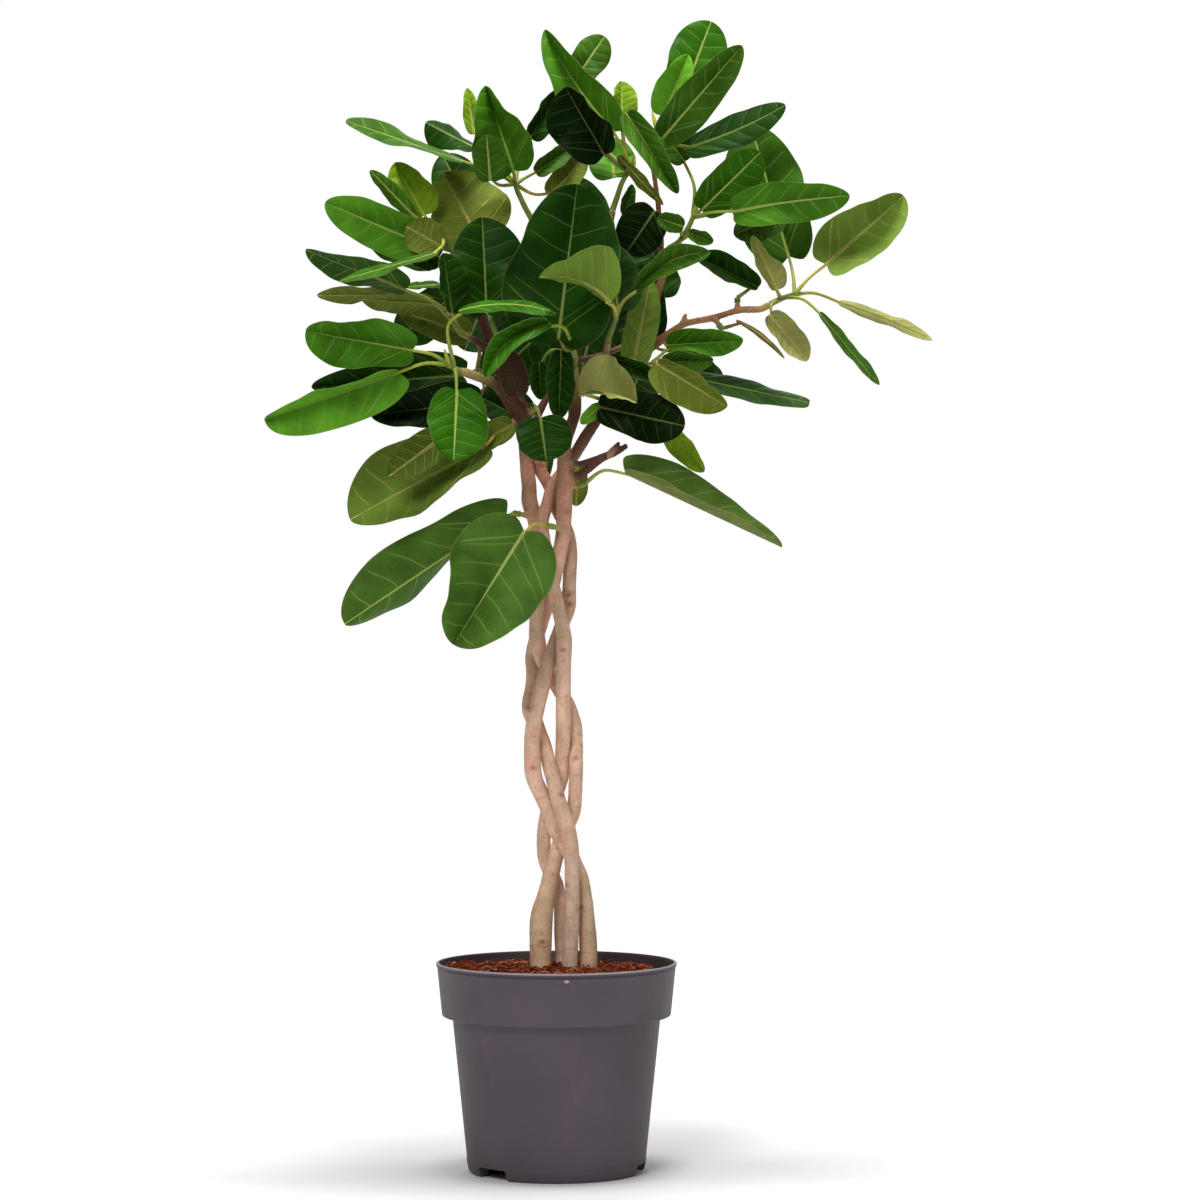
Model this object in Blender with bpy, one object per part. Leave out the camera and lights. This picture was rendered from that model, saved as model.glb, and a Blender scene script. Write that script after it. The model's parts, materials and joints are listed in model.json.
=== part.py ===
"""Potted Bengal fig: four braided trunks with a leafy crown, in a dark nursery pot filled with coco soil.

Metres, +Z up. The origin is the middle of the pot's base, on the floor, and the plant's front looks along -Y.
The plant is laid out in millimetres as it is sighted from the front: across, depth (away from the eye) and up,
all read at the depth of the pot's axis.
"""
import math
from collections import namedtuple

import bmesh
import bpy
import numpy as np
from mathutils import Vector

MM = 0.001
GAP = 0.3

# The eye from which the plant is laid out
EYE_ACROSS = 38.0
EYE_DISTANCE = 3190.0
EYE_HEIGHT = 498.0

# Pot
POT_HEIGHT = 182.0
RIM_RADIUS = 105.0
COLLAR_RADIUS = 104.0
COLLAR_FOOT_RADIUS = 100.0
COLLAR_HEIGHT = 46.0
BODY_TOP_RADIUS = 91.0
BODY_FOOT_RADIUS = 77.0
LIP_HEIGHT = 2.6
LIP_STEP = 1.4
EDGE = 0.6
FOOT_LINE = 11.0
BASE_CORNER = 3.0
POT_WALL = 1.6
POT_SIDES = 24
CHANNEL_INNER = 50.0
CHANNEL_OUTER = 67.0
CHANNEL_HEIGHT = 10.4
CHANNEL_SLOPE = 2.0
NOTCH_WIDTH = 34.0
NOTCH_LENGTH = 24.0
NOTCH_HEIGHT = 9.4
NOTCH_RADIUS = 72.0
NOTCH_ANGLES = (-46.0, 77.0, 196.0)
DRAIN_HOLES = 6
DRAIN_RADIUS = 4.0
DRAIN_SIDES = 6

# Soil
SOIL_LEVEL = 172.0
SOIL_MOUND = 7.0
SOIL_ROUGHNESS = 1.2
SOIL_SHOULDER = 3.0
SOIL_RINGS = (84.0, 54.0, 32.0, 0.0)
SOCKET_ROOM = 1.0
SOCKET_SIDES = 10
SOCKET_LENGTH = 90.0

# Trunks and branches
TRUNK_SIDES = 6
BRANCH_SIDES = 5
TWIG_SIDES = 4
LEVEL_STEP = 15.0
SOCKET_FOOT = 148.0
BRAID_TOP = 612.0
LIMB_FOOT = 618.0
BRANCH_STEP = 23.0
TRUNK_CLEARANCE = 0.8
TRUNK_TILT_ROOM = 1.08
PRESS_ROUNDS = 80
SMOOTH_ROUNDS = 60

# Leaves: sizes are shares of the blade's half width, and the lobes' of its length
BLADE_THICKNESS = 0.9
BLADE_COLUMNS = 2
BLADE_ROWS = 5
WIDE_BLADE = 25.0
WIDE_BLADE_ROWS = 6
WIDEST_AT = 0.42
BASE_FULLNESS = 2.6
SHOULDER = 2.2
WAVES = 1.7
WAVE_SHARE = 0.07
CUP_SHARE = 0.2
LOBE_SHARE = 0.07
LOBE_WIDTH = 12.0
STALK_RADIUS = 1.5
STALK_SIDES = 3
SHORT_STALK = 24.0
STALK_BEND = (0.65, 0.8, 0.65)

# Layers of the crown along the sight line
LAYER_CLEARANCE = 3.5
LAYER_CELL = 4.0
LAYER_STATIONS = 33
LAYER_COLUMNS = 25

# Fused with this solver, because the thin blades leave open seams with the exact one
UNION_SOLVER = "MANIFOLD"

POT_COLOUR = (0.098, 0.084, 0.093)
SOIL_COLOUR = (0.13, 0.042, 0.02)
BARK_COLOUR = (0.5, 0.33, 0.24)
LEAF_COLOURS = {
    "mature": (0.035, 0.12, 0.02),
    "fresh": (0.085, 0.26, 0.03),
    "young": (0.2, 0.36, 0.035),
    "dry": (0.24, 0.13, 0.06),
}

Leaf = namedtuple(
    "Leaf",
    "name base tip left right width lean face bow arch blunt at",
    defaults=(None, "near near", "top", 0.0, 0.0, 0.62, None),
)
Shoot = namedtuple("Shoot", "name wood twig leaves bud tone", defaults=(None, "mature"))

# Each trunk from the soil to the crown: across, depth, up and radius
TRUNKS = {
    "trunk_1": [
        (-14, -6, 148, 8), (-14, -6, 185, 9.5), (-13, -6, 220, 10), (-9, -5, 240, 8), (-5, -3, 256, 7.5),
        (1, 11, 280, 7), (8, 16, 298, 6.8), (15, 12, 315, 6.5), (17, 3, 346, 6.2), (17, 3, 370, 6.2),
        (15, 6, 392, 6.4), (7, 11, 412, 6.5), (-4, 9, 430, 6.5), (-13, 8, 448, 6.8), (-17, 0, 466, 7),
        (-17, -4, 478, 7), (-16, 0, 520, 6.5), (-18, 7, 565, 6.8), (-23, 8, 580, 7.4), (-24, 6, 600, 6.5),
        (-27, 2, 625, 6), (-28, -1, 645, 5.6), (-27, -4, 660, 5.4), (-35, -12, 670, 5), (-45, -22, 680, 4.6),
        (-57, -31, 688, 4.2), (-75, -42, 695, 3.8), (-84, -47, 698, 3.4),
    ],
    "trunk_2": [
        (11, -8, 148, 6), (12, -8, 190, 7), (14, -8, 230, 6.5), (13.5, -8, 260, 6.5), (13, -11, 280, 6.8),
        (8, -13, 304, 7.2), (3, -12, 318, 6.8), (0, -8, 330, 6.5), (-6, -4, 353, 6.5), (-11, 5, 372, 6.5),
        (-18, 11, 390, 6.8), (-23, 9, 404, 7.4), (-20, 9, 430, 6.5), (-21, 14, 450, 6.3), (-18, 12, 463, 6.3),
        (-10, 7, 488, 6.2), (-2, 7, 515, 6.2), (3, -3, 540, 6.4), (6, -9, 560, 6.8), (7, -10, 600, 7.2),
        (7, -9, 630, 6), (12, -9, 648, 5.2), (17, -10, 664, 4.8), (17, -13, 682, 4.2), (16, -18, 702, 3.4),
    ],
    "trunk_3": [
        (4, 10, 148, 5), (4, 10, 188, 5.6), (3, 10, 230, 5.8), (1, 12, 248, 6), (-10, 15, 270, 6.2),
        (-11, 13, 290, 6.2), (-9, 12, 310, 6.2), (-2, 10, 325, 6.2), (4, 8, 340, 6.3), (5, 5, 362, 6.4),
        (6, -7, 392, 6.7), (6, -11, 430, 6.8), (6.5, -12, 463, 6.8), (4, -9, 480, 6.4), (0, -7, 498, 6.2),
        (-5, -7, 520, 6), (-10, -8, 545, 5.8), (-12, -8, 570, 5.6), (-7, -8, 585, 5.6), (-3, -2, 598, 5.6),
        (8, 8, 610, 5.4), (14, 6, 622, 5.4), (25, 4, 640, 5.2), (36, 0, 658, 5), (46, 0, 682, 4.8),
        (60, 4, 702, 4.6), (75, 8, 713, 4.6), (95, 8, 728, 3.8), (112, 4, 739, 3.2), (135, 0, 744, 2.9),
        (160, -2, 751, 2.9), (178, -5, 752, 3.2), (186, -6, 756, 3),
    ],
    "trunk_4": [
        (28, 2, 148, 7), (28, 2, 188, 8), (26, 2, 221, 7.2), (24, 2, 240, 7), (20, 4, 258, 7),
        (10, 6, 280, 6.8), (-2, -1, 300, 6.8), (-8, -6, 318, 7), (-14, -8, 330, 7), (-20, -8, 345, 7.4),
        (-21, -8, 363, 7.4), (-21, -8, 380, 7), (-19, -8, 395, 7), (-15, -8, 413, 7), (-9, -9, 435, 6.8),
        (-4, -7, 452, 6.4), (3, 6, 472, 6.2), (10, 8, 490, 6.6), (11, 6, 510, 6.2), (12, 5, 530, 6),
        (12, 5, 545, 6), (8, 8, 562, 5.8), (-1, 9, 580, 5.8), (-6, 11, 597, 5.6), (-13, 13, 610, 5.6),
        (-21, 14, 622, 5.4), (-26, 17, 640, 5), (-38, 25, 666, 4.6), (-56, 34, 716, 4), (-72, 32, 762, 3.6),
        (-86, 24, 795, 3.2),
    ],
}

# Branches of each trunk, each from inside the wood to its own end
BRANCHES = {
    "trunk_1": [
        [(-28, -2, 655, 5), (-34, -3, 680, 4.4), (-44, -7, 704, 3.8), (-50, -12, 722, 3.2)],
        [(-19, 7, 571, 3.4), (-32, -4, 573, 2.4)],
        [(-27, -4, 658, 3.6), (-21, -15, 664, 2.6)],
    ],
    "trunk_2": [
        [(16, -9, 660, 4.6), (12, 4, 690, 4.4), (2, 12, 740, 4), (-12, 18, 790, 3.6), (-20, 18, 826, 3.2)],
        [(12, 4, 690, 4.2), (24, 14, 740, 4), (38, 14, 792, 3.6), (49, 8, 838, 3.2)],
        [(6, -9, 560, 3.4), (-3, -19, 562, 2.4)],
        [(7, -10, 598, 3.2), (19, -13, 598, 2.2)],
        [(7, -10, 603, 4), (17, -14, 606, 3.6), (28, -14, 612, 3.2), (40, -13, 622, 3.4), (50, -12, 626, 3),
         (62, -13, 633, 2.4)],
        [(46, -13, 624, 2.8), (50, -15, 630, 2.4), (55, -16, 636, 1.6)],
        [(8, -9, 618, 3), (20, -14, 617, 2.4), (30, -14, 620, 2.4), (42, -13, 624, 2.6)],
    ],
    "trunk_3": [
        [(36, 0, 657, 3.6), (43, -10, 667, 2.6)],
        [(46, 0, 682, 3.8), (43, -16, 704, 3.4), (45, -34, 724, 3)],
        [(62, 5, 703, 3.4), (75, -8, 703, 2.6)],
        [(94, 8, 727, 3.2), (101, 22, 719, 2.4)],
        [(75, 8, 713, 4.4), (84, 14, 750, 4), (94, 12, 785, 3.6), (98, 7, 803, 3.2)],
        [(92, 12, 780, 3), (91, 18, 815, 2.6), (88, 19, 850, 2.4), (82, 17, 890, 2.2)],
        [(91, 17, 812, 2.4), (92, 9, 817, 2)],
        [(110, 4, 738, 3), (113, 5, 748, 1.6)],
        [(138, 0, 744, 2.6), (142, -6, 738, 1.8)],
        [(158, -2, 750, 2.8), (158, 2, 758, 1.8)],
    ],
    "trunk_4": [
        [(-25, 16, 636, 4.6), (-31, 20, 648, 4.2), (-41, 22, 653, 3.4)],
        [(-38, 25, 664, 4), (-48, 26, 678, 3.6), (-55, 25, 688, 3.2)],
        [(-56, 34, 716, 3.4), (-70, 16, 724, 3), (-82, -8, 730, 2.6)],
        [(-14, 13, 611, 4.2), (-12, 22, 619, 3.4)],
        [(-25, 16, 636, 4), (-14, 46, 664, 3.6), (6, 76, 704, 3.2), (24, 92, 750, 2.8)],
        [(-56, 34, 714, 3.4), (-66, 66, 748, 3.2), (-70, 92, 782, 2.8)],
        [(6, 76, 704, 3), (40, 84, 712, 2.8), (74, 92, 726, 2.6)],
    ],
}

# Leaves: base, tip, then the seen half widths at a quarter and three quarters of the length, left and right of
# the midrib as one walks from base to tip
SHOOTS = [
    Shoot("shoot_upper_left", "trunk_2", [(-20, 18, 826), (-28, 15, 842), (-34, 12, 855), (-36, 11, 861)], [
        Leaf("tall_left", (-37, 2, 873), (-62, -12, 947), (31, 15), (24, 8), blunt=0.9),
        Leaf("front_left", (-58, -14, 864), (-61, -30, 904), (13, 12), (14, 12)),
        Leaf("long_left", (-80, 0, 880), (-184, -22, 916), (2.5, 6), (3, 10), 42, "near far", blunt=0.45),
        Leaf("mid_left", (-72, 22, 893), (-114, 46, 915), (8, 17), (4, 7), 32, "near far"),
        Leaf("young_left", (-72, 34, 905), (-78, 42, 945), (7, 5), (8, 6)),
        Leaf("right_small", (-18, 26, 871), (15, 46, 894), (8, 8), (8, 7), 26),
        Leaf("right_olive", (-5, 30, 851), (26, 56, 886), (12, 10), (12, 10), 30, face="under"),
        Leaf("behind_top", (-23, 58, 902), (3, 76, 945), (7, 6), (13, 11), 34),
    ], bud=(-41, 9, 869)),
    Shoot("shoot_top", "trunk_2", [(49, 8, 838), (53, 5, 850), (57, 1, 862), (63, -3, 872)], [
        Leaf("hook", (50, -6, 907), (-10, 16, 996), (24, 15), (20, 8), blunt=0.85, bow=4),
        Leaf("wide_dark", (42, -30, 887), (8, -52, 946), (27, 30), (16, 9), blunt=0.55),
        Leaf("round_back", (14, 46, 950), (42, 58, 990), (13, 14), (14, 15), blunt=0.5),
        Leaf("young_top", (57, 12, 918), (56, 22, 951), (9, 6), (14, 12)),
        Leaf("folded", (61, -16, 923), (106, -44, 853), (12, 9), (11, 7), 34, blunt=0.8),
        Leaf("low_green", (51, -2, 867), (45, 26, 902), (20, 18), (20, 16)),
        Leaf("olive_strap", (54, -16, 886), (93, -36, 843), (4, 4), (5, 4), 28, "near far", "under"),
    ], bud=(68, -6, 888)),
    Shoot("shoot_top_right", "trunk_3", [(82, 17, 890), (86, 14, 900), (88, 12, 908)], [
        Leaf("round_top", (110, 30, 938), (135, 48, 1003), (22, 22), (24, 22), blunt=0.5),
        Leaf("bright_top", (94, 10, 921), (115, 18, 974), (17, 12), (11, 10)),
        Leaf("dark_top", (93, -10, 902), (162, -44, 982), (16, 13), (19, 15), blunt=0.8),
        Leaf("side_top", (112, 2, 892), (200, -16, 930), (12, 12), (13, 13), 38, "far near", bow=-3),
    ], bud=(83, 16, 926)),
    Shoot("shoot_right", "trunk_3", [(98, 7, 803), (107, 2, 811), (115, 0, 823), (119, -1, 832)], [
        Leaf("hanging_green", (112, 22, 881), (87, 34, 913), (11, 10), (12, 12), 30),
        Leaf("bright_mid", (127, -10, 839), (178, -30, 889), (16, 16), (17, 19), blunt=0.5),
        Leaf("bright_wide", (156, -22, 837), (256, -58, 851), (19, 13), (17, 17), blunt=0.8, bow=2),
        Leaf("twist_left", (111, -12, 824), (88, -20, 832), (8, 7), (8, 7), 22, at=0.5),
        Leaf("twist_right", (115, -10, 819), (137, -22, 811), (5, 5), (6, 6), 20, at=0.4),
        Leaf("pale_behind", (196, 14, 834), (155, 26, 817), (15, 12), (15, 12), 36),
    ], bud=(126, -2, 851), tone="fresh"),
    Shoot("shoot_inner_right", "trunk_3", [(92, 9, 817), (92, 2, 824), (90, 1, 834)], [
        Leaf("black_round", (86, 0, 838), (61, 6, 801), (19, 18), (21, 19), blunt=0.45),
        Leaf("small_behind", (60, 30, 834), (66, 36, 861), (6, 4), (6, 5), 18),
    ]),
    Shoot("shoot_far_right", "trunk_3", [(186, -6, 756), (196, -7, 761), (208, -8, 765)], [
        Leaf("tall_back", (203, 20, 798), (170, 62, 912), (34, 34), (28, 26), blunt=0.55),
        Leaf("olive_right", (236, -4, 791), (303, 14, 851), (28, 15), (20, 22), face="under", blunt=0.5),
        Leaf("pale_folded", (192, -24, 769), (171, -34, 816), (6, 6), (14, 5), 34, face="under", at=0.5),
        Leaf("pale_hanging", (186, -26, 747), (219, -46, 707), (12, 12), (9, 8), 34, face="under", at=0.4),
        Leaf("narrow_right", (230, -18, 749), (282, -46, 686), (4, 5), (4, 5), 34, "near far", at=0.6),
        Leaf("far_right", (247, 8, 758), (328, 24, 725), (4, 5), (5, 5), 36, "far near", "under", bow=2),
    ], bud=(214, -9, 772), tone="fresh"),
    Shoot("shoot_centre", "trunk_3", [(45, -34, 724), (49, -43, 736), (52, -50, 745)], [
        Leaf("olive_curl", (47, -62, 757), (-15, -96, 780), (3, 3), (38, 17), 66, "far near", "under", bow=-9),
        Leaf("grey_behind", (54, -24, 752), (45, -14, 810), (23, 22), (24, 18)),
        Leaf("arching", (70, -48, 768), (134, -70, 802), (9, 11), (7, 10), 32, bow=9),
    ], bud=(49, -70, 760)),
    Shoot("shoot_front", "trunk_2", [(16, -18, 702), (17, -22, 711)], [
        Leaf("dark_giant", (2, -44, 726), (18, -22, 861), (54, 36), (44, 37), 106, blunt=0.5),
        Leaf("bent", (-6, -70, 739), (-63, -112, 693), (8, 9), (9, 10), 34, bow=-11),
        Leaf("hanging_dark", (4, -36, 716), (2, -48, 656), (12, 11), (11, 10), 34),
        Leaf("hanging_left", (-15, -28, 706), (-14, -30, 673), (8, 7), (8, 7), 26),
    ]),
    Shoot("shoot_left_dark", "trunk_1", [(-50, -12, 722), (-55, -15, 736), (-58, -17, 744)], [
        Leaf("dark_left", (-61, -34, 748), (-65, -24, 832), (24, 24), (28, 31), blunt=0.6),
        Leaf("olive_giant", (-68, 20, 812), (-99, 32, 871), (36, 20), (40, 27), 80, "far far", "under"),
    ]),
    Shoot("shoot_left", "trunk_4", [(-86, 24, 795), (-94, 20, 806), (-99, 16, 815)], [
        Leaf("bright_left", (-110, 0, 806), (-202, -24, 845), (21, 18), (18, 16), blunt=0.55),
        Leaf("olive_patch", (-101, -8, 806), (-131, -20, 824), (14, 14), (16, 15), face="under"),
        Leaf("young_bright", (-116, 18, 834), (-141, 10, 880), (16, 14), (20, 12), at=0.3),
        Leaf("curled", (-126, 8, 834), (-163, 0, 873), (6, 5), (8, 7), 24, "near far"),
        Leaf("blade_edge", (-104, -26, 801), (-190, -52, 776), (3, 4), (3, 4), 38, "near far"),
        Leaf("back_piece", (-102, 26, 794), (-127, 38, 794), (8, 6), (5, 5), 26),
    ], tone="fresh"),
    Shoot("shoot_left_mid", "trunk_4", [(-82, -8, 730), (-89, -16, 739), (-95, -23, 748)], [
        Leaf("glossy_curl", (-92, -44, 749), (-99, -52, 801), (5, 6), (18, 16), 46, "near far"),
        Leaf("rolled", (-132, -30, 769), (-219, -40, 804), (9, 14), (16, 5), 48, "far near", "under", at=0.6),
        Leaf("pink_tip", (-134, 4, 765), (-209, 12, 764), (4, 7), (6, 7), 30, "far near", "under", at=0.4),
        Leaf("brown_shade", (-108, 2, 757), (-170, -8, 761), (10, 10), (9, 6), 40, "far near", "under", at=0.4),
        Leaf("grey_edge", (-102, -8, 773), (-132, -4, 771), (2, 2), (4, 4), 18, "near far"),
    ]),
    Shoot("shoot_low_left", "trunk_1", [(-84, -47, 698), (-89, -50, 700), (-94, -54, 703)], [
        Leaf("glossy_upper", (-126, -68, 716), (-219, -100, 733), (19, 25), (21, 13), 54, blunt=0.45),
        Leaf("bright_lower", (-138, -80, 697), (-255, -124, 655), (28, 25), (6, 7), 58, blunt=0.42),
        Leaf("hanging_front", (-87, -76, 681), (-90, -102, 620), (26, 26), (23, 19), blunt=0.7, at=0.5),
        Leaf("strap", (-85, -66, 750), (0, -112, 748), (4, 4), (5, 6), 32, "far near", bow=7, at=0.5),
    ], bud=(-98, -57, 718), tone="fresh"),
    Shoot("shoot_low_back", "trunk_4", [(-55, 25, 688), (-62, 23, 695), (-69, 20, 699)], [
        Leaf("dark_back", (-82, -6, 694), (-214, -30, 684), (19, 11), (24, 14), 50),
        Leaf("dark_low", (-68, -2, 671), (-162, -34, 659), (18, 13), (21, 14), 46),
        Leaf("olive_low", (-76, 28, 730), (-137, 12, 750), (14, 11), (14, 12), face="under"),
    ]),
    Shoot("shoot_underside", "trunk_4", [(-41, 22, 653), (-47, 21, 650), (-53, 18, 646)], [
        Leaf("olive_large", (-62, 8, 632), (-180, -22, 568), (17, 20), (33, 38), face="under"),
        Leaf("olive_shadow", (-98, -26, 641), (-146, -46, 606), (14, 12), (16, 14), face="under"),
        Leaf("brown_strip", (-38, 6, 651), (-75, -14, 632), (10, 10), (12, 12), 30, face="under"),
    ]),
    Shoot("leaf_low_left", "trunk_1", [(-32, -4, 573), (-37, -8, 574)], [
        Leaf("low_left", (-44, -12, 571), (-185, -52, 477), (3, 13), (29, 33), 64, "far near", blunt=0.5),
    ]),
    Shoot("leaf_low_front", "trunk_2", [(-3, -19, 562), (-8, -25, 563)], [
        Leaf("low_front", (-28, -48, 558), (-90, -82, 459), (46, 33), (46, 27), blunt=0.5),
    ]),
    Shoot("leaf_low_right", "trunk_2", [(19, -13, 598), (25, -14, 600)], [
        Leaf("low_right", (60, -16, 609), (197, -44, 544), (27, 14), (-8, -6), 56, "far near", blunt=0.7),
    ]),
    Shoot("shoot_mid_right", "trunk_3", [(75, -8, 703), (81, -14, 703)], [
        Leaf("glossy_mid", (97, -14, 720), (163, -36, 725), (14, 9), (6, 12), 34),
        Leaf("dark_mid", (92, -24, 705), (137, -42, 708), (9, 6), (7, 9), 28),
        Leaf("olive_mid", (88, -38, 705), (149, -72, 667), (9, 8), (22, 18), face="under"),
        Leaf("curl_mid", (46, -34, 708), (99, -54, 687), (8, 6), (7, 6), 28),
        Leaf("lime_upright", (66, -18, 701), (82, -6, 778), (13, 12), (15, 13), face="under"),
    ]),
    Shoot("shoot_lower_right", "trunk_3", [(101, 22, 719), (104, 27, 715)], [
        Leaf("dark_upright", (80, 26, 724), (77, 40, 792), (18, 18), (17, 14)),
        Leaf("long_right", (115, 8, 692), (221, -16, 670), (9, 6), (9, 8), 36, "far near", blunt=0.26),
        Leaf("lime_low", (98, 16, 647), (129, 26, 610), (8, 6), (12, 9), 26),
    ]),
    Shoot("shoot_mid_front", "trunk_3", [(43, -10, 667), (47, -16, 671)], [
        Leaf("black_low", (38, -28, 666), (112, -60, 650), (20, 20), (17, 20), blunt=0.5),
        Leaf("pale_front", (20, -48, 677), (70, -104, 670), (34, 24), (-2, 2), 62, "near near", "under", bow=4),
        Leaf("bright_patch", (39, -30, 668), (21, -34, 652), (6, 5), (6, 5), 14),
    ]),
    Shoot("leaf_dry", "trunk_3", [(142, -6, 738), (144, -9, 735)], [
        Leaf("dry_sliver", (157, -9, 742), (199, -14, 709), (2, 2), (2, 2), 10, "far near", bow=3),
    ], tone="dry"),
    Shoot("leaf_arch", "trunk_3", [(158, 2, 758), (158, 3, 762)], [
        Leaf("far_arch", (176, 4, 771), (122, 30, 798), (6, 6), (12, 14), 36),
    ]),
    Shoot("shoot_middle", "trunk_1", [(-21, -15, 664), (-19, -20, 667)], [
        Leaf("dark_middle", (-14, -38, 657), (-9, -52, 619), (24, 22), (23, 18)),
        Leaf("brown_middle", (-34, -38, 676), (-42, -34, 716), (12, 10), (12, 10), 26, face="under"),
    ]),
    Shoot("leaf_behind_trunk", "trunk_4", [(-12, 22, 619), (-10, 28, 624)], [
        Leaf("olive_trunk", (18, 38, 618), (17, 46, 580), (9, 9), (10, 8), face="under"),
        Leaf("pale_trunk", (-7, 34, 629), (-9, 38, 604), (5, 4), (5, 4)),
        Leaf("trunk_shade", (-25, 56, 653), (-70, 66, 677), (13, 11), (21, 19)),
    ]),
    Shoot("shoot_back_centre", "trunk_4", [(24, 92, 750), (30, 98, 764), (35, 102, 776)], [
        Leaf("back_top", (30, 120, 800), (14, 150, 868), (26, 20), (26, 20)),
        Leaf("back_right_up", (58, 116, 786), (80, 142, 838), (18, 16), (18, 16)),
        Leaf("back_out", (44, 134, 768), (62, 214, 800), (30, 26), (28, 24), 62, "far far"),
        Leaf("back_left_up", (-4, 120, 740), (-62, 158, 686), (28, 24), (28, 24)),
        Leaf("back_down", (32, 128, 742), (18, 176, 680), (30, 24), (28, 24), 60, "far far"),
    ]),
    Shoot("shoot_back_left", "trunk_4", [(-70, 92, 782), (-76, 98, 794), (-80, 103, 804)], [
        Leaf("back_left_top", (-74, 112, 838), (-100, 138, 887), (21, 18), (21, 18)),
        Leaf("back_left_out", (-104, 108, 796), (-166, 144, 820), (16, 16), (20, 18)),
        Leaf("back_left_far", (-62, 128, 762), (-80, 196, 716), (27, 24), (26, 22), 58, "far far"),
        Leaf("back_left_low", (-92, 110, 762), (-140, 156, 726), (20, 18), (20, 18), 52),
    ]),
    Shoot("shoot_back_right", "trunk_4", [(74, 92, 726), (82, 96, 733), (89, 98, 741)], [
        Leaf("back_right_top", (92, 112, 762), (84, 152, 806), (16, 14), (18, 14), 48),
        Leaf("back_right_low", (100, 106, 712), (146, 140, 686), (14, 12), (18, 14), 46),
        Leaf("back_right_far", (74, 126, 744), (44, 196, 726), (22, 22), (24, 22), 56, "far far"),
        Leaf("back_right_down", (74, 114, 704), (62, 150, 662), (20, 18), (20, 18), 48),
    ]),
]


def unit(vector):
    return vector / np.linalg.norm(vector)


def sighted(point):
    """The place in space of a point that is seen at (across, up) and lies at that depth."""
    across, depth, up = point
    scale = 1 + depth / EYE_DISTANCE
    return np.array([EYE_ACROSS + (across - EYE_ACROSS) * scale, depth, EYE_HEIGHT + (up - EYE_HEIGHT) * scale])


def smooth_path(points, step):
    """A smooth curve through all the points, with a station about every step millimetres."""
    points = np.array(points, float)
    ends = np.vstack([2 * points[0] - points[1], points, 2 * points[-1] - points[-2]])
    stations = [points[0]]
    for before, start, end, after in zip(ends, ends[1:], ends[2:], ends[3:]):
        pieces = max(1, round(np.linalg.norm((end - start)[:3]) / step))
        for share in (np.arange(pieces) + 1) / pieces:
            stations.append(0.5 * (
                2 * start + (end - before) * share
                + (2 * before - 5 * start + 4 * end - after) * share**2
                + (3 * start - before - 3 * end + after) * share**3
            ))
    return np.array(stations)


def outline_share(t, blunt):
    """Half width of a blade along its length, from 0 at its ends to 1 at its widest."""
    if t < WIDEST_AT:
        return max(0.0, 1 - ((WIDEST_AT - t) / WIDEST_AT) ** BASE_FULLNESS) ** (1 / BASE_FULLNESS)
    return max(0.0, 1 - ((t - WIDEST_AT) / (1 - WIDEST_AT)) ** SHOULDER) ** blunt


def eased(quarter, three_quarters, t):
    """A smooth change from the value at a quarter of the length to the one at three quarters."""
    share = min(1.0, max(0.0, (t - 0.25) / 0.5))
    share = share * share * (3 - 2 * share)
    return quarter + (three_quarters - quarter) * share


def leaf_phase(name):
    """A number from 0 to 2 pi that differs from leaf to leaf, so that no two wave alike."""
    return sum(ord(letter) * (place + 1) for place, letter in enumerate(name)) % 63 / 10


def real_half_width(leaf):
    """Half the blade's flat width: given, or a little over what is seen of it."""
    seen = [max(abs(leaf.left[0]), abs(leaf.left[1])), max(abs(leaf.right[0]), abs(leaf.right[1]))]
    if leaf.width:
        return max(leaf.width / 2, *seen)
    return 1.07 * max(sum(seen) / 2, *seen)


def blade_point(leaf, t, u, depth=0.0):
    """A point of the blade in millimetres: t runs from base to tip, u from left rim (-1) to right rim (1)."""
    base = np.array(leaf.base, float)
    run = np.array(leaf.tip, float) - base
    seen = np.array([run[0], 0.0, run[2]])
    length = np.linalg.norm(seen)
    along = seen / length
    left = np.array([-along[2], 0.0, along[0]])
    bulge = 4 * t * (1 - t)
    middle = base + run * t + left * leaf.bow * bulge + np.array([0.0, -leaf.arch * bulge, 0.0])
    middle[1] += depth
    share = outline_share(t, leaf.blunt)
    real = real_half_width(leaf) * share
    halves = leaf.left if u < 0 else leaf.right
    near = leaf.lean.split()[0 if u < 0 else 1] == "near"
    at_quarter = halves[0] / outline_share(0.25, leaf.blunt)
    at_three = halves[1] / outline_share(0.75, leaf.blunt)
    across = eased(at_quarter, at_three, t) * share
    rise = math.sqrt(max(0.0, real * real - across * across)) * (-1 if near else 1)
    side = -1 if u > 0 else 1
    reach = abs(u)
    rim = left * side * across + np.array([0.0, rise, 0.0])
    facing = -1 if leaf.face == "top" else 1
    out = np.cross(unit(run), rim) * side
    size = np.linalg.norm(out)
    out = out / size if size > 1e-6 else np.array([0.0, -1.0, 0.0])
    if out[1] * facing < 0 and abs(across) > 0.2 * real:
        out = -out
    turn = 2 * math.pi * WAVES * t + leaf_phase(leaf.name) + (1.9 if u > 0 else 0.0)
    wave = math.sin(turn) * math.sin(math.pi * t)
    lift = real * (WAVE_SHARE * wave * reach**2 + CUP_SHARE * reach * (1 - reach))
    lobe = LOBE_SHARE * length * (1 - t) ** 4 * reach**1.5 * min(1.0, abs(across) / LOBE_WIDTH)
    return sighted(middle + rim * reach + out * lift - along * lobe)


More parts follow.
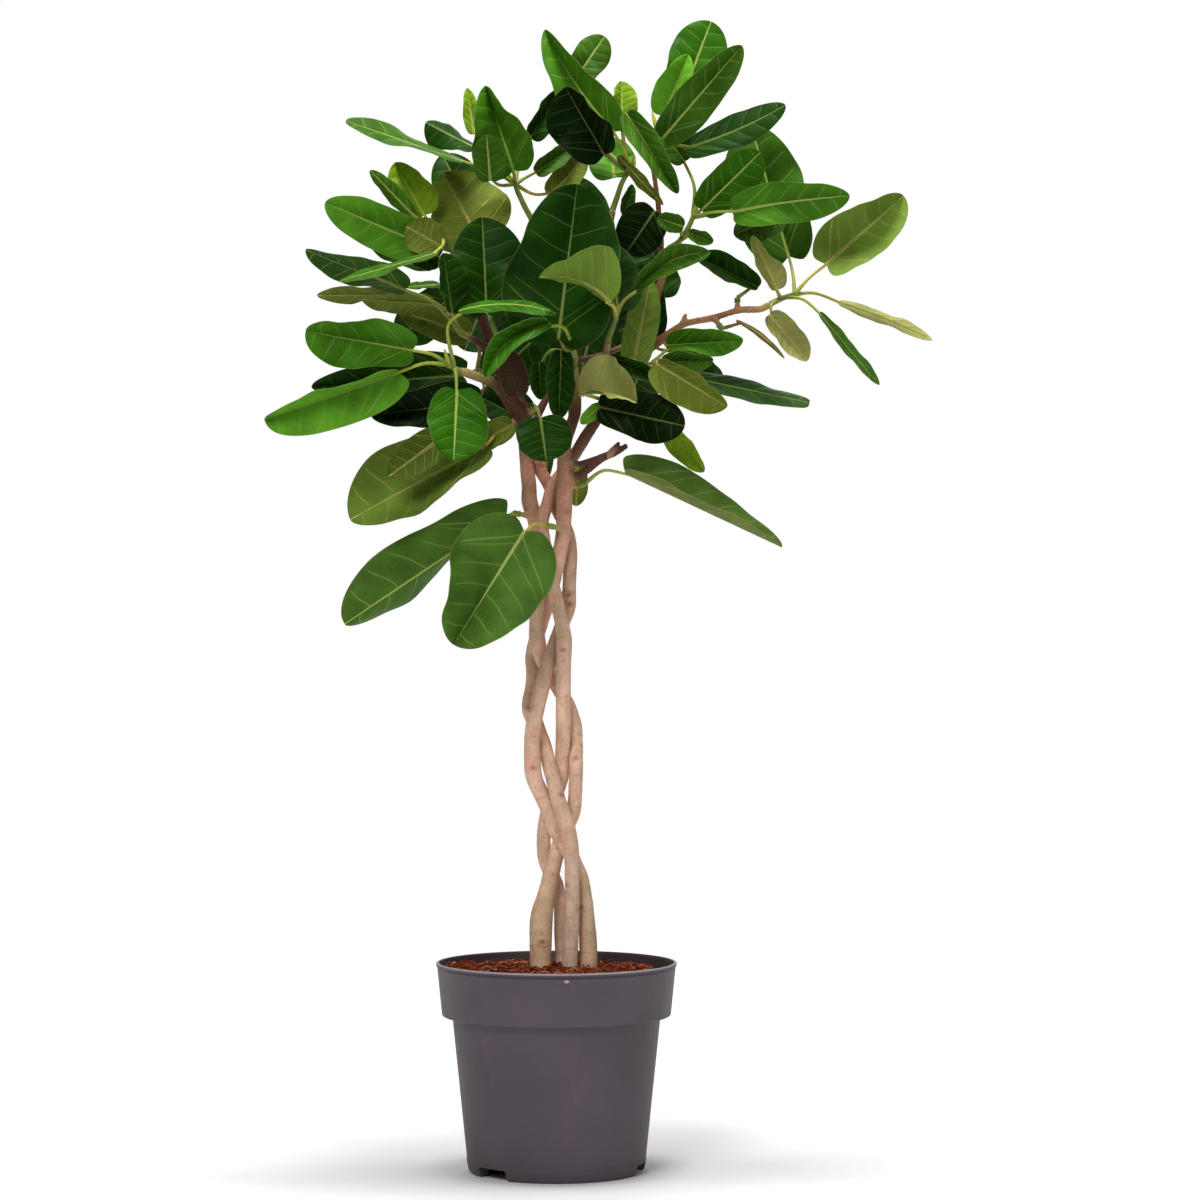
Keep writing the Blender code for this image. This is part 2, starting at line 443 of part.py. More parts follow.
def blade_grid(leaf, lengthwise, sideways, depth=0.0):
    """Blade points by station: one at the base, rows from left rim to right rim, and one at the tip."""
    stations = [(1 - math.cos(math.pi * step / lengthwise)) / 2 for step in range(1, lengthwise)]
    rows = [[blade_point(leaf, t, u, depth) for u in np.linspace(-1, 1, sideways + 1)] for t in stations]
    return blade_point(leaf, 0.0, 0.0, depth), rows, blade_point(leaf, 1.0, 0.0, depth)


def mean_depth(leaf):
    return (leaf.base[1] + leaf.tip[1]) / 2


def leaf_cells(leaf):
    """The least and greatest depth of a leaf in each cell of a grid across the sight line."""
    cells = {}
    for t in np.linspace(0.04, 1.0, LAYER_STATIONS):
        for u in np.linspace(-1, 1, LAYER_COLUMNS):
            x, y, z = blade_point(leaf, t, u)
            cell = (round(x / LAYER_CELL), round(z / LAYER_CELL))
            low, high = cells.get(cell, (y, y))
            cells[cell] = (min(low, y), max(high, y))
    return cells


def layer_depths(shoots):
    """How far each leaf is moved along the sight line so that it lies just clear of those nearer the wood.

    The crown is laid up outwards from the wood, first behind it and then in front of it, leaf upon leaf.
    """
    moves = {}
    leaves = sorted([leaf for shoot in shoots for leaf in shoot.leaves], key=lambda leaf: abs(mean_depth(leaf)))
    backs = {}
    fronts = {}
    for leaf in [leaf for leaf in leaves if mean_depth(leaf) > 0]:
        cells = leaf_cells(leaf)
        wanted = [backs[cell] + LAYER_CLEARANCE - cells[cell][0] for cell in cells if cell in backs]
        move = max([0.0] + wanted)
        moves[leaf.name] = move
        for cell, (low, high) in cells.items():
            backs[cell] = max(backs.get(cell, high + move), high + move)
            fronts[cell] = min(fronts.get(cell, low + move), low + move)
    for leaf in [leaf for leaf in leaves if mean_depth(leaf) <= 0]:
        cells = leaf_cells(leaf)
        wanted = [fronts[cell] - LAYER_CLEARANCE - cells[cell][1] for cell in cells if cell in fronts]
        move = min([0.0] + wanted)
        moves[leaf.name] = move
        for cell, (low, _) in cells.items():
            fronts[cell] = min(fronts.get(cell, low + move), low + move)
    return moves


def moved_leaf(leaf, depth):
    """The leaf moved along the sight line."""
    base = (leaf.base[0], leaf.base[1] + depth, leaf.base[2])
    tip = (leaf.tip[0], leaf.tip[1] + depth, leaf.tip[2])
    return leaf._replace(base=base, tip=tip)


def laid_up(shoots):
    """The shoots with every leaf moved to its own layer."""
    moves = layer_depths(shoots)
    return [
        shoot._replace(leaves=[moved_leaf(leaf, moves[leaf.name]) for leaf in shoot.leaves]) for shoot in shoots
    ]


def trunk_traces():
    """The trunks at common heights up the braid, pressed apart along the sight line until none cuts another.

    Each stands upright in its hole, and its limb carries on above the braid.
    """
    levels = np.arange(SOCKET_FOOT, BRAID_TOP, LEVEL_STEP)
    traces = {}
    for name, points in TRUNKS.items():
        path = smooth_path(points, 4.0)
        traces[name] = np.array([
            [np.interp(level, path[:, 2], path[:, column]) for column in range(4)] for level in levels
        ])
    names = list(traces)
    for round_number in range(PRESS_ROUNDS):
        for place, first in enumerate(names):
            for second in names[place + 1:]:
                a = traces[first]
                b = traces[second]
                wanted = TRUNK_TILT_ROOM * (a[:, 3] + b[:, 3]) + TRUNK_CLEARANCE
                across = np.abs(a[:, 0] - b[:, 0])
                needed = np.sqrt(np.maximum(0, wanted**2 - across**2))
                apart = a[:, 1] - b[:, 1]
                push = np.maximum(0, needed - np.abs(apart)) / 2 * np.where(apart > 0, 1, -1)
                a[:, 1] += push
                b[:, 1] -= push
        if round_number < SMOOTH_ROUNDS:
            for trace in traces.values():
                trace[1:-1, 1] = 0.7 * trace[1:-1, 1] + 0.15 * (trace[:-2, 1] + trace[2:, 1])
    for place, first in enumerate(names):
        for second in names[place + 1:]:
            a = traces[first]
            b = traces[second]
            room = (np.hypot(a[:, 0] - b[:, 0], a[:, 1] - b[:, 1]) - TRUNK_CLEARANCE) / TRUNK_TILT_ROOM
            squeeze = np.minimum(1.0, room / (a[:, 3] + b[:, 3]))
            a[:, 3] *= squeeze
            b[:, 3] *= squeeze
    for name, points in TRUNKS.items():
        traces[name][0, :2] = traces[name][1, :2]
        limb = [point for point in points if point[2] > LIMB_FOOT]
        joined_path = smooth_path([tuple(traces[name][-1])] + limb, BRANCH_STEP)
        traces[name] = np.vstack([traces[name], joined_path[1:]])
    return traces


def new_object(name, mesh, material):
    made = bpy.data.objects.new(name, mesh)
    bpy.context.scene.collection.objects.link(made)
    made.data.materials.append(material)
    return made


def mesh_from(name, points, faces):
    mesh = bpy.data.meshes.new(name)
    mesh.from_pydata([tuple(point * MM) for point in points], [], faces)
    mesh.validate()
    return mesh


def tube_mesh(name, path, sides):
    """A round bar along a path of sighted points with a radius each, closed at both ends."""
    centres = np.array([sighted(station[:3]) for station in path])
    radii = [station[3] for station in path]
    side = None
    points = []
    for place, centre in enumerate(centres):
        ahead = centres[min(place + 1, len(centres) - 1)]
        behind = centres[max(place - 1, 0)]
        tangent = unit(ahead - behind)
        side = unit(np.cross(tangent, [0.31, 0.9, 0.3]) if side is None else side - tangent * (side @ tangent))
        other = np.cross(tangent, side)
        for turn in range(sides):
            angle = 2 * math.pi * turn / sides
            points.append(centre + radii[place] * (side * math.cos(angle) + other * math.sin(angle)))
    faces = []
    for ring in range(len(centres) - 1):
        for turn in range(sides):
            following = (turn + 1) % sides
            low = ring * sides
            high = low + sides
            faces.append((low + turn, low + following, high + following, high + turn))
    last = (len(centres) - 1) * sides
    faces.append(tuple(reversed(range(sides))))
    faces.append(tuple(range(last, last + sides)))
    return mesh_from(name, points, faces)


def blade_mesh(leaf):
    """One leaf blade with its fold, cup and waved rim, split into triangles alike on both faces."""
    lengthwise = WIDE_BLADE_ROWS if real_half_width(leaf) > WIDE_BLADE else BLADE_ROWS
    base, rows, tip = blade_grid(leaf, lengthwise, BLADE_COLUMNS)
    grid = [base] + [point for row in rows for point in row] + [tip]
    count = len(grid)
    across = BLADE_COLUMNS + 1
    triangles = []
    for column in range(BLADE_COLUMNS):
        triangles.append((0, 1 + column, 2 + column))
        last = 1 + (len(rows) - 1) * across
        triangles.append((last + column, count - 1, last + column + 1))
        for row in range(len(rows) - 1):
            low = 1 + row * across + column
            high = low + across
            triangles.append((low, high, low + 1))
            triangles.append((low + 1, high, high + 1))
    grid = np.array(grid)
    normals = np.zeros_like(grid)
    for a, b, c in triangles:
        normal = np.cross(grid[b] - grid[a], grid[c] - grid[a])
        normals[[a, b, c]] += normal
    normals = np.array([unit(normal) for normal in normals]) * BLADE_THICKNESS / 2
    points = np.vstack([grid + normals, grid - normals])
    faces = list(triangles)
    faces += [(c + count, b + count, a + count) for a, b, c in triangles]
    left_rim = [0] + [1 + row * across for row in range(len(rows))] + [count - 1]
    right_rim = [0] + [1 + row * across + BLADE_COLUMNS for row in range(len(rows))] + [count - 1]
    for a, b in zip(left_rim, left_rim[1:]):
        faces += [(a, b + count, b), (a, a + count, b + count)]
    for a, b in zip(right_rim, right_rim[1:]):
        faces += [(a, b, b + count), (a, b + count, a + count)]
    mesh = mesh_from(leaf.name, points, faces)
    shell = bmesh.new()
    shell.from_mesh(mesh)
    bmesh.ops.recalc_face_normals(shell, faces=shell.faces)
    shell.to_mesh(mesh)
    shell.free()
    return mesh


def stalk_path(shoot, leaf):
    """The leaf stalk: out of the twig, then bending into the line of the midrib."""
    share = 1.0 if leaf.at is None else leaf.at
    twig = smooth_path([station + (2.4,) for station in shoot.twig], 5.0)
    root = twig[round(share * (len(twig) - 1))][:3]
    base = np.array(leaf.base, float)
    run = unit(np.array(leaf.tip, float) - base)
    sunk = base + run * 4.0
    reach = np.linalg.norm(base - root)
    if reach < SHORT_STALK:
        return [(*root, STALK_RADIUS), (*sunk, 0.85 * STALK_RADIUS)]
    seen = np.hypot(base[0] - root[0], base[2] - root[2])
    before = base - run * 0.3 * seen
    bend = root + (before - root) * STALK_BEND + np.array([0.0, 0.0, 0.06 * seen])
    return [(*root, 1.15 * STALK_RADIUS), (*bend, STALK_RADIUS), (*sunk, 0.85 * STALK_RADIUS)]


def bud_path(shoot):
    """The pointed bud at the shoot's end."""
    end = np.array(shoot.twig[-1], float)
    tip = np.array(shoot.bud, float)
    return [
        (*(end - 0.15 * (tip - end)), 2.0), (*(end + 0.35 * (tip - end)), 2.3),
        (*(end + 0.95 * (tip - end)), 0.7),
    ]


def keep_largest(mesh):
    """Drops the scraps that a union can leave."""
    shape = bmesh.new()
    shape.from_mesh(mesh)
    unseen = set(shape.faces)
    islands = []
    while unseen:
        island = []
        waiting = [unseen.pop()]
        while waiting:
            face = waiting.pop()
            island.append(face)
            for edge in face.edges:
                for other in edge.link_faces:
                    if other in unseen:
                        unseen.remove(other)
                        waiting.append(other)
        islands.append(island)
    islands.sort(key=len)
    for island in islands[:-1]:
        bmesh.ops.delete(shape, geom=island, context="FACES")
    shape.to_mesh(mesh)
    shape.free()


def joined(name, meshes, material):
    """One object from overlapping closed meshes, by one union."""
    made = new_object(name, meshes[0], material)
    group = bpy.data.collections.new(name + "_pieces")
    for mesh in meshes[1:]:
        group.objects.link(bpy.data.objects.new(mesh.name, mesh))
    if group.objects:
        union = made.modifiers.new("Join", "BOOLEAN")
        union.operation = "UNION"
        union.operand_type = "COLLECTION"
        union.collection = group
        union.solver = UNION_SOLVER
        evaluated = made.evaluated_get(bpy.context.evaluated_depsgraph_get())
        whole = bpy.data.meshes.new_from_object(evaluated)
        keep_largest(whole)
        made.modifiers.clear()
        made.data = whole
        whole.name = name
        made.data.materials.clear()
        made.data.materials.append(material)
    for piece in list(group.objects):
        bpy.data.objects.remove(piece)
    bpy.data.collections.remove(group)
    made.data.shade_smooth()
    made.data.set_sharp_from_angle(angle=math.radians(40))
    return made


def finish(name, colour, roughness):
    """A plain surface, none of which is metal."""
    material = bpy.data.materials.new(name)
    material.use_nodes = True
    shader = material.node_tree.nodes["Principled BSDF"]
    shader.inputs["Base Color"].default_value = (*colour, 1.0)
    shader.inputs["Roughness"].default_value = roughness
    shader.inputs["Metallic"].default_value = 0.0
    material.diffuse_color = (*colour, 1.0)
    return material


def turned(name, profile, sides):
    """A solid of revolution about the pot's axis. The profile runs from the axis below to the axis above."""
    shape = bmesh.new()
    rings = []
    for radius, height in profile:
        if radius < 1e-6:
            rings.append([shape.verts.new((0, 0, height * MM))])
            continue
        angles = [2 * math.pi * (turn + 0.5) / sides for turn in range(sides)]
        rings.append([
            shape.verts.new((radius * math.cos(angle) * MM, radius * math.sin(angle) * MM, height * MM))
            for angle in angles
        ])
    for low, high in zip(rings, rings[1:]):
        for turn in range(sides):
            following = (turn + 1) % sides
            if len(low) == 1:
                shape.faces.new((low[0], high[following], high[turn]))
            elif len(high) == 1:
                shape.faces.new((low[turn], low[following], high[0]))
            else:
                shape.faces.new((low[turn], low[following], high[following], high[turn]))
    bmesh.ops.recalc_face_normals(shape, faces=shape.faces)
    mesh = bpy.data.meshes.new(name)
    shape.to_mesh(mesh)
    shape.free()
    return mesh


def wall_radius(height):
    """Outer radius of the pot's tapered body at a height."""
    share = height / (POT_HEIGHT - COLLAR_HEIGHT)
    return BODY_FOOT_RADIUS + (BODY_TOP_RADIUS - BODY_FOOT_RADIUS) * share


def cutter(name, mesh):
    """A shape that only cuts another."""
    made = bpy.data.objects.new(name, mesh)
    bpy.context.scene.collection.objects.link(made)
    made.hide_render = True
    made.display_type = "WIRE"
    return made


def cut(target, tool):
    difference = target.modifiers.new(tool.name, "BOOLEAN")
    difference.operation = "DIFFERENCE"
    difference.object = tool


def ring_place(heading, radius, height):
    """A place at that radius and height from the pot's axis, in the direction of the heading."""
    return Vector((math.cos(heading) * radius, math.sin(heading) * radius, height)) * MM


def build_pot():
    """The pot: a rim lip, a deep collar, a tapered body and a foot with a raised drainage channel."""
    step = POT_HEIGHT - COLLAR_HEIGHT
    wall = POT_WALL
    floor = CHANNEL_HEIGHT + wall
    outside = [
        (0, 0), (CHANNEL_INNER, 0), (CHANNEL_INNER + CHANNEL_SLOPE, CHANNEL_HEIGHT),
        (CHANNEL_OUTER - CHANNEL_SLOPE, CHANNEL_HEIGHT), (CHANNEL_OUTER, 0),
        (BODY_FOOT_RADIUS - BASE_CORNER, 0), (BODY_FOOT_RADIUS - EDGE, BASE_CORNER / 2),
        (wall_radius(2 * BASE_CORNER), 2 * BASE_CORNER),
        (wall_radius(FOOT_LINE), FOOT_LINE), (wall_radius(step - 2 * EDGE), step - 2 * EDGE),
        (COLLAR_FOOT_RADIUS - EDGE, step - EDGE), (COLLAR_FOOT_RADIUS, step + EDGE),
        (COLLAR_RADIUS, POT_HEIGHT - LIP_HEIGHT - LIP_STEP), (RIM_RADIUS, POT_HEIGHT - LIP_HEIGHT),
        (RIM_RADIUS, POT_HEIGHT - EDGE), (RIM_RADIUS - EDGE, POT_HEIGHT),
    ]
    inside = [
        (COLLAR_RADIUS - wall, POT_HEIGHT), (COLLAR_FOOT_RADIUS - wall, step + 2 * wall),
        (COLLAR_FOOT_RADIUS - 2 * wall, step + wall), (wall_radius(step) - wall, step),
        (wall_radius(floor) - wall, floor), (CHANNEL_INNER - wall, floor),
        (CHANNEL_INNER - wall - CHANNEL_SLOPE, wall), (0, wall),
    ]
    plastic = finish("moulded plastic", POT_COLOUR, 0.55)
    pot = new_object("pot", turned("pot", outside + inside, POT_SIDES), plastic)
    for place, angle in enumerate(NOTCH_ANGLES):
        shape = bmesh.new()
        bmesh.ops.create_cube(shape, size=1.0)
        size = Vector((NOTCH_LENGTH, NOTCH_WIDTH, CHANNEL_HEIGHT)) * MM
        bmesh.ops.scale(shape, vec=size, verts=shape.verts)
        mesh = bpy.data.meshes.new("notch")
        shape.to_mesh(mesh)
        shape.free()
        notch = cutter(f"notch_cutter_{place}", mesh)
        heading = math.radians(angle - 90)
        notch.location = ring_place(heading, NOTCH_RADIUS, NOTCH_HEIGHT - CHANNEL_HEIGHT / 2)
        notch.rotation_euler = (0, 0, heading)
        cut(pot, notch)
    for place in range(DRAIN_HOLES):
        shape = bmesh.new()
        bmesh.ops.create_cone(
            shape, cap_ends=True, segments=DRAIN_SIDES, radius1=DRAIN_RADIUS * MM, radius2=DRAIN_RADIUS * MM,
            depth=CHANNEL_HEIGHT * MM
        )
        mesh = bpy.data.meshes.new("drain")
        shape.to_mesh(mesh)
        shape.free()
        hole = cutter(f"drain_cutter_{place}", mesh)
        heading = 2 * math.pi * (place + 0.5) / DRAIN_HOLES
        hole.location = ring_place(heading, (CHANNEL_INNER + CHANNEL_OUTER) / 2, CHANNEL_HEIGHT)
        cut(pot, hole)
    pot.data.shade_smooth()
    pot.data.set_sharp_from_angle(angle=math.radians(30))
    return pot


def soil_height(x, y):
    """The soil's surface: a low mound round the trunks, with the lumps of loose fibre."""
    reach = min(1.0, math.hypot(x, y) / RIM_RADIUS)
    lumps = math.sin(x * 0.16 + 1.3) * math.cos(y * 0.19) + 0.6 * math.sin(x * 0.31 + y * 0.27)
    return SOIL_LEVEL + SOIL_MOUND * (1 - reach) ** 1.2 + SOIL_ROUGHNESS * lumps


def build_soil(traces):
    """The soil: it fills the pot and has a plain hole for each trunk."""
    step = POT_HEIGHT - COLLAR_HEIGHT
    floor = CHANNEL_HEIGHT + POT_WALL + GAP
    inset = POT_WALL + GAP
    collar_slope = (COLLAR_RADIUS - COLLAR_FOOT_RADIUS) / COLLAR_HEIGHT
    collar = COLLAR_FOOT_RADIUS + collar_slope * (SOIL_LEVEL - SOIL_SHOULDER - step)
    profile = [
        (0, floor), (wall_radius(floor) - inset, floor), (wall_radius(step) - inset, step + GAP),
        (COLLAR_FOOT_RADIUS - 2 * POT_WALL - GAP, step + POT_WALL + GAP),
        (COLLAR_FOOT_RADIUS - inset, step + 2 * POT_WALL + 2 * GAP),
        (collar - inset, SOIL_LEVEL - SOIL_SHOULDER),
    ]
    mesh = turned("soil", profile + [(radius, SOIL_LEVEL) for radius in SOIL_RINGS], POT_SIDES)
    for vertex in mesh.vertices:
        x, y, z = vertex.co / MM
        if z > SOIL_LEVEL - 1:
            vertex.co.z = soil_height(x, y) * MM
    soil = new_object("soil", mesh, finish("coco soil", SOIL_COLOUR, 0.95))
    for name, trace in traces.items():
        foot = sighted(trace[0][:3])
        widest = max(station[3] for station in trace[:4])
        shape = bmesh.new()
        radius = (widest + SOCKET_ROOM) * MM
        bmesh.ops.create_cone(
            shape, cap_ends=True, segments=SOCKET_SIDES, radius1=radius, radius2=radius,
            depth=SOCKET_LENGTH * MM
        )
        mesh = bpy.data.meshes.new("socket")
        shape.to_mesh(mesh)
        shape.free()
        socket = cutter(f"socket_cutter_{name}", mesh)
        socket.location = Vector((foot[0], foot[1], foot[2] - GAP + SOCKET_LENGTH / 2)) * MM
        cut(soil, socket)
    soil.data.shade_smooth()
    return soil


def build_trunks(traces, bark):
    """The four trunks, each one piece with its branches."""
    for name, trace in traces.items():
        meshes = [tube_mesh(name, trace, TRUNK_SIDES)]
        for branch in BRANCHES[name]:
            meshes.append(tube_mesh(name + "_branch", smooth_path(branch, BRANCH_STEP), BRANCH_SIDES))
        joined(name, meshes, bark)


def wood_ends(traces):
    """The direction in which each limb and branch ends, by its end point."""
    ends = {}
    for name, points in TRUNKS.items():
        ends[points[-1][:3]] = unit(traces[name][-1][:3] - traces[name][-2][:3])
        for branch in BRANCHES[name]:
            path = smooth_path(branch, BRANCH_STEP)
            ends[branch[-1][:3]] = unit(path[-1][:3] - path[-2][:3])
    return ends


def twig_path(shoot, ends):
    """The twig carries on from the end of its branch, with a hairline between them."""
    start = np.array(shoot.twig[0], float)
    ahead = ends[shoot.twig[0]]
    stations = [tuple(start + ahead * GAP), tuple(start + ahead * 2.5)] + list(shoot.twig[1:])
    return [(*station, max(1.7, 2.6 - 0.2 * place)) for place, station in enumerate(stations)]


def build_shoots(traces):
    """Each leafy shoot, one piece with its twig, leaf stalks and blades."""
    finishes = {tone: finish(f"{tone} leaf", colour, 0.4) for tone, colour in LEAF_COLOURS.items()}
    ends = wood_ends(traces)
    for shoot in laid_up(SHOOTS):
        meshes = [tube_mesh(shoot.name + "_twig", twig_path(shoot, ends), TWIG_SIDES)]
        if shoot.bud:
            meshes.append(tube_mesh(shoot.name + "_bud", bud_path(shoot), TWIG_SIDES))
        for leaf in shoot.leaves:
            meshes.append(tube_mesh(leaf.name + "_stalk", stalk_path(shoot, leaf), STALK_SIDES))
            meshes.append(blade_mesh(leaf))
        joined(shoot.name, meshes, finishes[shoot.tone])


def main():
    for old in list(bpy.data.objects):
        bpy.data.objects.remove(old)
    traces = trunk_traces()
    build_pot()
    build_soil(traces)
    build_trunks(traces, finish("bark", BARK_COLOUR, 0.8))
    build_shoots(traces)


main()
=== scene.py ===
"""Looks of the potted Bengal fig: bark, leaf blades, stalks, soil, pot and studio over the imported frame.

The plant is laid out in millimetres as sighted from the front: across, depth (away from the eye) and up. The
tables are those of the part's own source, so each stem and blade lies where its solid does.
"""
import json
import logging
import math
from dataclasses import dataclass, field, replace
from enum import Enum
from itertools import combinations

import bmesh
import bpy
import numpy as np
from bmesh.types import BMesh, BMVert
from bpy.types import Material, Mesh, Node, NodeTree, Object
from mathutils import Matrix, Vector, noise
from mathutils.kdtree import KDTree


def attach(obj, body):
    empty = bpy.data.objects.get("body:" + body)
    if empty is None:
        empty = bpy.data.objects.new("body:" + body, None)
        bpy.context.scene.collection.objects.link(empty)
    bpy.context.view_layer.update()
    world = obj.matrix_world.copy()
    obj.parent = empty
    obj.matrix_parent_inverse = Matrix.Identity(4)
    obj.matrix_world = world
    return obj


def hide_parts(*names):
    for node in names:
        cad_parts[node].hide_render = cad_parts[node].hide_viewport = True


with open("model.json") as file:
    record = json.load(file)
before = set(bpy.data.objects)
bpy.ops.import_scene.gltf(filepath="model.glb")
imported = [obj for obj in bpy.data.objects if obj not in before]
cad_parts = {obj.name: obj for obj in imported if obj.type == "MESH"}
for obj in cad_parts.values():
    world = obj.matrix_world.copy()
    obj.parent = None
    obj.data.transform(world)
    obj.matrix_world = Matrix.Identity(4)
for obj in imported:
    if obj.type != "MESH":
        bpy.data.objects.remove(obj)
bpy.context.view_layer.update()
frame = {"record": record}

log = logging.getLogger("bengal_fig")

Point = tuple[float, float, float]
Colour = tuple[float, float, float]
Socket = bpy.types.NodeSocket

MM = 0.001
BODY = "root"
SLOTS = {row["node"]: row["material_slot"] for row in frame["record"]["subparts"]}


def rgb(red: float, green: float, blue: float) -> Colour:
    """Turns a colour as a screen shows it into the linear colour that shaders use."""
    shares = [value / 255 for value in (red, green, blue)]
    return tuple(value / 12.92 if value <= 0.04045 else ((value + 0.055) / 1.055) ** 2.4 for value in shares)


class Face(Enum):
    """The face of a blade that the front view shows."""

    TOP = -1
    UNDER = 1


class Lean(Enum):
    """Whether the left and the right rim lie nearer to the eye than the midrib (-1) or further away (1)."""

    NEAR_NEAR = (-1, -1)
    NEAR_FAR = (-1, 1)
    FAR_NEAR = (1, -1)
    FAR_FAR = (1, 1)


class Tone(Enum):
    """Colours of a leaf: top face, underside and stalk."""

    # Painted shade: near-black green for leaves that sit deep in shade in the crown.
    BLACK = (rgb(10, 29, 3), rgb(70, 84, 30), rgb(110, 120, 52))
    # Dark green of mature leaves, which also serves as painted shade for leaves behind and under others.
    DARK = (rgb(24, 56, 8), rgb(76, 92, 30), rgb(136, 148, 62))
    MATURE = (rgb(54, 92, 20), rgb(92, 112, 40), rgb(152, 162, 66))
    MID = (rgb(64, 114, 22), rgb(102, 122, 46), rgb(160, 172, 66))
    FRESH = (rgb(86, 144, 34), rgb(112, 136, 50), rgb(168, 182, 66))
    YOUNG = (rgb(118, 152, 30), rgb(134, 154, 48), rgb(176, 188, 64))
    OLIVE = (rgb(44, 78, 20), rgb(102, 116, 40), rgb(176, 152, 60))
    LIGHT_OLIVE = (rgb(54, 90, 28), rgb(104, 130, 48), rgb(182, 174, 78))
    PALE = (rgb(62, 96, 36), rgb(146, 148, 84), rgb(172, 166, 84))
    GREY = (rgb(50, 82, 34), rgb(92, 110, 56), rgb(142, 154, 74))
    # A greyed green that paints the sheen of a glossy leaf into its colour.
    DULL = (rgb(80, 108, 42), rgb(104, 118, 58), rgb(160, 162, 70))
    BROAD = (rgb(70, 104, 36), rgb(106, 122, 56), rgb(190, 174, 72))
    VIVID = (rgb(44, 92, 10), rgb(94, 114, 40), rgb(152, 164, 64))
    ROLLED = (rgb(46, 84, 22), rgb(46, 82, 24), rgb(146, 154, 64))
    DRY = (rgb(112, 84, 44), rgb(120, 88, 48), rgb(120, 86, 50))
    HUSK = (rgb(50, 36, 24), rgb(52, 36, 24), rgb(84, 54, 42))


@dataclass(frozen=True)
class Leaf:
    """One leaf as it is sighted.

    Half widths are seen at a quarter and at three quarters of the length, left and right of the midrib as one
    walks from base to tip. The width is the flat one, given where a blade is seen at a slant.
    """

    name: str
    base: Point
    tip: Point
    left: tuple[float, float]
    right: tuple[float, float]
    width: float | None = None
    lean: Lean = Lean.NEAR_NEAR
    face: Face = Face.TOP
    bow: float = 0.0
    blunt: float = 0.62
    at: float | None = None


@dataclass(frozen=True)
class Shoot:
    """A twig with its leaves and bud, which carries on from the end of a branch."""

    name: str
    twig: list[Point]
    leaves: list[Leaf]
    bud: Point | None = None


@dataclass(frozen=True)
class Sight:
    """The eye from which the plant is laid out, in millimetres."""

    across: float = 38.0
    distance: float = 3190.0
    height: float = 498.0

    def place(self, points: np.ndarray) -> np.ndarray:
        """Turns points as sighted into places in space.

        Args:
            points: rows of across, depth and up, in millimetres.

        Returns:
            The same rows as x, y and z, in millimetres.
        """
        points = np.asarray(points, float)
        scale = 1 + points[..., 1:2] / self.distance
        eye = np.array([self.across, 0.0, self.height])
        spread = eye + (points - eye) * scale
        spread[..., 1] = points[..., 1]
        return spread


SIGHT = Sight()

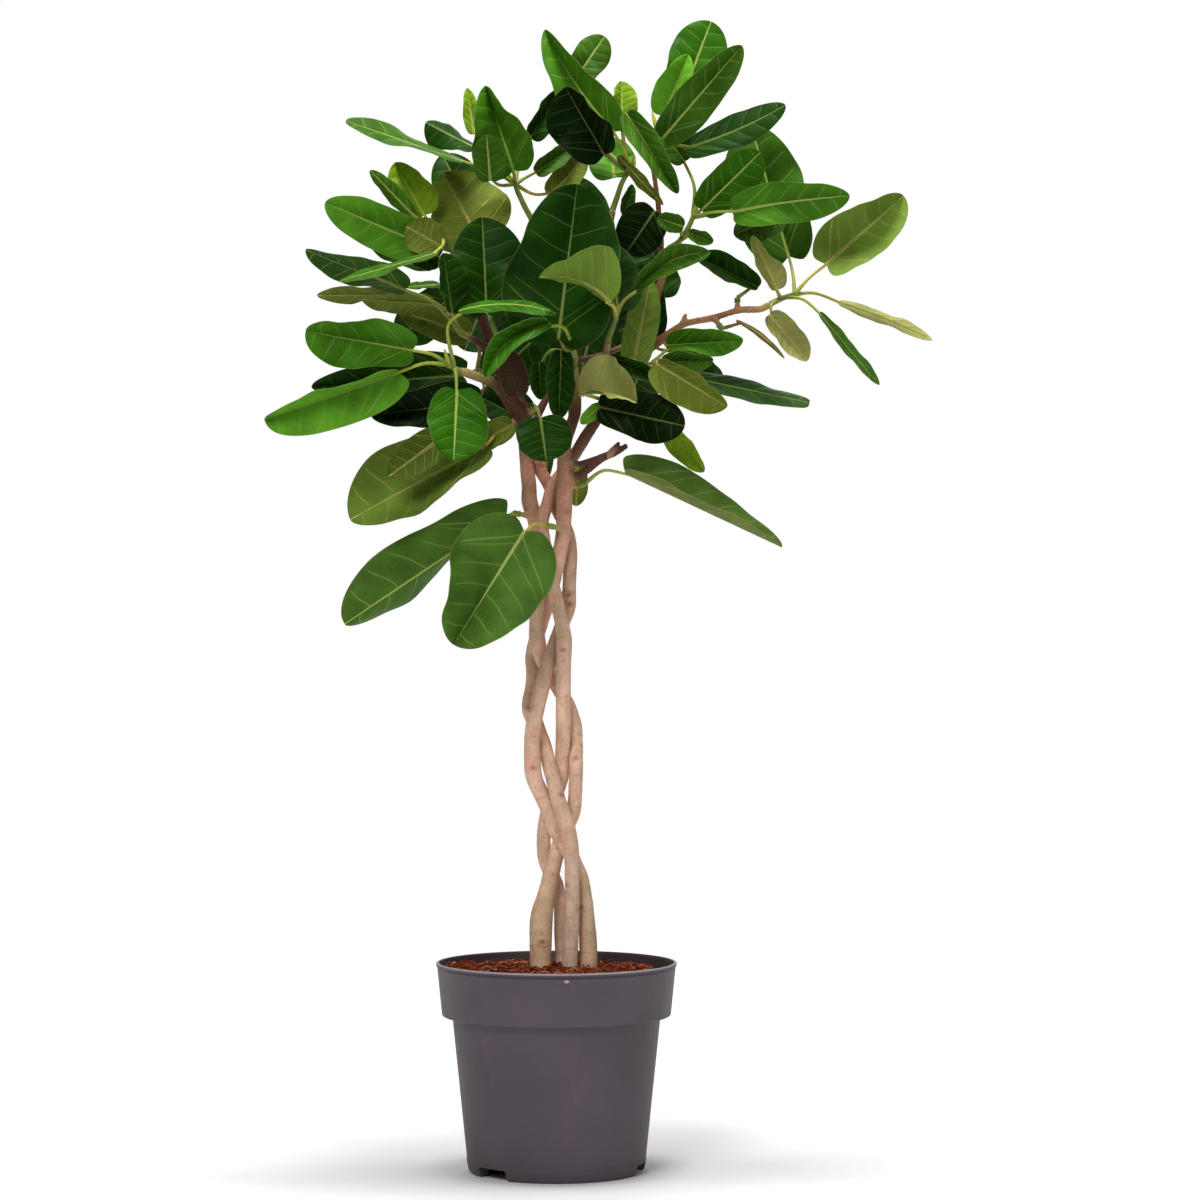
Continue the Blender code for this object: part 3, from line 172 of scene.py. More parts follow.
# Each trunk from the soil to the crown: across, depth, up and radius
TRUNKS = {
    "trunk_1": [
        (-14, -6, 148, 8), (-14, -6, 185, 9.5), (-13, -6, 220, 10), (-9, -5, 240, 8), (-5, -3, 256, 7.5),
        (1, 11, 280, 7), (8, 16, 298, 6.8), (15, 12, 315, 6.5), (17, 3, 346, 6.2), (17, 3, 370, 6.2),
        (15, 6, 392, 6.4), (7, 11, 412, 6.5), (-4, 9, 430, 6.5), (-13, 8, 448, 6.8), (-17, 0, 466, 7),
        (-17, -4, 478, 7), (-16, 0, 520, 6.5), (-18, 7, 565, 6.8), (-23, 8, 580, 7.4), (-24, 6, 600, 6.5),
        (-27, 2, 625, 6), (-28, -1, 645, 5.6), (-27, -4, 660, 5.4), (-35, -12, 670, 5), (-45, -22, 680, 4.6),
        (-57, -31, 688, 4.2), (-75, -42, 695, 3.8), (-84, -47, 698, 3.4),
    ],
    "trunk_2": [
        (11, -8, 148, 6), (12, -8, 190, 7), (14, -8, 230, 6.5), (13.5, -8, 260, 6.5), (13, -11, 280, 6.8),
        (8, -13, 304, 7.2), (3, -12, 318, 6.8), (0, -8, 330, 6.5), (-6, -4, 353, 6.5), (-11, 5, 372, 6.5),
        (-18, 11, 390, 6.8), (-23, 9, 404, 7.4), (-20, 9, 430, 6.5), (-21, 14, 450, 6.3), (-18, 12, 463, 6.3),
        (-10, 7, 488, 6.2), (-2, 7, 515, 6.2), (3, -3, 540, 6.4), (6, -9, 560, 6.8), (7, -10, 600, 7.2),
        (7, -9, 630, 6), (12, -9, 648, 5.2), (17, -10, 664, 4.8), (17, -13, 682, 4.2), (16, -18, 702, 3.4),
    ],
    "trunk_3": [
        (4, 10, 148, 5), (4, 10, 188, 5.6), (3, 10, 230, 5.8), (1, 12, 248, 6), (-10, 15, 270, 6.2),
        (-11, 13, 290, 6.2), (-9, 12, 310, 6.2), (-2, 10, 325, 6.2), (4, 8, 340, 6.3), (5, 5, 362, 6.4),
        (6, -7, 392, 6.7), (6, -11, 430, 6.8), (6.5, -12, 463, 6.8), (4, -9, 480, 6.4), (0, -7, 498, 6.2),
        (-5, -7, 520, 6), (-10, -8, 545, 5.8), (-12, -8, 570, 5.6), (-7, -8, 585, 5.6), (-3, -2, 598, 5.6),
        (8, 8, 610, 5.4), (14, 6, 622, 5.4), (25, 4, 640, 5.2), (36, 0, 658, 5), (46, 0, 682, 4.8),
        (60, 4, 702, 4.6), (75, 8, 713, 4.6), (95, 8, 728, 3.8), (112, 4, 739, 3.2), (135, 0, 744, 2.9),
        (160, -2, 751, 2.9), (178, -5, 752, 3.2), (186, -6, 756, 3),
    ],
    "trunk_4": [
        (28, 2, 148, 7), (28, 2, 188, 8), (26, 2, 221, 7.2), (24, 2, 240, 7), (20, 4, 258, 7),
        (10, 6, 280, 6.8), (-2, -1, 300, 6.8), (-8, -6, 318, 7), (-14, -8, 330, 7), (-20, -8, 345, 7.4),
        (-21, -8, 363, 7.4), (-21, -8, 380, 7), (-19, -8, 395, 7), (-15, -8, 413, 7), (-9, -9, 435, 6.8),
        (-4, -7, 452, 6.4), (3, 6, 472, 6.2), (10, 8, 490, 6.6), (11, 6, 510, 6.2), (12, 5, 530, 6),
        (12, 5, 545, 6), (8, 8, 562, 5.8), (-1, 9, 580, 5.8), (-6, 11, 597, 5.6), (-13, 13, 610, 5.6),
        (-21, 14, 622, 5.4), (-26, 17, 640, 5), (-38, 25, 666, 4.6), (-56, 34, 716, 4), (-72, 32, 762, 3.6),
        (-86, 24, 795, 3.2),
    ],
}

# Branches of each trunk, each from inside the wood to its own end
BRANCHES = {
    "trunk_1": [
        [(-28, -2, 655, 5), (-34, -3, 680, 4.4), (-44, -7, 704, 3.8), (-50, -12, 722, 3.2)],
        [(-19, 7, 571, 3.4), (-32, -4, 573, 2.4)],
        [(-27, -4, 658, 3.6), (-21, -15, 664, 2.6)],
    ],
    "trunk_2": [
        [(16, -9, 660, 4.6), (12, 4, 690, 4.4), (2, 12, 740, 4), (-12, 18, 790, 3.6), (-20, 18, 826, 3.2)],
        [(12, 4, 690, 4.2), (24, 14, 740, 4), (38, 14, 792, 3.6), (49, 8, 838, 3.2)],
        [(6, -9, 560, 3.4), (-3, -19, 562, 2.4)],
        [(7, -10, 598, 3.2), (19, -13, 598, 2.2)],
        [(7, -10, 603, 4), (17, -14, 606, 3.6), (28, -14, 612, 3.2), (40, -13, 622, 3.4), (50, -12, 626, 3),
         (62, -13, 633, 2.4)],
        [(46, -13, 624, 2.8), (50, -15, 630, 2.4), (55, -16, 636, 1.6)],
        [(8, -9, 618, 3), (20, -14, 617, 2.4), (30, -14, 620, 2.4), (42, -13, 624, 2.6)],
    ],
    "trunk_3": [
        [(36, 0, 657, 3.6), (43, -10, 667, 2.6)],
        [(46, 0, 682, 3.8), (43, -16, 704, 3.4), (45, -34, 724, 3)],
        [(62, 5, 703, 3.4), (75, -8, 703, 2.6)],
        [(94, 8, 727, 3.2), (101, 22, 719, 2.4)],
        [(75, 8, 713, 4.4), (84, 14, 750, 4), (94, 12, 785, 3.6), (98, 7, 803, 3.2)],
        [(92, 12, 780, 3), (91, 18, 815, 2.6), (88, 19, 850, 2.4), (82, 17, 890, 2.2)],
        [(91, 17, 812, 2.4), (92, 9, 817, 2)],
        [(110, 4, 738, 3), (113, 5, 748, 1.6)],
        [(138, 0, 744, 2.6), (142, -6, 738, 1.8)],
        [(158, -2, 750, 2.8), (158, 2, 758, 1.8)],
    ],
    "trunk_4": [
        [(-25, 16, 636, 4.6), (-31, 20, 648, 4.2), (-41, 22, 653, 3.4)],
        [(-38, 25, 664, 4), (-48, 26, 678, 3.6), (-55, 25, 688, 3.2)],
        [(-56, 34, 716, 3.4), (-70, 16, 724, 3), (-82, -8, 730, 2.6)],
        [(-14, 13, 611, 4.2), (-12, 22, 619, 3.4)],
        [(-25, 16, 636, 4), (-14, 46, 664, 3.6), (6, 76, 704, 3.2), (24, 92, 750, 2.8)],
        [(-56, 34, 714, 3.4), (-66, 66, 748, 3.2), (-70, 92, 782, 2.8)],
        [(6, 76, 704, 3), (40, 84, 712, 2.8), (74, 92, 726, 2.6)],
    ],
}

# Each shoot: its twig, and its leaves with base, tip, left and right half widths and what else a row gives
SHOOTS = [
    Shoot("shoot_upper_left", [(-20, 18, 826), (-28, 15, 842), (-34, 12, 855), (-36, 11, 861)], [
        Leaf("tall_left", (-37, 2, 873), (-62, -12, 947), (31, 15), (24, 8), blunt=0.9),
        Leaf("front_left", (-58, -14, 864), (-61, -30, 904), (13, 12), (14, 12)),
        Leaf("long_left", (-80, 0, 880), (-184, -22, 916), (2.5, 6), (3, 10), 42, Lean.NEAR_FAR, blunt=0.45),
        Leaf("mid_left", (-72, 22, 893), (-114, 46, 915), (8, 17), (4, 7), 32, Lean.NEAR_FAR),
        Leaf("young_left", (-72, 34, 905), (-78, 42, 945), (7, 5), (8, 6)),
        Leaf("right_small", (-18, 26, 871), (15, 46, 894), (8, 8), (8, 7), 26),
        Leaf("right_olive", (-5, 30, 851), (26, 56, 886), (12, 10), (12, 10), 30, face=Face.UNDER),
        Leaf("behind_top", (-23, 58, 902), (3, 76, 945), (7, 6), (13, 11), 34),
    ], bud=(-41, 9, 869)),
    Shoot("shoot_top", [(49, 8, 838), (53, 5, 850), (57, 1, 862), (63, -3, 872)], [
        Leaf("hook", (50, -6, 907), (-10, 16, 996), (24, 15), (20, 8), blunt=0.85, bow=4),
        Leaf("wide_dark", (42, -30, 887), (8, -52, 946), (27, 30), (16, 9), blunt=0.55),
        Leaf("round_back", (14, 46, 950), (42, 58, 990), (13, 14), (14, 15), blunt=0.5),
        Leaf("young_top", (57, 12, 918), (56, 22, 951), (9, 6), (14, 12)),
        Leaf("folded", (61, -16, 923), (106, -44, 853), (12, 9), (11, 7), 34, blunt=0.8),
        Leaf("low_green", (51, -2, 867), (45, 26, 902), (20, 18), (20, 16)),
        Leaf("olive_strap", (54, -16, 886), (93, -36, 843), (4, 4), (5, 4), 28, Lean.NEAR_FAR, Face.UNDER),
    ], bud=(68, -6, 888)),
    Shoot("shoot_top_right", [(82, 17, 890), (86, 14, 900), (88, 12, 908)], [
        Leaf("round_top", (110, 30, 938), (135, 48, 1003), (22, 22), (24, 22), blunt=0.5),
        Leaf("bright_top", (94, 10, 921), (115, 18, 974), (17, 12), (11, 10)),
        Leaf("dark_top", (93, -10, 902), (162, -44, 982), (16, 13), (19, 15), blunt=0.8),
        Leaf("side_top", (112, 2, 892), (200, -16, 930), (12, 12), (13, 13), 38, Lean.FAR_NEAR, bow=-3),
    ], bud=(83, 16, 926)),
    Shoot("shoot_right", [(98, 7, 803), (107, 2, 811), (115, 0, 823), (119, -1, 832)], [
        Leaf("hanging_green", (112, 22, 881), (87, 34, 913), (11, 10), (12, 12), 30),
        Leaf("bright_mid", (127, -10, 839), (178, -30, 889), (16, 16), (17, 19), blunt=0.5),
        Leaf("bright_wide", (156, -22, 837), (256, -58, 851), (19, 13), (17, 17), blunt=0.8, bow=2),
        Leaf("twist_left", (111, -12, 824), (88, -20, 832), (8, 7), (8, 7), 22, at=0.5),
        Leaf("twist_right", (115, -10, 819), (137, -22, 811), (5, 5), (6, 6), 20, at=0.4),
        Leaf("pale_behind", (196, 14, 834), (155, 26, 817), (15, 12), (15, 12), 36),
    ], bud=(126, -2, 851)),
    Shoot("shoot_inner_right", [(92, 9, 817), (92, 2, 824), (90, 1, 834)], [
        Leaf("black_round", (86, 0, 838), (61, 6, 801), (19, 18), (21, 19), blunt=0.45),
        Leaf("small_behind", (60, 30, 834), (66, 36, 861), (6, 4), (6, 5), 18),
    ]),
    Shoot("shoot_far_right", [(186, -6, 756), (196, -7, 761), (208, -8, 765)], [
        Leaf("tall_back", (203, 20, 798), (170, 62, 912), (34, 34), (28, 26), blunt=0.55),
        Leaf("olive_right", (236, -4, 791), (303, 14, 851), (28, 15), (20, 22), face=Face.UNDER, blunt=0.5),
        Leaf("pale_folded", (192, -24, 769), (171, -34, 816), (6, 6), (14, 5), 34, face=Face.UNDER, at=0.5),
        Leaf("pale_hanging", (186, -26, 747), (219, -46, 707), (12, 12), (9, 8), 34, face=Face.UNDER, at=0.4),
        Leaf("narrow_right", (230, -18, 749), (282, -46, 686), (4, 5), (4, 5), 34, Lean.NEAR_FAR, at=0.6),
        Leaf("far_right", (247, 8, 758), (328, 24, 725), (4, 5), (5, 5), 36,
             Lean.FAR_NEAR, Face.UNDER, bow=2),
    ], bud=(214, -9, 772)),
    Shoot("shoot_centre", [(45, -34, 724), (49, -43, 736), (52, -50, 745)], [
        Leaf("olive_curl", (47, -62, 757), (-15, -96, 780), (3, 3), (38, 17), 66,
             Lean.FAR_NEAR, Face.UNDER, bow=-9),
        Leaf("grey_behind", (54, -24, 752), (45, -14, 810), (23, 22), (24, 18)),
        Leaf("arching", (70, -48, 768), (134, -70, 802), (9, 11), (7, 10), 32, bow=9),
    ], bud=(49, -70, 760)),
    Shoot("shoot_front", [(16, -18, 702), (17, -22, 711)], [
        Leaf("dark_giant", (2, -44, 726), (18, -22, 861), (54, 36), (44, 37), 106, blunt=0.5),
        Leaf("bent", (-6, -70, 739), (-63, -112, 693), (8, 9), (9, 10), 34, bow=-11),
        Leaf("hanging_dark", (4, -36, 716), (2, -48, 656), (12, 11), (11, 10), 34),
        Leaf("hanging_left", (-15, -28, 706), (-14, -30, 673), (8, 7), (8, 7), 26),
    ]),
    Shoot("shoot_left_dark", [(-50, -12, 722), (-55, -15, 736), (-58, -17, 744)], [
        Leaf("dark_left", (-61, -34, 748), (-65, -24, 832), (24, 24), (28, 31), blunt=0.6),
        Leaf("olive_giant", (-68, 20, 812), (-99, 32, 871), (36, 20), (40, 27), 80, Lean.FAR_FAR, Face.UNDER),
    ]),
    Shoot("shoot_left", [(-86, 24, 795), (-94, 20, 806), (-99, 16, 815)], [
        Leaf("bright_left", (-110, 0, 806), (-202, -24, 845), (21, 18), (18, 16), blunt=0.55),
        Leaf("olive_patch", (-101, -8, 806), (-131, -20, 824), (14, 14), (16, 15), face=Face.UNDER),
        Leaf("young_bright", (-116, 18, 834), (-141, 10, 880), (16, 14), (20, 12), at=0.3),
        Leaf("curled", (-126, 8, 834), (-163, 0, 873), (6, 5), (8, 7), 24, Lean.NEAR_FAR),
        Leaf("blade_edge", (-104, -26, 801), (-190, -52, 776), (3, 4), (3, 4), 38, Lean.NEAR_FAR),
        Leaf("back_piece", (-102, 26, 794), (-127, 38, 794), (8, 6), (5, 5), 26),
    ]),
    Shoot("shoot_left_mid", [(-82, -8, 730), (-89, -16, 739), (-95, -23, 748)], [
        Leaf("glossy_curl", (-92, -44, 749), (-99, -52, 801), (5, 6), (18, 16), 46, Lean.NEAR_FAR),
        Leaf("rolled", (-132, -30, 769), (-219, -40, 804), (9, 14), (16, 5), 48,
             Lean.FAR_NEAR, Face.UNDER, at=0.6),
        Leaf("pink_tip", (-134, 4, 765), (-209, 12, 764), (4, 7), (6, 7), 30,
             Lean.FAR_NEAR, Face.UNDER, at=0.4),
        Leaf("brown_shade", (-108, 2, 757), (-170, -8, 761), (10, 10), (9, 6), 40,
             Lean.FAR_NEAR, Face.UNDER, at=0.4),
        Leaf("grey_edge", (-102, -8, 773), (-132, -4, 771), (2, 2), (4, 4), 18, Lean.NEAR_FAR),
    ]),
    Shoot("shoot_low_left", [(-84, -47, 698), (-89, -50, 700), (-94, -54, 703)], [
        Leaf("glossy_upper", (-126, -68, 716), (-219, -100, 733), (19, 25), (21, 13), 54, blunt=0.45),
        Leaf("bright_lower", (-138, -80, 697), (-255, -124, 655), (28, 25), (6, 7), 58, blunt=0.42),
        Leaf("hanging_front", (-87, -76, 681), (-90, -102, 620), (26, 26), (23, 19), blunt=0.7, at=0.5),
        Leaf("strap", (-85, -66, 750), (0, -112, 748), (4, 4), (5, 6), 32, Lean.FAR_NEAR, bow=7, at=0.5),
    ], bud=(-98, -57, 718)),
    Shoot("shoot_low_back", [(-55, 25, 688), (-62, 23, 695), (-69, 20, 699)], [
        Leaf("dark_back", (-82, -6, 694), (-214, -30, 684), (19, 11), (24, 14), 50),
        Leaf("dark_low", (-68, -2, 671), (-162, -34, 659), (18, 13), (21, 14), 46),
        Leaf("olive_low", (-76, 28, 730), (-137, 12, 750), (14, 11), (14, 12), face=Face.UNDER),
    ]),
    Shoot("shoot_underside", [(-41, 22, 653), (-47, 21, 650), (-53, 18, 646)], [
        Leaf("olive_large", (-62, 8, 632), (-180, -22, 568), (17, 20), (33, 38), face=Face.UNDER),
        Leaf("olive_shadow", (-98, -26, 641), (-146, -46, 606), (14, 12), (16, 14), face=Face.UNDER),
        Leaf("brown_strip", (-38, 6, 651), (-75, -14, 632), (10, 10), (12, 12), 30, face=Face.UNDER),
    ]),
    Shoot("leaf_low_left", [(-32, -4, 573), (-37, -8, 574)], [
        Leaf("low_left", (-44, -12, 571), (-185, -52, 477), (3, 13), (29, 33), 64, Lean.FAR_NEAR, blunt=0.5),
    ]),
    Shoot("leaf_low_front", [(-3, -19, 562), (-8, -25, 563)], [
        Leaf("low_front", (-28, -48, 558), (-90, -82, 459), (46, 33), (46, 27), blunt=0.5),
    ]),
    Shoot("leaf_low_right", [(19, -13, 598), (25, -14, 600)], [
        Leaf("low_right", (60, -16, 609), (197, -44, 544), (27, 14), (-8, -6), 56, Lean.FAR_NEAR, blunt=0.7),
    ]),
    Shoot("shoot_mid_right", [(75, -8, 703), (81, -14, 703)], [
        Leaf("glossy_mid", (97, -14, 720), (163, -36, 725), (14, 9), (6, 12), 34),
        Leaf("dark_mid", (92, -24, 705), (137, -42, 708), (9, 6), (7, 9), 28),
        Leaf("olive_mid", (88, -38, 705), (149, -72, 667), (9, 8), (22, 18), face=Face.UNDER),
        Leaf("curl_mid", (46, -34, 708), (99, -54, 687), (8, 6), (7, 6), 28),
        Leaf("lime_upright", (66, -18, 701), (82, -6, 778), (13, 12), (15, 13), face=Face.UNDER),
    ]),
    Shoot("shoot_lower_right", [(101, 22, 719), (104, 27, 715)], [
        Leaf("dark_upright", (80, 26, 724), (77, 40, 792), (18, 18), (17, 14)),
        Leaf("long_right", (115, 8, 692), (221, -16, 670), (9, 6), (9, 8), 36, Lean.FAR_NEAR, blunt=0.26),
        Leaf("lime_low", (98, 16, 647), (129, 26, 610), (8, 6), (12, 9), 26),
    ]),
    Shoot("shoot_mid_front", [(43, -10, 667), (47, -16, 671)], [
        Leaf("black_low", (38, -28, 666), (112, -60, 650), (20, 20), (17, 20), blunt=0.5),
        Leaf("pale_front", (20, -48, 677), (70, -104, 670), (34, 24), (-2, 2), 62,
             Lean.NEAR_NEAR, Face.UNDER, bow=4),
        Leaf("bright_patch", (39, -30, 668), (21, -34, 652), (6, 5), (6, 5), 14),
    ]),
    Shoot("leaf_dry", [(142, -6, 738), (144, -9, 735)], [
        Leaf("dry_sliver", (157, -9, 742), (199, -14, 709), (2, 2), (2, 2), 10, Lean.FAR_NEAR, bow=3),
    ]),
    Shoot("leaf_arch", [(158, 2, 758), (158, 3, 762)], [
        Leaf("far_arch", (176, 4, 771), (122, 30, 798), (6, 6), (12, 14), 36),
    ]),
    Shoot("shoot_middle", [(-21, -15, 664), (-19, -20, 667)], [
        Leaf("dark_middle", (-14, -38, 657), (-9, -52, 619), (24, 22), (23, 18)),
        Leaf("brown_middle", (-34, -38, 676), (-42, -34, 716), (12, 10), (12, 10), 26, face=Face.UNDER),
    ]),
    Shoot("leaf_behind_trunk", [(-12, 22, 619), (-10, 28, 624)], [
        Leaf("olive_trunk", (18, 38, 618), (17, 46, 580), (9, 9), (10, 8), face=Face.UNDER),
        Leaf("pale_trunk", (-7, 34, 629), (-9, 38, 604), (5, 4), (5, 4)),
        Leaf("trunk_shade", (-25, 56, 653), (-70, 66, 677), (13, 11), (21, 19)),
    ]),
    Shoot("shoot_back_centre", [(24, 92, 750), (30, 98, 764), (35, 102, 776)], [
        Leaf("back_top", (30, 120, 800), (14, 150, 868), (26, 20), (26, 20)),
        Leaf("back_right_up", (58, 116, 786), (80, 142, 838), (18, 16), (18, 16)),
        Leaf("back_out", (44, 134, 768), (62, 214, 800), (30, 26), (28, 24), 62, Lean.FAR_FAR),
        Leaf("back_left_up", (-4, 120, 740), (-62, 158, 686), (28, 24), (28, 24)),
        Leaf("back_down", (32, 128, 742), (18, 176, 680), (30, 24), (28, 24), 60, Lean.FAR_FAR),
    ]),
    Shoot("shoot_back_left", [(-70, 92, 782), (-76, 98, 794), (-80, 103, 804)], [
        Leaf("back_left_top", (-74, 112, 838), (-100, 138, 887), (21, 18), (21, 18)),
        Leaf("back_left_out", (-104, 108, 796), (-166, 144, 820), (16, 16), (20, 18)),
        Leaf("back_left_far", (-62, 128, 762), (-80, 196, 716), (27, 24), (26, 22), 58, Lean.FAR_FAR),
        Leaf("back_left_low", (-92, 110, 762), (-140, 156, 726), (20, 18), (20, 18), 52),
    ]),
    Shoot("shoot_back_right", [(74, 92, 726), (82, 96, 733), (89, 98, 741)], [
        Leaf("back_right_top", (92, 112, 762), (84, 152, 806), (16, 14), (18, 14), 48),
        Leaf("back_right_low", (100, 106, 712), (146, 140, 686), (14, 12), (18, 14), 46),
        Leaf("back_right_far", (74, 126, 744), (44, 196, 726), (22, 22), (24, 22), 56, Lean.FAR_FAR),
        Leaf("back_right_down", (74, 114, 704), (62, 150, 662), (20, 18), (20, 18), 48),
    ]),
]

# The colours of each leaf, the darkest of them partly painted shade, and how scorched some are, from 0 to 1
TONES = {
    Tone.BLACK: "black_round dark_low black_low wide_dark",
    Tone.DARK: "mid_left behind_top side_top hanging_dark hanging_left dark_giant dark_left glossy_curl"
        " dark_back curl_mid dark_upright far_arch dark_middle trunk_shade olive_shadow back_top"
        " back_right_up back_out back_left_up back_down back_left_top back_left_out back_left_far"
        " back_left_low back_right_top back_right_low back_right_far back_right_down",
    Tone.MATURE: "right_small round_back folded hanging_green twist_left twist_right arching curled"
        " dark_top dark_mid tall_back grey_edge long_left blade_edge front_left",
    Tone.VIVID: "round_top bright_mid hanging_front strap bent",
    Tone.MID: "tall_left hook narrow_right glossy_mid glossy_upper bright_wide",
    Tone.FRESH: "low_green bright_top bright_left bright_lower bright_patch",
    Tone.DULL: "low_right",
    Tone.BROAD: "low_left low_front",
    Tone.ROLLED: "rolled",
    Tone.YOUNG: "young_left young_top young_bright lime_low",
    Tone.OLIVE: "olive_giant right_olive olive_strap small_behind olive_patch brown_shade olive_low"
        " brown_strip olive_mid olive_trunk pink_tip",
    Tone.LIGHT_OLIVE: "olive_right olive_curl lime_upright olive_large",
    Tone.PALE: "pale_behind pale_folded pale_hanging far_right pale_front pale_trunk",
    Tone.GREY: "grey_behind back_piece long_right",
    Tone.DRY: "dry_sliver",
    Tone.HUSK: "brown_middle",
}
WEAR = {
    "black_round": 0.8, "dark_low": 0.8, "black_low": 0.8, "low_left": 0.4, "folded": 0.5, "dark_giant": 0.2,
    "brown_shade": 0.8, "olive_shadow": 0.3, "brown_strip": 0.8, "far_right": 0.4, "low_front": 0.15,
}


def unit(vector: np.ndarray) -> np.ndarray:
    """Returns the vector at length one."""
    return vector / np.linalg.norm(vector)


def square_to(across: np.ndarray, along: np.ndarray) -> np.ndarray:
    """Finds the directions square to two others."""
    facing = np.cross(across, along)
    return facing / np.maximum(np.linalg.norm(facing, axis=-1), 1e-9)[..., None]


def smooth_path(points: list[tuple[float, ...]] | np.ndarray, step: float) -> np.ndarray:
    """Draws a smooth curve through all the points.

    Args:
        points: rows whose first three numbers are a place; any others, such as a radius, are carried along.
        step: the distance between stations, in millimetres.

    Returns:
        The stations, one row each.
    """
    points = np.array(points, float)
    ends = np.vstack([2 * points[0] - points[1], points, 2 * points[-1] - points[-2]])
    stations = [points[0]]
    for before, start, end, after in zip(ends, ends[1:], ends[2:], ends[3:]):
        pieces = max(1, round(np.linalg.norm((end - start)[:3]) / step))
        for share in (np.arange(pieces) + 1) / pieces:
            stations.append(0.5 * (
                2 * start + (end - before) * share
                + (2 * before - 5 * start + 4 * end - after) * share**2
                + (3 * start - before - 3 * end + after) * share**3
            ))
    return np.array(stations)


def eased(low: float | np.ndarray, high: float | np.ndarray, share: np.ndarray) -> np.ndarray:
    """Changes smoothly from one value to another."""
    low, high, share = np.asarray(low), np.asarray(high), np.clip(share, 0, 1)
    return low + (high - low) * share * share * (3 - 2 * share)


def since(value: np.ndarray, span: tuple[float, float]) -> np.ndarray:
    """Gives how far a value is past a span's start, as a share of the span's length."""
    return (value - span[0]) / span[1]


class Wiring:
    """Adds nodes to a tree and wires them, so that a pattern reads one step a line."""

    def __init__(self, tree: NodeTree) -> None:
        """Takes the tree to work in."""
        self.tree = tree

    def feed(self, socket: Socket, value: object) -> None:
        """Wires a socket into an input, or sets a plain value there.

        Args:
            socket: the input.
            value: another node's output, a number, a vector or a colour.
        """
        if isinstance(value, bpy.types.NodeSocket):
            self.tree.links.new(value, socket)
        elif socket.type == "RGBA" and len(value) == 3:
            socket.default_value = (*value, 1.0)
        else:
            socket.default_value = value

    def add(self, kind: str, inputs: dict | None = None, **settings: object) -> Node:
        """Adds a node.

        Args:
            kind: Blender's type name of the node.
            inputs: what each input gets, by its name or place.
            settings: the node's own properties.

        Returns:
            The new node.
        """
        node = self.tree.nodes.new(kind)
        for name, value in settings.items():
            setattr(node, name, value)
        for key, value in (inputs or {}).items():
            self.feed(node.inputs[key], value)
        return node

    def math(self, operation: str, first: object, second: object = 0.0, third: object = 0.0) -> Socket:
        """Works out a number."""
        node = self.add("ShaderNodeMath", {0: first, 1: second, 2: third}, operation=operation)
        return node.outputs[0]

    def times(self, first: object, second: object) -> Socket:
        """Multiplies two numbers."""
        return self.math("MULTIPLY", first, second)

    def times_plus(self, first: object, second: object, more: object) -> Socket:
        """Multiplies two numbers and adds a third."""
        return self.math("MULTIPLY_ADD", first, second, more)

    def band(self, value: object, start: float, end: float) -> Socket:
        """Rises smoothly from 0 at start to 1 at end, or falls where end is the lower one."""
        inputs = {"Value": value, "From Min": start, "From Max": end}
        return self.add("ShaderNodeMapRange", inputs, interpolation_type="SMOOTHSTEP").outputs[0]

    def noise(self, vector: Socket, scale: object, detail: float = 2.0, roughness: float = 0.5) -> Socket:
        """Adds a noise pattern."""
        inputs = {"Vector": vector, "Scale": scale, "Detail": detail, "Roughness": roughness}
        return self.add("ShaderNodeTexNoise", inputs).outputs[0]

    def cells(self, vector: Socket, scale: float, feature: str = "F1") -> Node:
        """Adds a cell pattern."""
        return self.add("ShaderNodeTexVoronoi", {"Vector": vector, "Scale": scale}, feature=feature)

    def mix(self, share: object, low: object, high: object, how: str = "MIX") -> Socket:
        """Mixes two colours."""
        inputs = {0: share, 6: low, 7: high}
        return self.add("ShaderNodeMix", inputs, data_type="RGBA", blend_type=how).outputs[2]

    def over(self, low: object, high: object, mask: Socket, weight: object) -> Socket:
        """Lays a colour over another where a mask shows it, as strongly as the weight says."""
        return self.mix(self.times(mask, weight), low, high)

    def stretched(self, vector: Socket, scale: Point) -> Socket:
        """Stretches coordinates."""
        return self.add("ShaderNodeMapping", {"Vector": vector, "Scale": scale}).outputs[0]

    def attribute(self, name: str, output: str = "Fac") -> Socket:
        """Reads an attribute of the piece."""
        return self.add("ShaderNodeAttribute", attribute_name=name).outputs[output]


def add_inputs(tree: NodeTree, inputs: dict[str, tuple[str, object]]) -> None:
    """Gives a group of nodes its input sockets.

    Args:
        tree: the group.
        inputs: each input's kind and first value, by its name.
    """
    for label, (kind, value) in inputs.items():
        socket = tree.interface.new_socket(name=label, in_out="INPUT", socket_type="NodeSocket" + kind)
        if value is not None:
            socket.default_value = value


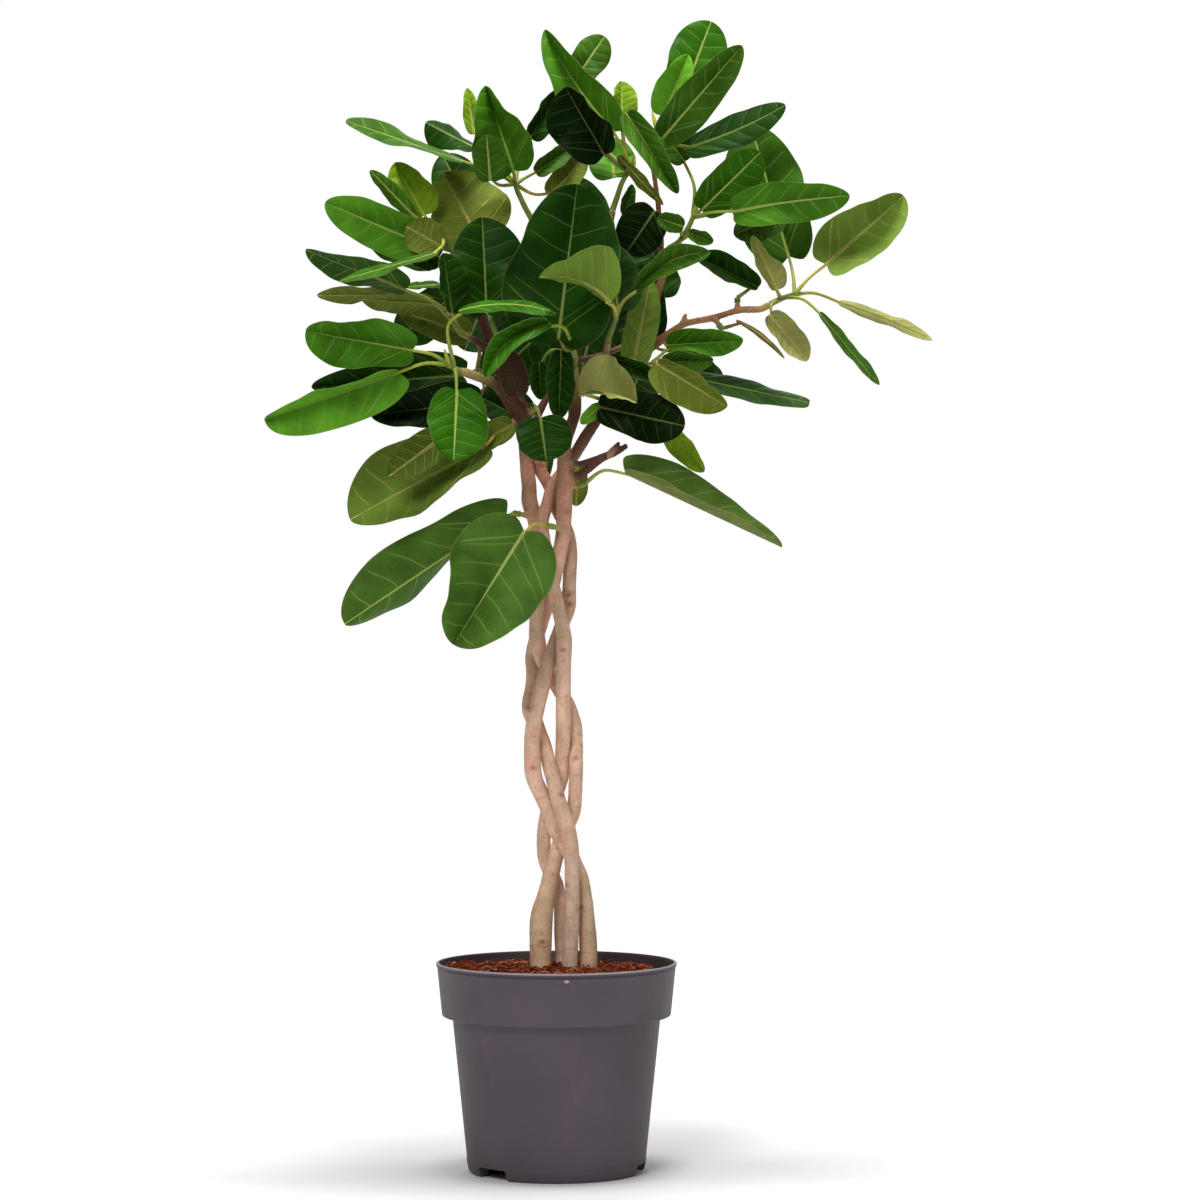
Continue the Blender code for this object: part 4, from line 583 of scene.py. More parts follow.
@dataclass(frozen=True)
class VeinRule:
    """Where the veins of a blade run and how thick they are, for the relief, the vein bars and the shader.

    A place is t, from base to tip, and u, from the left rim (-1) to the right rim (1). A strong pair of veins
    fans out from the foot. Beyond it the side veins leave the midrib at even steps and sweep towards the tip.
    """

    spacing: float = 0.182
    sweep: float = 0.3
    curl: float = 1.1
    right_shift: float = 0.35
    wander: float = 0.03
    wander_reach: float = 7.0
    wander_turn: float = 9.0
    pair_foot: float = 0.02
    pair_reach: float = 0.34
    midrib_girth: tuple[float, float] = (1.15, 0.3)
    pair_girth: tuple[float, float] = (0.55, 0.16)
    side_girth: tuple[float, float] = (0.42, 0.14)
    colour: Colour = rgb(184, 180, 92)
    raised: float = 0.4
    paleness: float = 0.45
    least_share: float = 0.4
    whole_width: float = 40.0
    midrib_end: float = 0.94
    midrib_points: int = 15
    side_span: tuple[float, float] = (0.03, 0.86)
    side_points: int = 8
    side_count: int = 8
    side_gap: float = 0.02
    side_end: float = 0.95
    fewest_points: int = 4

    def pair(self, u: np.ndarray) -> np.ndarray:
        """Finds the share of the length at which the strong pair of veins from the foot passes each u."""
        return self.pair_foot + self.pair_reach * np.abs(u)

    def phase(self, t: np.ndarray, u: np.ndarray) -> np.ndarray:
        """Counts the veins from the base: a whole number lies on a vein.

        Args:
            t: the share of the length.
            u: the share of the half width.

        Returns:
            The count at each place.
        """
        pull = self.sweep * np.abs(u) ** self.curl
        foot = (t - pull) / (1 - pull)
        wander = self.wander * np.sin(self.wander_reach * np.abs(u) + self.wander_turn * foot)
        return foot / self.spacing + np.where(u > 0, self.right_shift, 0.0) + wander

    def line(self, number: int, u: np.ndarray) -> np.ndarray:
        """Finds the share of the length at which a vein passes each u.

        Args:
            number: the vein's count from the base.
            u: the shares of the half width.

        Returns:
            The shares of the length.
        """
        wanted = number - np.where(u > 0, self.right_shift, 0.0)
        foot = self.spacing * wanted
        for _ in range(4):
            wander = self.wander * np.sin(self.wander_reach * np.abs(u) + self.wander_turn * foot)
            foot = self.spacing * (wanted - wander)
        pull = self.sweep * np.abs(u) ** self.curl
        return foot * (1 - pull) + pull


VEINS = VeinRule()


class PatternGroups:
    """Shader groups that several finishes share, each built once."""

    def __init__(self) -> None:
        """Builds the groups."""
        self.tone = self.uneven_tone()
        self.grain = self.fine_grain()
        self.leaf = self.leaf_pattern()

    @staticmethod
    def start(name: str, inputs: dict, outputs: dict) -> tuple[Wiring, Node, Node]:
        """Starts a group with its sockets.

        Args:
            name: the group's name.
            inputs: each input's kind and first value, by its name.
            outputs: each output's kind, by its name.

        Returns:
            The wiring in the group, the node of its inputs and the node of its outputs.
        """
        tree = bpy.data.node_groups.new(name, "ShaderNodeTree")
        add_inputs(tree, inputs)
        for label, kind in outputs.items():
            tree.interface.new_socket(name=label, in_out="OUTPUT", socket_type="NodeSocket" + kind)
        wiring = Wiring(tree)
        return wiring, wiring.add("NodeGroupInput"), wiring.add("NodeGroupOutput")

    def uneven_tone(self) -> NodeTree:
        """Makes a colour uneven in soft clouds, as grown and moulded surfaces are.

        Returns:
            The group: Vector, Colour, Scale and Amount in, Colour out.
        """
        inputs = {
            "Vector": ("Vector", None), "Colour": ("Color", None), "Scale": ("Float", 20.0),
            "Amount": ("Float", 0.3),
        }
        w, given, out = self.start("uneven tone", inputs, {"Colour": "Color"})
        cloud = w.band(w.noise(given.outputs["Vector"], given.outputs["Scale"], 3.0), 0.3, 0.7)
        low = w.math("SUBTRACT", 1.0, given.outputs["Amount"])
        factor = w.times_plus(cloud, w.times(given.outputs["Amount"], 2.0), low)
        scaled = w.add("ShaderNodeVectorMath", {0: given.outputs["Colour"], 1: factor}, operation="MULTIPLY")
        w.feed(out.inputs["Colour"], scaled.outputs[0])
        return w.tree

    def fine_grain(self) -> NodeTree:
        """Gives a fine grain for roughness and relief.

        Returns:
            The group: Vector and Scale in, Grain out.
        """
        w, given, out = self.start(
            "fine grain", {"Vector": ("Vector", None), "Scale": ("Float", 800.0)}, {"Grain": "Float"}
        )
        coarse = w.noise(given.outputs["Vector"], given.outputs["Scale"], 3.0, 0.6)
        fine = w.noise(given.outputs["Vector"], w.times(given.outputs["Scale"], 3.1), 2.0)
        w.feed(out.inputs["Grain"], w.times_plus(fine, 0.4, w.times(coarse, 0.6)))
        return w.tree

    def leaf_pattern(self) -> NodeTree:
        """Draws the veins of a blade from its share map and its flat map.

        Returns:
            The group: masks of the midrib, the side veins, their surround, the fine net, the rim and clouds,
            and the relief.
        """
        outputs = {name: "Float" for name in ("Midrib", "Veins", "Halo", "Net", "Rim", "Relief", "Cloud")}
        w, _, out = self.start("leaf pattern", {}, outputs)
        share = w.add("ShaderNodeSeparateXYZ", {0: w.add("ShaderNodeUVMap", uv_map="Blade").outputs[0]})
        flat_map = w.add("ShaderNodeUVMap", uv_map="Flat").outputs[0]
        flat = w.add("ShaderNodeSeparateXYZ", {0: flat_map})
        t = share.outputs[1]
        u = w.times_plus(share.outputs[0], 2.0, -1.0)
        reach = w.math("ABSOLUTE", u)
        pull = w.times(w.math("POWER", reach, VEINS.curl), VEINS.sweep)
        foot = w.math("DIVIDE", w.math("SUBTRACT", t, pull), w.math("SUBTRACT", 1.0, pull))
        turn = w.times_plus(foot, VEINS.wander_turn, w.times(reach, VEINS.wander_reach))
        count = w.times_plus(w.math("SINE", turn), VEINS.wander, w.math("DIVIDE", foot, VEINS.spacing))
        count = w.times_plus(w.math("GREATER_THAN", u, 0.0), VEINS.right_shift, count)
        away = w.math("ABSOLUTE", w.math("SUBTRACT", w.math("FRACT", w.math("ADD", count, 100.5)), 0.5))
        fade = w.times(w.band(reach, 1.0, 0.72), w.band(t, 1.0, 0.93))
        past = w.math("SUBTRACT", t, w.times_plus(reach, VEINS.pair_reach, VEINS.pair_foot))
        fade = w.times(fade, w.band(past, 0.0, 0.03))
        beside = w.math("ABSOLUTE", past)
        pair = w.times(w.band(beside, 0.011, 0.003), w.band(reach, 1.0, 0.8))
        veins = w.math("MAXIMUM", w.times(w.band(away, 0.03, 0.01), fade), pair)
        halo = w.times(w.band(away, 0.3, 0.0), fade)
        halo = w.math("MAXIMUM", halo, w.times(w.band(beside, 0.05, 0.0), w.band(reach, 1.0, 0.7)))
        width = w.times_plus(t, -0.0014, 0.0018)
        side = w.math("ABSOLUTE", flat.outputs[0])
        midrib = w.band(w.math("DIVIDE", side, width), 1.3, 0.6)
        net = w.band(w.cells(flat_map, 260.0, "DISTANCE_TO_EDGE").outputs["Distance"], 0.12, 0.02)
        relief = w.times(w.band(away, 0.0, 0.4), w.band(reach, 1.0, 0.8))
        relief = w.times_plus(net, -0.12, relief)
        w.feed(out.inputs["Midrib"], midrib)
        w.feed(out.inputs["Veins"], veins)
        w.feed(out.inputs["Halo"], halo)
        w.feed(out.inputs["Net"], net)
        w.feed(out.inputs["Rim"], w.band(reach, 0.975, 0.995))
        w.feed(out.inputs["Relief"], relief)
        w.feed(out.inputs["Cloud"], w.band(w.noise(flat_map, 26.0, 3.0), 0.32, 0.68))
        return w.tree


class Surface:
    """One material with a Principled shader, and the steps that wire it."""

    def __init__(self, name: str, groups: PatternGroups) -> None:
        """Starts the material.

        Args:
            name: the material's name.
            groups: the shared shader groups.
        """
        self.material = bpy.data.materials.new(name)
        self.material.use_nodes = True
        self.groups = groups
        self.w = Wiring(self.material.node_tree)
        self.shader = self.material.node_tree.nodes["Principled BSDF"]
        self.shader.inputs["Metallic"].default_value = 0.0

    def coordinates(self) -> Socket:
        """Gives the piece's own coordinates, in metres."""
        return self.w.add("ShaderNodeTexCoord").outputs["Object"]

    def group(self, tree: NodeTree, inputs: dict | None = None) -> Node:
        """Places a shared group in this material.

        Args:
            tree: the group.
            inputs: what each of its inputs gets.

        Returns:
            The group's node.
        """
        node = self.w.add("ShaderNodeGroup", node_tree=tree)
        for key, value in (inputs or {}).items():
            self.w.feed(node.inputs[key], value)
        return node

    def uneven(self, vector: Socket, colour: object, scale: float, amount: float) -> Socket:
        """Makes a colour uneven in clouds of a fineness per metre, by an amount either way."""
        inputs = {"Vector": vector, "Colour": colour, "Scale": scale, "Amount": amount}
        return self.group(self.groups.tone, inputs).outputs["Colour"]

    def grain(self, vector: Socket, scale: float) -> Socket:
        """Places the group with the fine grain."""
        return self.group(self.groups.grain, {"Vector": vector, "Scale": scale}).outputs[0]

    def set(self, **values: object) -> None:
        """Feeds the shader's inputs, with underscores for the spaces in their names."""
        for name, value in values.items():
            self.w.feed(self.shader.inputs[name.replace("_", " ")], value)

    def bump(self, height: Socket, distance: float, strength: float = 1.0) -> Socket:
        """Turns a height into a normal."""
        inputs = {"Height": height, "Distance": distance, "Strength": strength}
        return self.w.add("ShaderNodeBump", inputs).outputs[0]


class Finish:
    """Base of the finishes: each has a name and wires its own material."""

    name: str

    def dress(self, s: Surface) -> None:
        """Wires the surface, which each finish does in its own way."""
        raise NotImplementedError(self.name)

    def make(self, groups: PatternGroups) -> Material:
        """Builds the material.

        Args:
            groups: the shared shader groups.

        Returns:
            The material.
        """
        surface = Surface(self.name, groups)
        self.dress(surface)
        return surface.material


class LeafFinish(Finish):
    """Base of the finishes of a leaf's two faces."""

    scorched: Colour

    def scorch(self, w: Wiring, pattern: object, colour: Socket) -> Socket:
        """Browns a leaf at its rim and in clouds, as far as the piece is worn.

        Args:
            w: the wiring.
            pattern: the outputs of the leaf pattern.
            colour: the sound leaf's colour.

        Returns:
            The colour.
        """
        edge = w.times_plus(pattern["Rim"], 0.35, w.times(pattern["Cloud"], 0.5))
        return w.over(colour, self.scorched, w.band(edge, 0.42, 0.75), w.attribute("wear"))


@dataclass(frozen=True)
class LeafTopFinish(LeafFinish):
    """The leathery top face of a leaf, with sunken pale veins and a thin pale rim."""

    name: str = "leaf top"
    vein: Colour = rgb(148, 172, 92)
    midrib: Colour = rgb(176, 188, 98)
    rim: Colour = rgb(150, 165, 95)
    scorched: Colour = rgb(118, 76, 44)
    roughness: tuple[float, float] = (0.38, 0.52)

    def dress(self, s: Surface) -> None:
        """Wires the finish.

        Args:
            s: the surface that is wired.
        """
        w = s.w
        pattern = s.group(s.groups.leaf).outputs
        tint = w.attribute("tint", "Color")
        uneven = s.uneven(s.coordinates(), tint, 34.0, 0.22)
        bright = w.mix(1.0, tint, (1.5, 1.42, 1.25), "MULTIPLY")
        green = w.add("ShaderNodeSeparateColor", {0: tint}).outputs[1]
        # The veins, midrib and rim fade on the darkest tints, which are partly painted shade.
        shown = w.times_plus(w.band(green, 0.0, 0.14), 0.7, 0.3)
        colour = w.over(uneven, bright, pattern["Halo"], 0.2)
        colour = w.over(colour, bright, pattern["Net"], 0.2)
        pale = w.mix(0.35, self.vein, tint)
        colour = w.over(colour, pale, pattern["Veins"], w.times(shown, 0.7))
        colour = w.over(colour, w.mix(0.2, self.midrib, tint), pattern["Midrib"], shown)
        colour = w.over(colour, self.rim, pattern["Rim"], w.times(shown, 0.35))
        colour = self.scorch(w, pattern, colour)
        grain = s.grain(s.coordinates(), 700.0)
        low, high = self.roughness
        relief = w.times_plus(grain, 0.1, pattern["Relief"])
        relief = w.times_plus(pattern["Veins"], -0.25, relief)
        s.set(
            Base_Color=colour, Specular_IOR_Level=0.04,
            Roughness=w.times_plus(grain, high - low, low), Normal=s.bump(relief, 0.0004, 0.7),
        )


@dataclass(frozen=True)
class LeafUndersideFinish(LeafFinish):
    """The matt underside of a leaf, where the veins stand out and the fine net shows."""

    name: str = "leaf underside"
    vein: Colour = rgb(208, 208, 128)
    midrib: Colour = rgb(226, 208, 124)
    rim: Colour = rgb(150, 158, 90)
    scorched: Colour = rgb(122, 84, 52)

    def dress(self, s: Surface) -> None:
        """Wires the finish.

        Args:
            s: the surface that is wired.
        """
        w = s.w
        pattern = s.group(s.groups.leaf).outputs
        tint = w.attribute("tint", "Color")
        uneven = s.uneven(s.coordinates(), tint, 30.0, 0.16)
        bright = w.mix(1.0, tint, (1.3, 1.27, 1.2), "MULTIPLY")
        green = w.add("ShaderNodeSeparateColor", {0: tint}).outputs[1]
        shown = w.band(green, 0.035, 0.1)
        colour = w.over(uneven, bright, pattern["Halo"], 0.3)
        colour = w.over(colour, bright, pattern["Net"], 0.3)
        veins = w.times(pattern["Veins"], shown)
        colour = w.mix(veins, colour, w.mix(0.1, self.vein, tint))
        midrib = w.mix(0.1, self.midrib, tint)
        colour = w.over(colour, midrib, pattern["Midrib"], w.times(shown, 0.95))
        colour = w.over(colour, self.rim, pattern["Rim"], 0.35)
        colour = self.scorch(w, pattern, colour)
        grain = s.grain(s.coordinates(), 900.0)
        relief = w.times_plus(grain, 0.16, w.times(pattern["Relief"], -0.6))
        relief = w.times_plus(pattern["Veins"], 0.5, relief)
        s.set(
            Base_Color=colour, Specular_IOR_Level=0.04,
            Roughness=w.times_plus(grain, 0.2, 0.52), Normal=s.bump(relief, 0.0006, 0.8),
        )


@dataclass(frozen=True)
class StalkFinish(Finish):
    """Green stalks, twigs, buds and vein bars, coloured by the piece's own tint."""

    name: str = "green stalk"
    roughness: float = 0.42

    def dress(self, s: Surface) -> None:
        """Wires the finish.

        Args:
            s: the surface that is wired.
        """
        w = s.w
        tint = w.attribute("tint", "Color")
        place = s.coordinates()
        grain = s.grain(place, 900.0)
        s.set(
            Base_Color=s.uneven(place, tint, 90.0, 0.16), Specular_IOR_Level=0.2,
            Roughness=w.times_plus(grain, 0.2, self.roughness), Normal=s.bump(grain, 0.0002, 0.6),
        )


@dataclass(frozen=True)
class BarkFinish(Finish):
    """Smooth pinkish bark, mottled olive and pink, with fine freckles, faint rings and red-brown scars."""

    name: str = "bark"
    crevice: Colour = (0.64, 0.62, 0.56)
    lichen: Colour = rgb(164, 148, 102)
    blush: Colour = rgb(214, 150, 124)
    freckle: Colour = rgb(236, 214, 194)
    ring: Colour = rgb(134, 92, 72)
    scar: Colour = rgb(158, 82, 60)

    def dress(self, s: Surface) -> None:
        """Wires the finish.

        Args:
            s: the surface that is wired.
        """
        w = s.w
        place = s.coordinates()
        tint = w.attribute("tint", "Color")
        ring = w.attribute("ring")
        scar = w.attribute("scar")
        red = w.add("ShaderNodeSeparateColor", {0: tint}).outputs[0]
        # The lichen, blush, freckles, specks and rings show only on lighter tints, and fade on the limbs
        # darkened as painted shade inside the crown.
        lit = w.band(red, 0.16, 0.5)
        uneven = s.uneven(place, tint, 30.0, 0.18)
        patches = w.noise(w.stretched(place, (1.0, 1.0, 0.55)), 75.0, 5.0, 0.65)
        colour = w.over(uneven, self.lichen, w.band(patches, 0.47, 0.62), w.times(lit, 0.4))
        warm = w.band(w.noise(place, 42.0, 3.0, 0.6), 0.5, 0.66)
        colour = w.over(colour, self.blush, warm, w.times(lit, 0.5))
        streaks = w.noise(w.stretched(place, (1.0, 1.0, 0.3)), 330.0, 4.0, 0.65)
        deeper = w.mix(1.0, tint, self.crevice, "MULTIPLY")
        colour = w.over(colour, deeper, w.band(streaks, 0.5, 0.68), 0.55)
        dots = w.cells(w.stretched(place, (1.0, 1.0, 1.3)), 300.0)
        chosen = w.band(w.noise(place, 700.0), 0.47, 0.53)
        freckles = w.times(w.band(dots.outputs["Distance"], 0.34, 0.16), chosen)
        colour = w.over(colour, self.freckle, freckles, w.times(lit, 0.4))
        specks = w.band(w.noise(place, 420.0, 3.0, 0.7), 0.58, 0.66)
        colour = w.over(colour, self.ring, specks, w.times(lit, 0.35))
        broken = w.times(ring, w.band(w.noise(place, 150.0, 2.0), 0.45, 0.62))
        colour = w.over(colour, self.ring, broken, w.times(lit, 0.35))
        colour = w.over(colour, self.scar, scar, 0.85)
        grain = s.grain(place, 650.0)
        relief = w.times_plus(streaks, 0.5, w.times(grain, 0.5))
        relief = w.times_plus(freckles, 0.35, relief)
        s.set(
            Base_Color=colour, Roughness=w.times_plus(grain, 0.2, 0.62), Specular_IOR_Level=0.3,
            Normal=s.bump(relief, 0.0005, 0.7),
        )


@dataclass(frozen=True)
class PlasticFinish(Finish):
    """Thin matt nursery-pot plastic, dark grey with a trace of purple, finely speckled, and soiled inside.

    The soiled inside, the painted shade under the lip and the painted highlight on its top edge are placed in
    metres.
    """

    name: str = "moulded plastic"
    colour: Colour = rgb(78, 68, 76)
    speck: Colour = rgb(112, 104, 112)
    dust: Colour = rgb(128, 116, 112)
    soiled: Colour = rgb(50, 36, 34)
    lip_highlight: Colour = rgb(176, 164, 172)
    under_lip_shade: Colour = rgb(38, 32, 38)
    inner_radius: float = 0.0878
    inner_slope: float = 0.087
    inner_foot: float = 0.14
    lip: Point = (0.1776, 0.1790, 0.1804)

    def dress(self, s: Surface) -> None:
        """Wires the finish.

        Args:
            s: the surface that is wired.
        """
        w = s.w
        place = s.coordinates()
        colour = s.uneven(place, self.colour, 14.0, 0.1)
        fine = w.noise(place, 1500.0, 3.0, 0.7)
        colour = w.over(colour, self.speck, w.band(fine, 0.55, 0.75), 0.3)
        smears = w.noise(w.stretched(place, (1.0, 1.0, 0.35)), 30.0, 5.0, 0.6)
        colour = w.over(colour, self.dust, w.band(smears, 0.56, 0.8), 0.16)
        axis = w.add("ShaderNodeSeparateXYZ", {0: place}).outputs
        level = w.add("ShaderNodeCombineXYZ", {0: axis[0], 1: axis[1]}).outputs[0]
        radius = w.add("ShaderNodeVectorMath", {0: level}, operation="LENGTH").outputs["Value"]
        wall = w.times_plus(axis[2], -self.inner_slope, radius)
        inside = w.times(w.band(wall, self.inner_radius, self.inner_radius - 0.0004),
                        w.band(axis[2], self.inner_foot, self.inner_foot + 0.005))
        # Painted shade in the step just under the lip, and a painted highlight along the lip's top edge.
        low, middle, high = self.lip
        under_lip = w.times(w.band(axis[2], low - 0.0008, low), w.band(axis[2], middle + 0.0004, middle))
        colour = w.over(colour, self.under_lip_shade, under_lip, 0.8)
        colour = w.over(colour, self.lip_highlight, w.band(axis[2], high, high + 0.0008), 0.7)
        colour = w.over(colour, self.soiled, inside, 0.85)
        grain = s.grain(place, 1100.0)
        s.set(
            Base_Color=colour, Roughness=w.times_plus(smears, 0.2, 0.45), Specular_IOR_Level=0.3,
            Normal=s.bump(grain, 0.00012, 0.6),
        )


@dataclass(frozen=True)
class SoilFinish(Finish):
    """Moist coco soil between its loose fibres."""

    name: str = "coco soil"
    dark: Colour = rgb(98, 40, 23)
    light: Colour = rgb(184, 90, 52)

    def dress(self, s: Surface) -> None:
        """Wires the finish.

        Args:
            s: the surface that is wired.
        """
        w = s.w
        place = s.coordinates()
        lumps = w.noise(place, 180.0, 6.0, 0.7)
        colour = w.mix(w.band(lumps, 0.35, 0.65), self.dark, self.light)
        grain = s.grain(place, 900.0)
        relief = w.times_plus(lumps, 0.7, w.times(grain, 0.3))
        s.set(Base_Color=colour, Roughness=0.95, Specular_IOR_Level=0.05, Normal=s.bump(relief, 0.003, 1.0))


@dataclass(frozen=True)
class FibreFinish(Finish):
    """Loose coco fibres, crumbs and chips, each with its own shade from dark brown to straw."""

    name: str = "coco fibre"
    shades: tuple[tuple[float, Colour], ...] = (
        (0.0, rgb(58, 22, 14)), (0.3, rgb(106, 42, 26)), (0.62, rgb(146, 66, 40)), (0.88, rgb(172, 94, 60)),
        (1.0, rgb(204, 158, 118)),
    )

    def dress(self, s: Surface) -> None:
        """Wires the finish.

        Args:
            s: the surface that is wired.
        """
        w = s.w
        place = s.coordinates()
        ramp = w.add("ShaderNodeValToRGB", {0: w.attribute("shade")})
        stops = ramp.color_ramp.elements
        while len(stops) < len(self.shades):
            stops.new(0.5)
        for stop, (at, colour) in zip(stops, self.shades):
            stop.position = at
            stop.color = (*colour, 1.0)
        grain = s.grain(place, 1500.0)
        s.set(
            Base_Color=s.uneven(place, ramp.outputs[0], 300.0, 0.25), Roughness=0.9,
            Specular_IOR_Level=0.05, Normal=s.bump(grain, 0.0004, 0.8),
        )


@dataclass(frozen=True)
class FloorFinish(Finish):
    """The plain pale floor, which fades into the pale surroundings away from the plant."""

    name: str = "pale floor"
    colour: Colour = (0.86, 0.86, 0.86)
    whole_to: float = 1.1
    gone_at: float = 1.9

    def dress(self, s: Surface) -> None:
        """Wires the finish.

        Args:
            s: the surface that is wired.
        """
        w = s.w
        reach = w.add("ShaderNodeVectorMath", {0: s.coordinates()}, operation="LENGTH").outputs["Value"]
        s.set(
            Base_Color=self.colour, Roughness=0.9, Specular_IOR_Level=0.1,
            Alpha=w.band(reach, self.gone_at, self.whole_to),
        )


@dataclass(frozen=True)
class Finishes:
    """All the materials of the plant, its pot and the studio."""

    leaf_top: Material
    leaf_underside: Material
    stalk: Material
    bark: Material
    plastic: Material
    pale_plastic: Material
    soil: Material
    fibre: Material
    floor: Material

    @classmethod
    def make(cls) -> "Finishes":
        """Builds the shared groups and every material from them.

        Returns:
            The finishes.
        """
        groups = PatternGroups()
        scuffed = PlasticFinish("scuffed plastic", rgb(160, 152, 156), rgb(186, 178, 180), rgb(140, 130, 132))
        return cls(
            LeafTopFinish().make(groups), LeafUndersideFinish().make(groups), StalkFinish().make(groups),
            BarkFinish().make(groups), PlasticFinish().make(groups), scuffed.make(groups),
            SoilFinish().make(groups), FibreFinish().make(groups), FloorFinish().make(groups),
        )


class GrowthTree:
    """Base of the Geometry Nodes trees: named inputs, one shape out, realised and with its material set."""

    def __init__(self, name: str, inputs: dict[str, tuple[str, object]]) -> None:
        """Starts the tree with its sockets.

        Args:
            name: the tree's name.
            inputs: each input's kind and first value, by its name.
        """
        self.tree = bpy.data.node_groups.new(name, "GeometryNodeTree")
        sockets = self.tree.interface
        sockets.new_socket(name="Shape", in_out="INPUT", socket_type="NodeSocketGeometry")
        add_inputs(self.tree, inputs)
        sockets.new_socket(name="Finish", in_out="INPUT", socket_type="NodeSocketMaterial")
        sockets.new_socket(name="Grown", in_out="OUTPUT", socket_type="NodeSocketGeometry")
        self.w = Wiring(self.tree)
        self.given = self.w.add("NodeGroupInput").outputs

    def end(self, shape: Socket) -> None:
        """Ends the tree: makes the shape real, smooth and dressed.

        Args:
            shape: the geometry that comes out.
        """
        real = self.w.add("GeometryNodeRealizeInstances", {0: shape}).outputs[0]
        smooth = self.w.add("GeometryNodeSetShadeSmooth", {0: real}).outputs[0]
        dressed = self.w.add("GeometryNodeSetMaterial", {0: smooth, "Material": self.given["Finish"]})
        self.w.add("NodeGroupOutput", {0: dressed.outputs[0]})

    def grow(self, name: str, mesh: Mesh, values: dict, voxel: float = 0.0) -> Mesh:
        """Runs the tree on a mesh and keeps the result as a plain mesh.

        Args:
            name: the new mesh's name.
            mesh: the mesh that the tree starts from.
            values: the inputs' values by name.
            voxel: the cell size of a remesh that fuses what touches, in metres; 0 for none.

        Returns:
            The plain mesh.
        """
        carrier = add_object(name + "_carrier", mesh)
        modifier = carrier.modifiers.new("Growth", "NODES")
        modifier.node_group = self.tree
        for label, value in values.items():
            modifier[self.tree.interface.items_tree[label].identifier] = value
        if voxel:
            fuse = carrier.modifiers.new("Fuse", "REMESH")
            fuse.mode = "VOXEL"
            fuse.voxel_size = voxel
            fuse.use_smooth_shade = True
            ease = carrier.modifiers.new("Ease", "SMOOTH")
            ease.factor = 0.5
            ease.iterations = 6
        graph = bpy.context.evaluated_depsgraph_get()
        grown = bpy.data.meshes.new_from_object(
            carrier.evaluated_get(graph), preserve_all_data_layers=True, depsgraph=graph
        )
        bpy.data.objects.remove(carrier)
        grown.name = name
        return grown


class RoundBarTree(GrowthTree):
    """Grows round bars on lines whose points carry their radius as girth, in metres."""

    def __init__(self) -> None:
        """Builds the tree."""
        super().__init__("round bars", {
            "Sides": ("Int", 8), "Knobbliness": ("Float", 0.0), "Knob Scale": ("Float", 60.0),
        })
        w = self.w
        lines = w.add("GeometryNodeMeshToCurve", {0: self.given["Shape"]}).outputs[0]
        ring = w.add("GeometryNodeCurvePrimitiveCircle", {"Resolution": self.given["Sides"], "Radius": 1.0})
        girth = w.add("GeometryNodeInputNamedAttribute", {"Name": "girth"}, data_type="FLOAT").outputs[0]
        bars = w.add("GeometryNodeCurveToMesh", {
            "Curve": lines, "Profile Curve": ring.outputs[0], "Scale": girth, "Fill Caps": True,
        }).outputs[0]
        place = w.add("GeometryNodeInputPosition").outputs[0]
        rough = w.math("SUBTRACT", w.noise(place, self.given["Knob Scale"], 2.0), 0.5)
        height = w.times(rough, self.given["Knobbliness"])
        normal = w.add("GeometryNodeInputNormal").outputs[0]
        offset = w.add("ShaderNodeVectorMath", {0: normal, "Scale": height}, operation="SCALE").outputs[0]
        self.end(w.add("GeometryNodeSetPosition", {0: bars, "Offset": offset}).outputs[0])


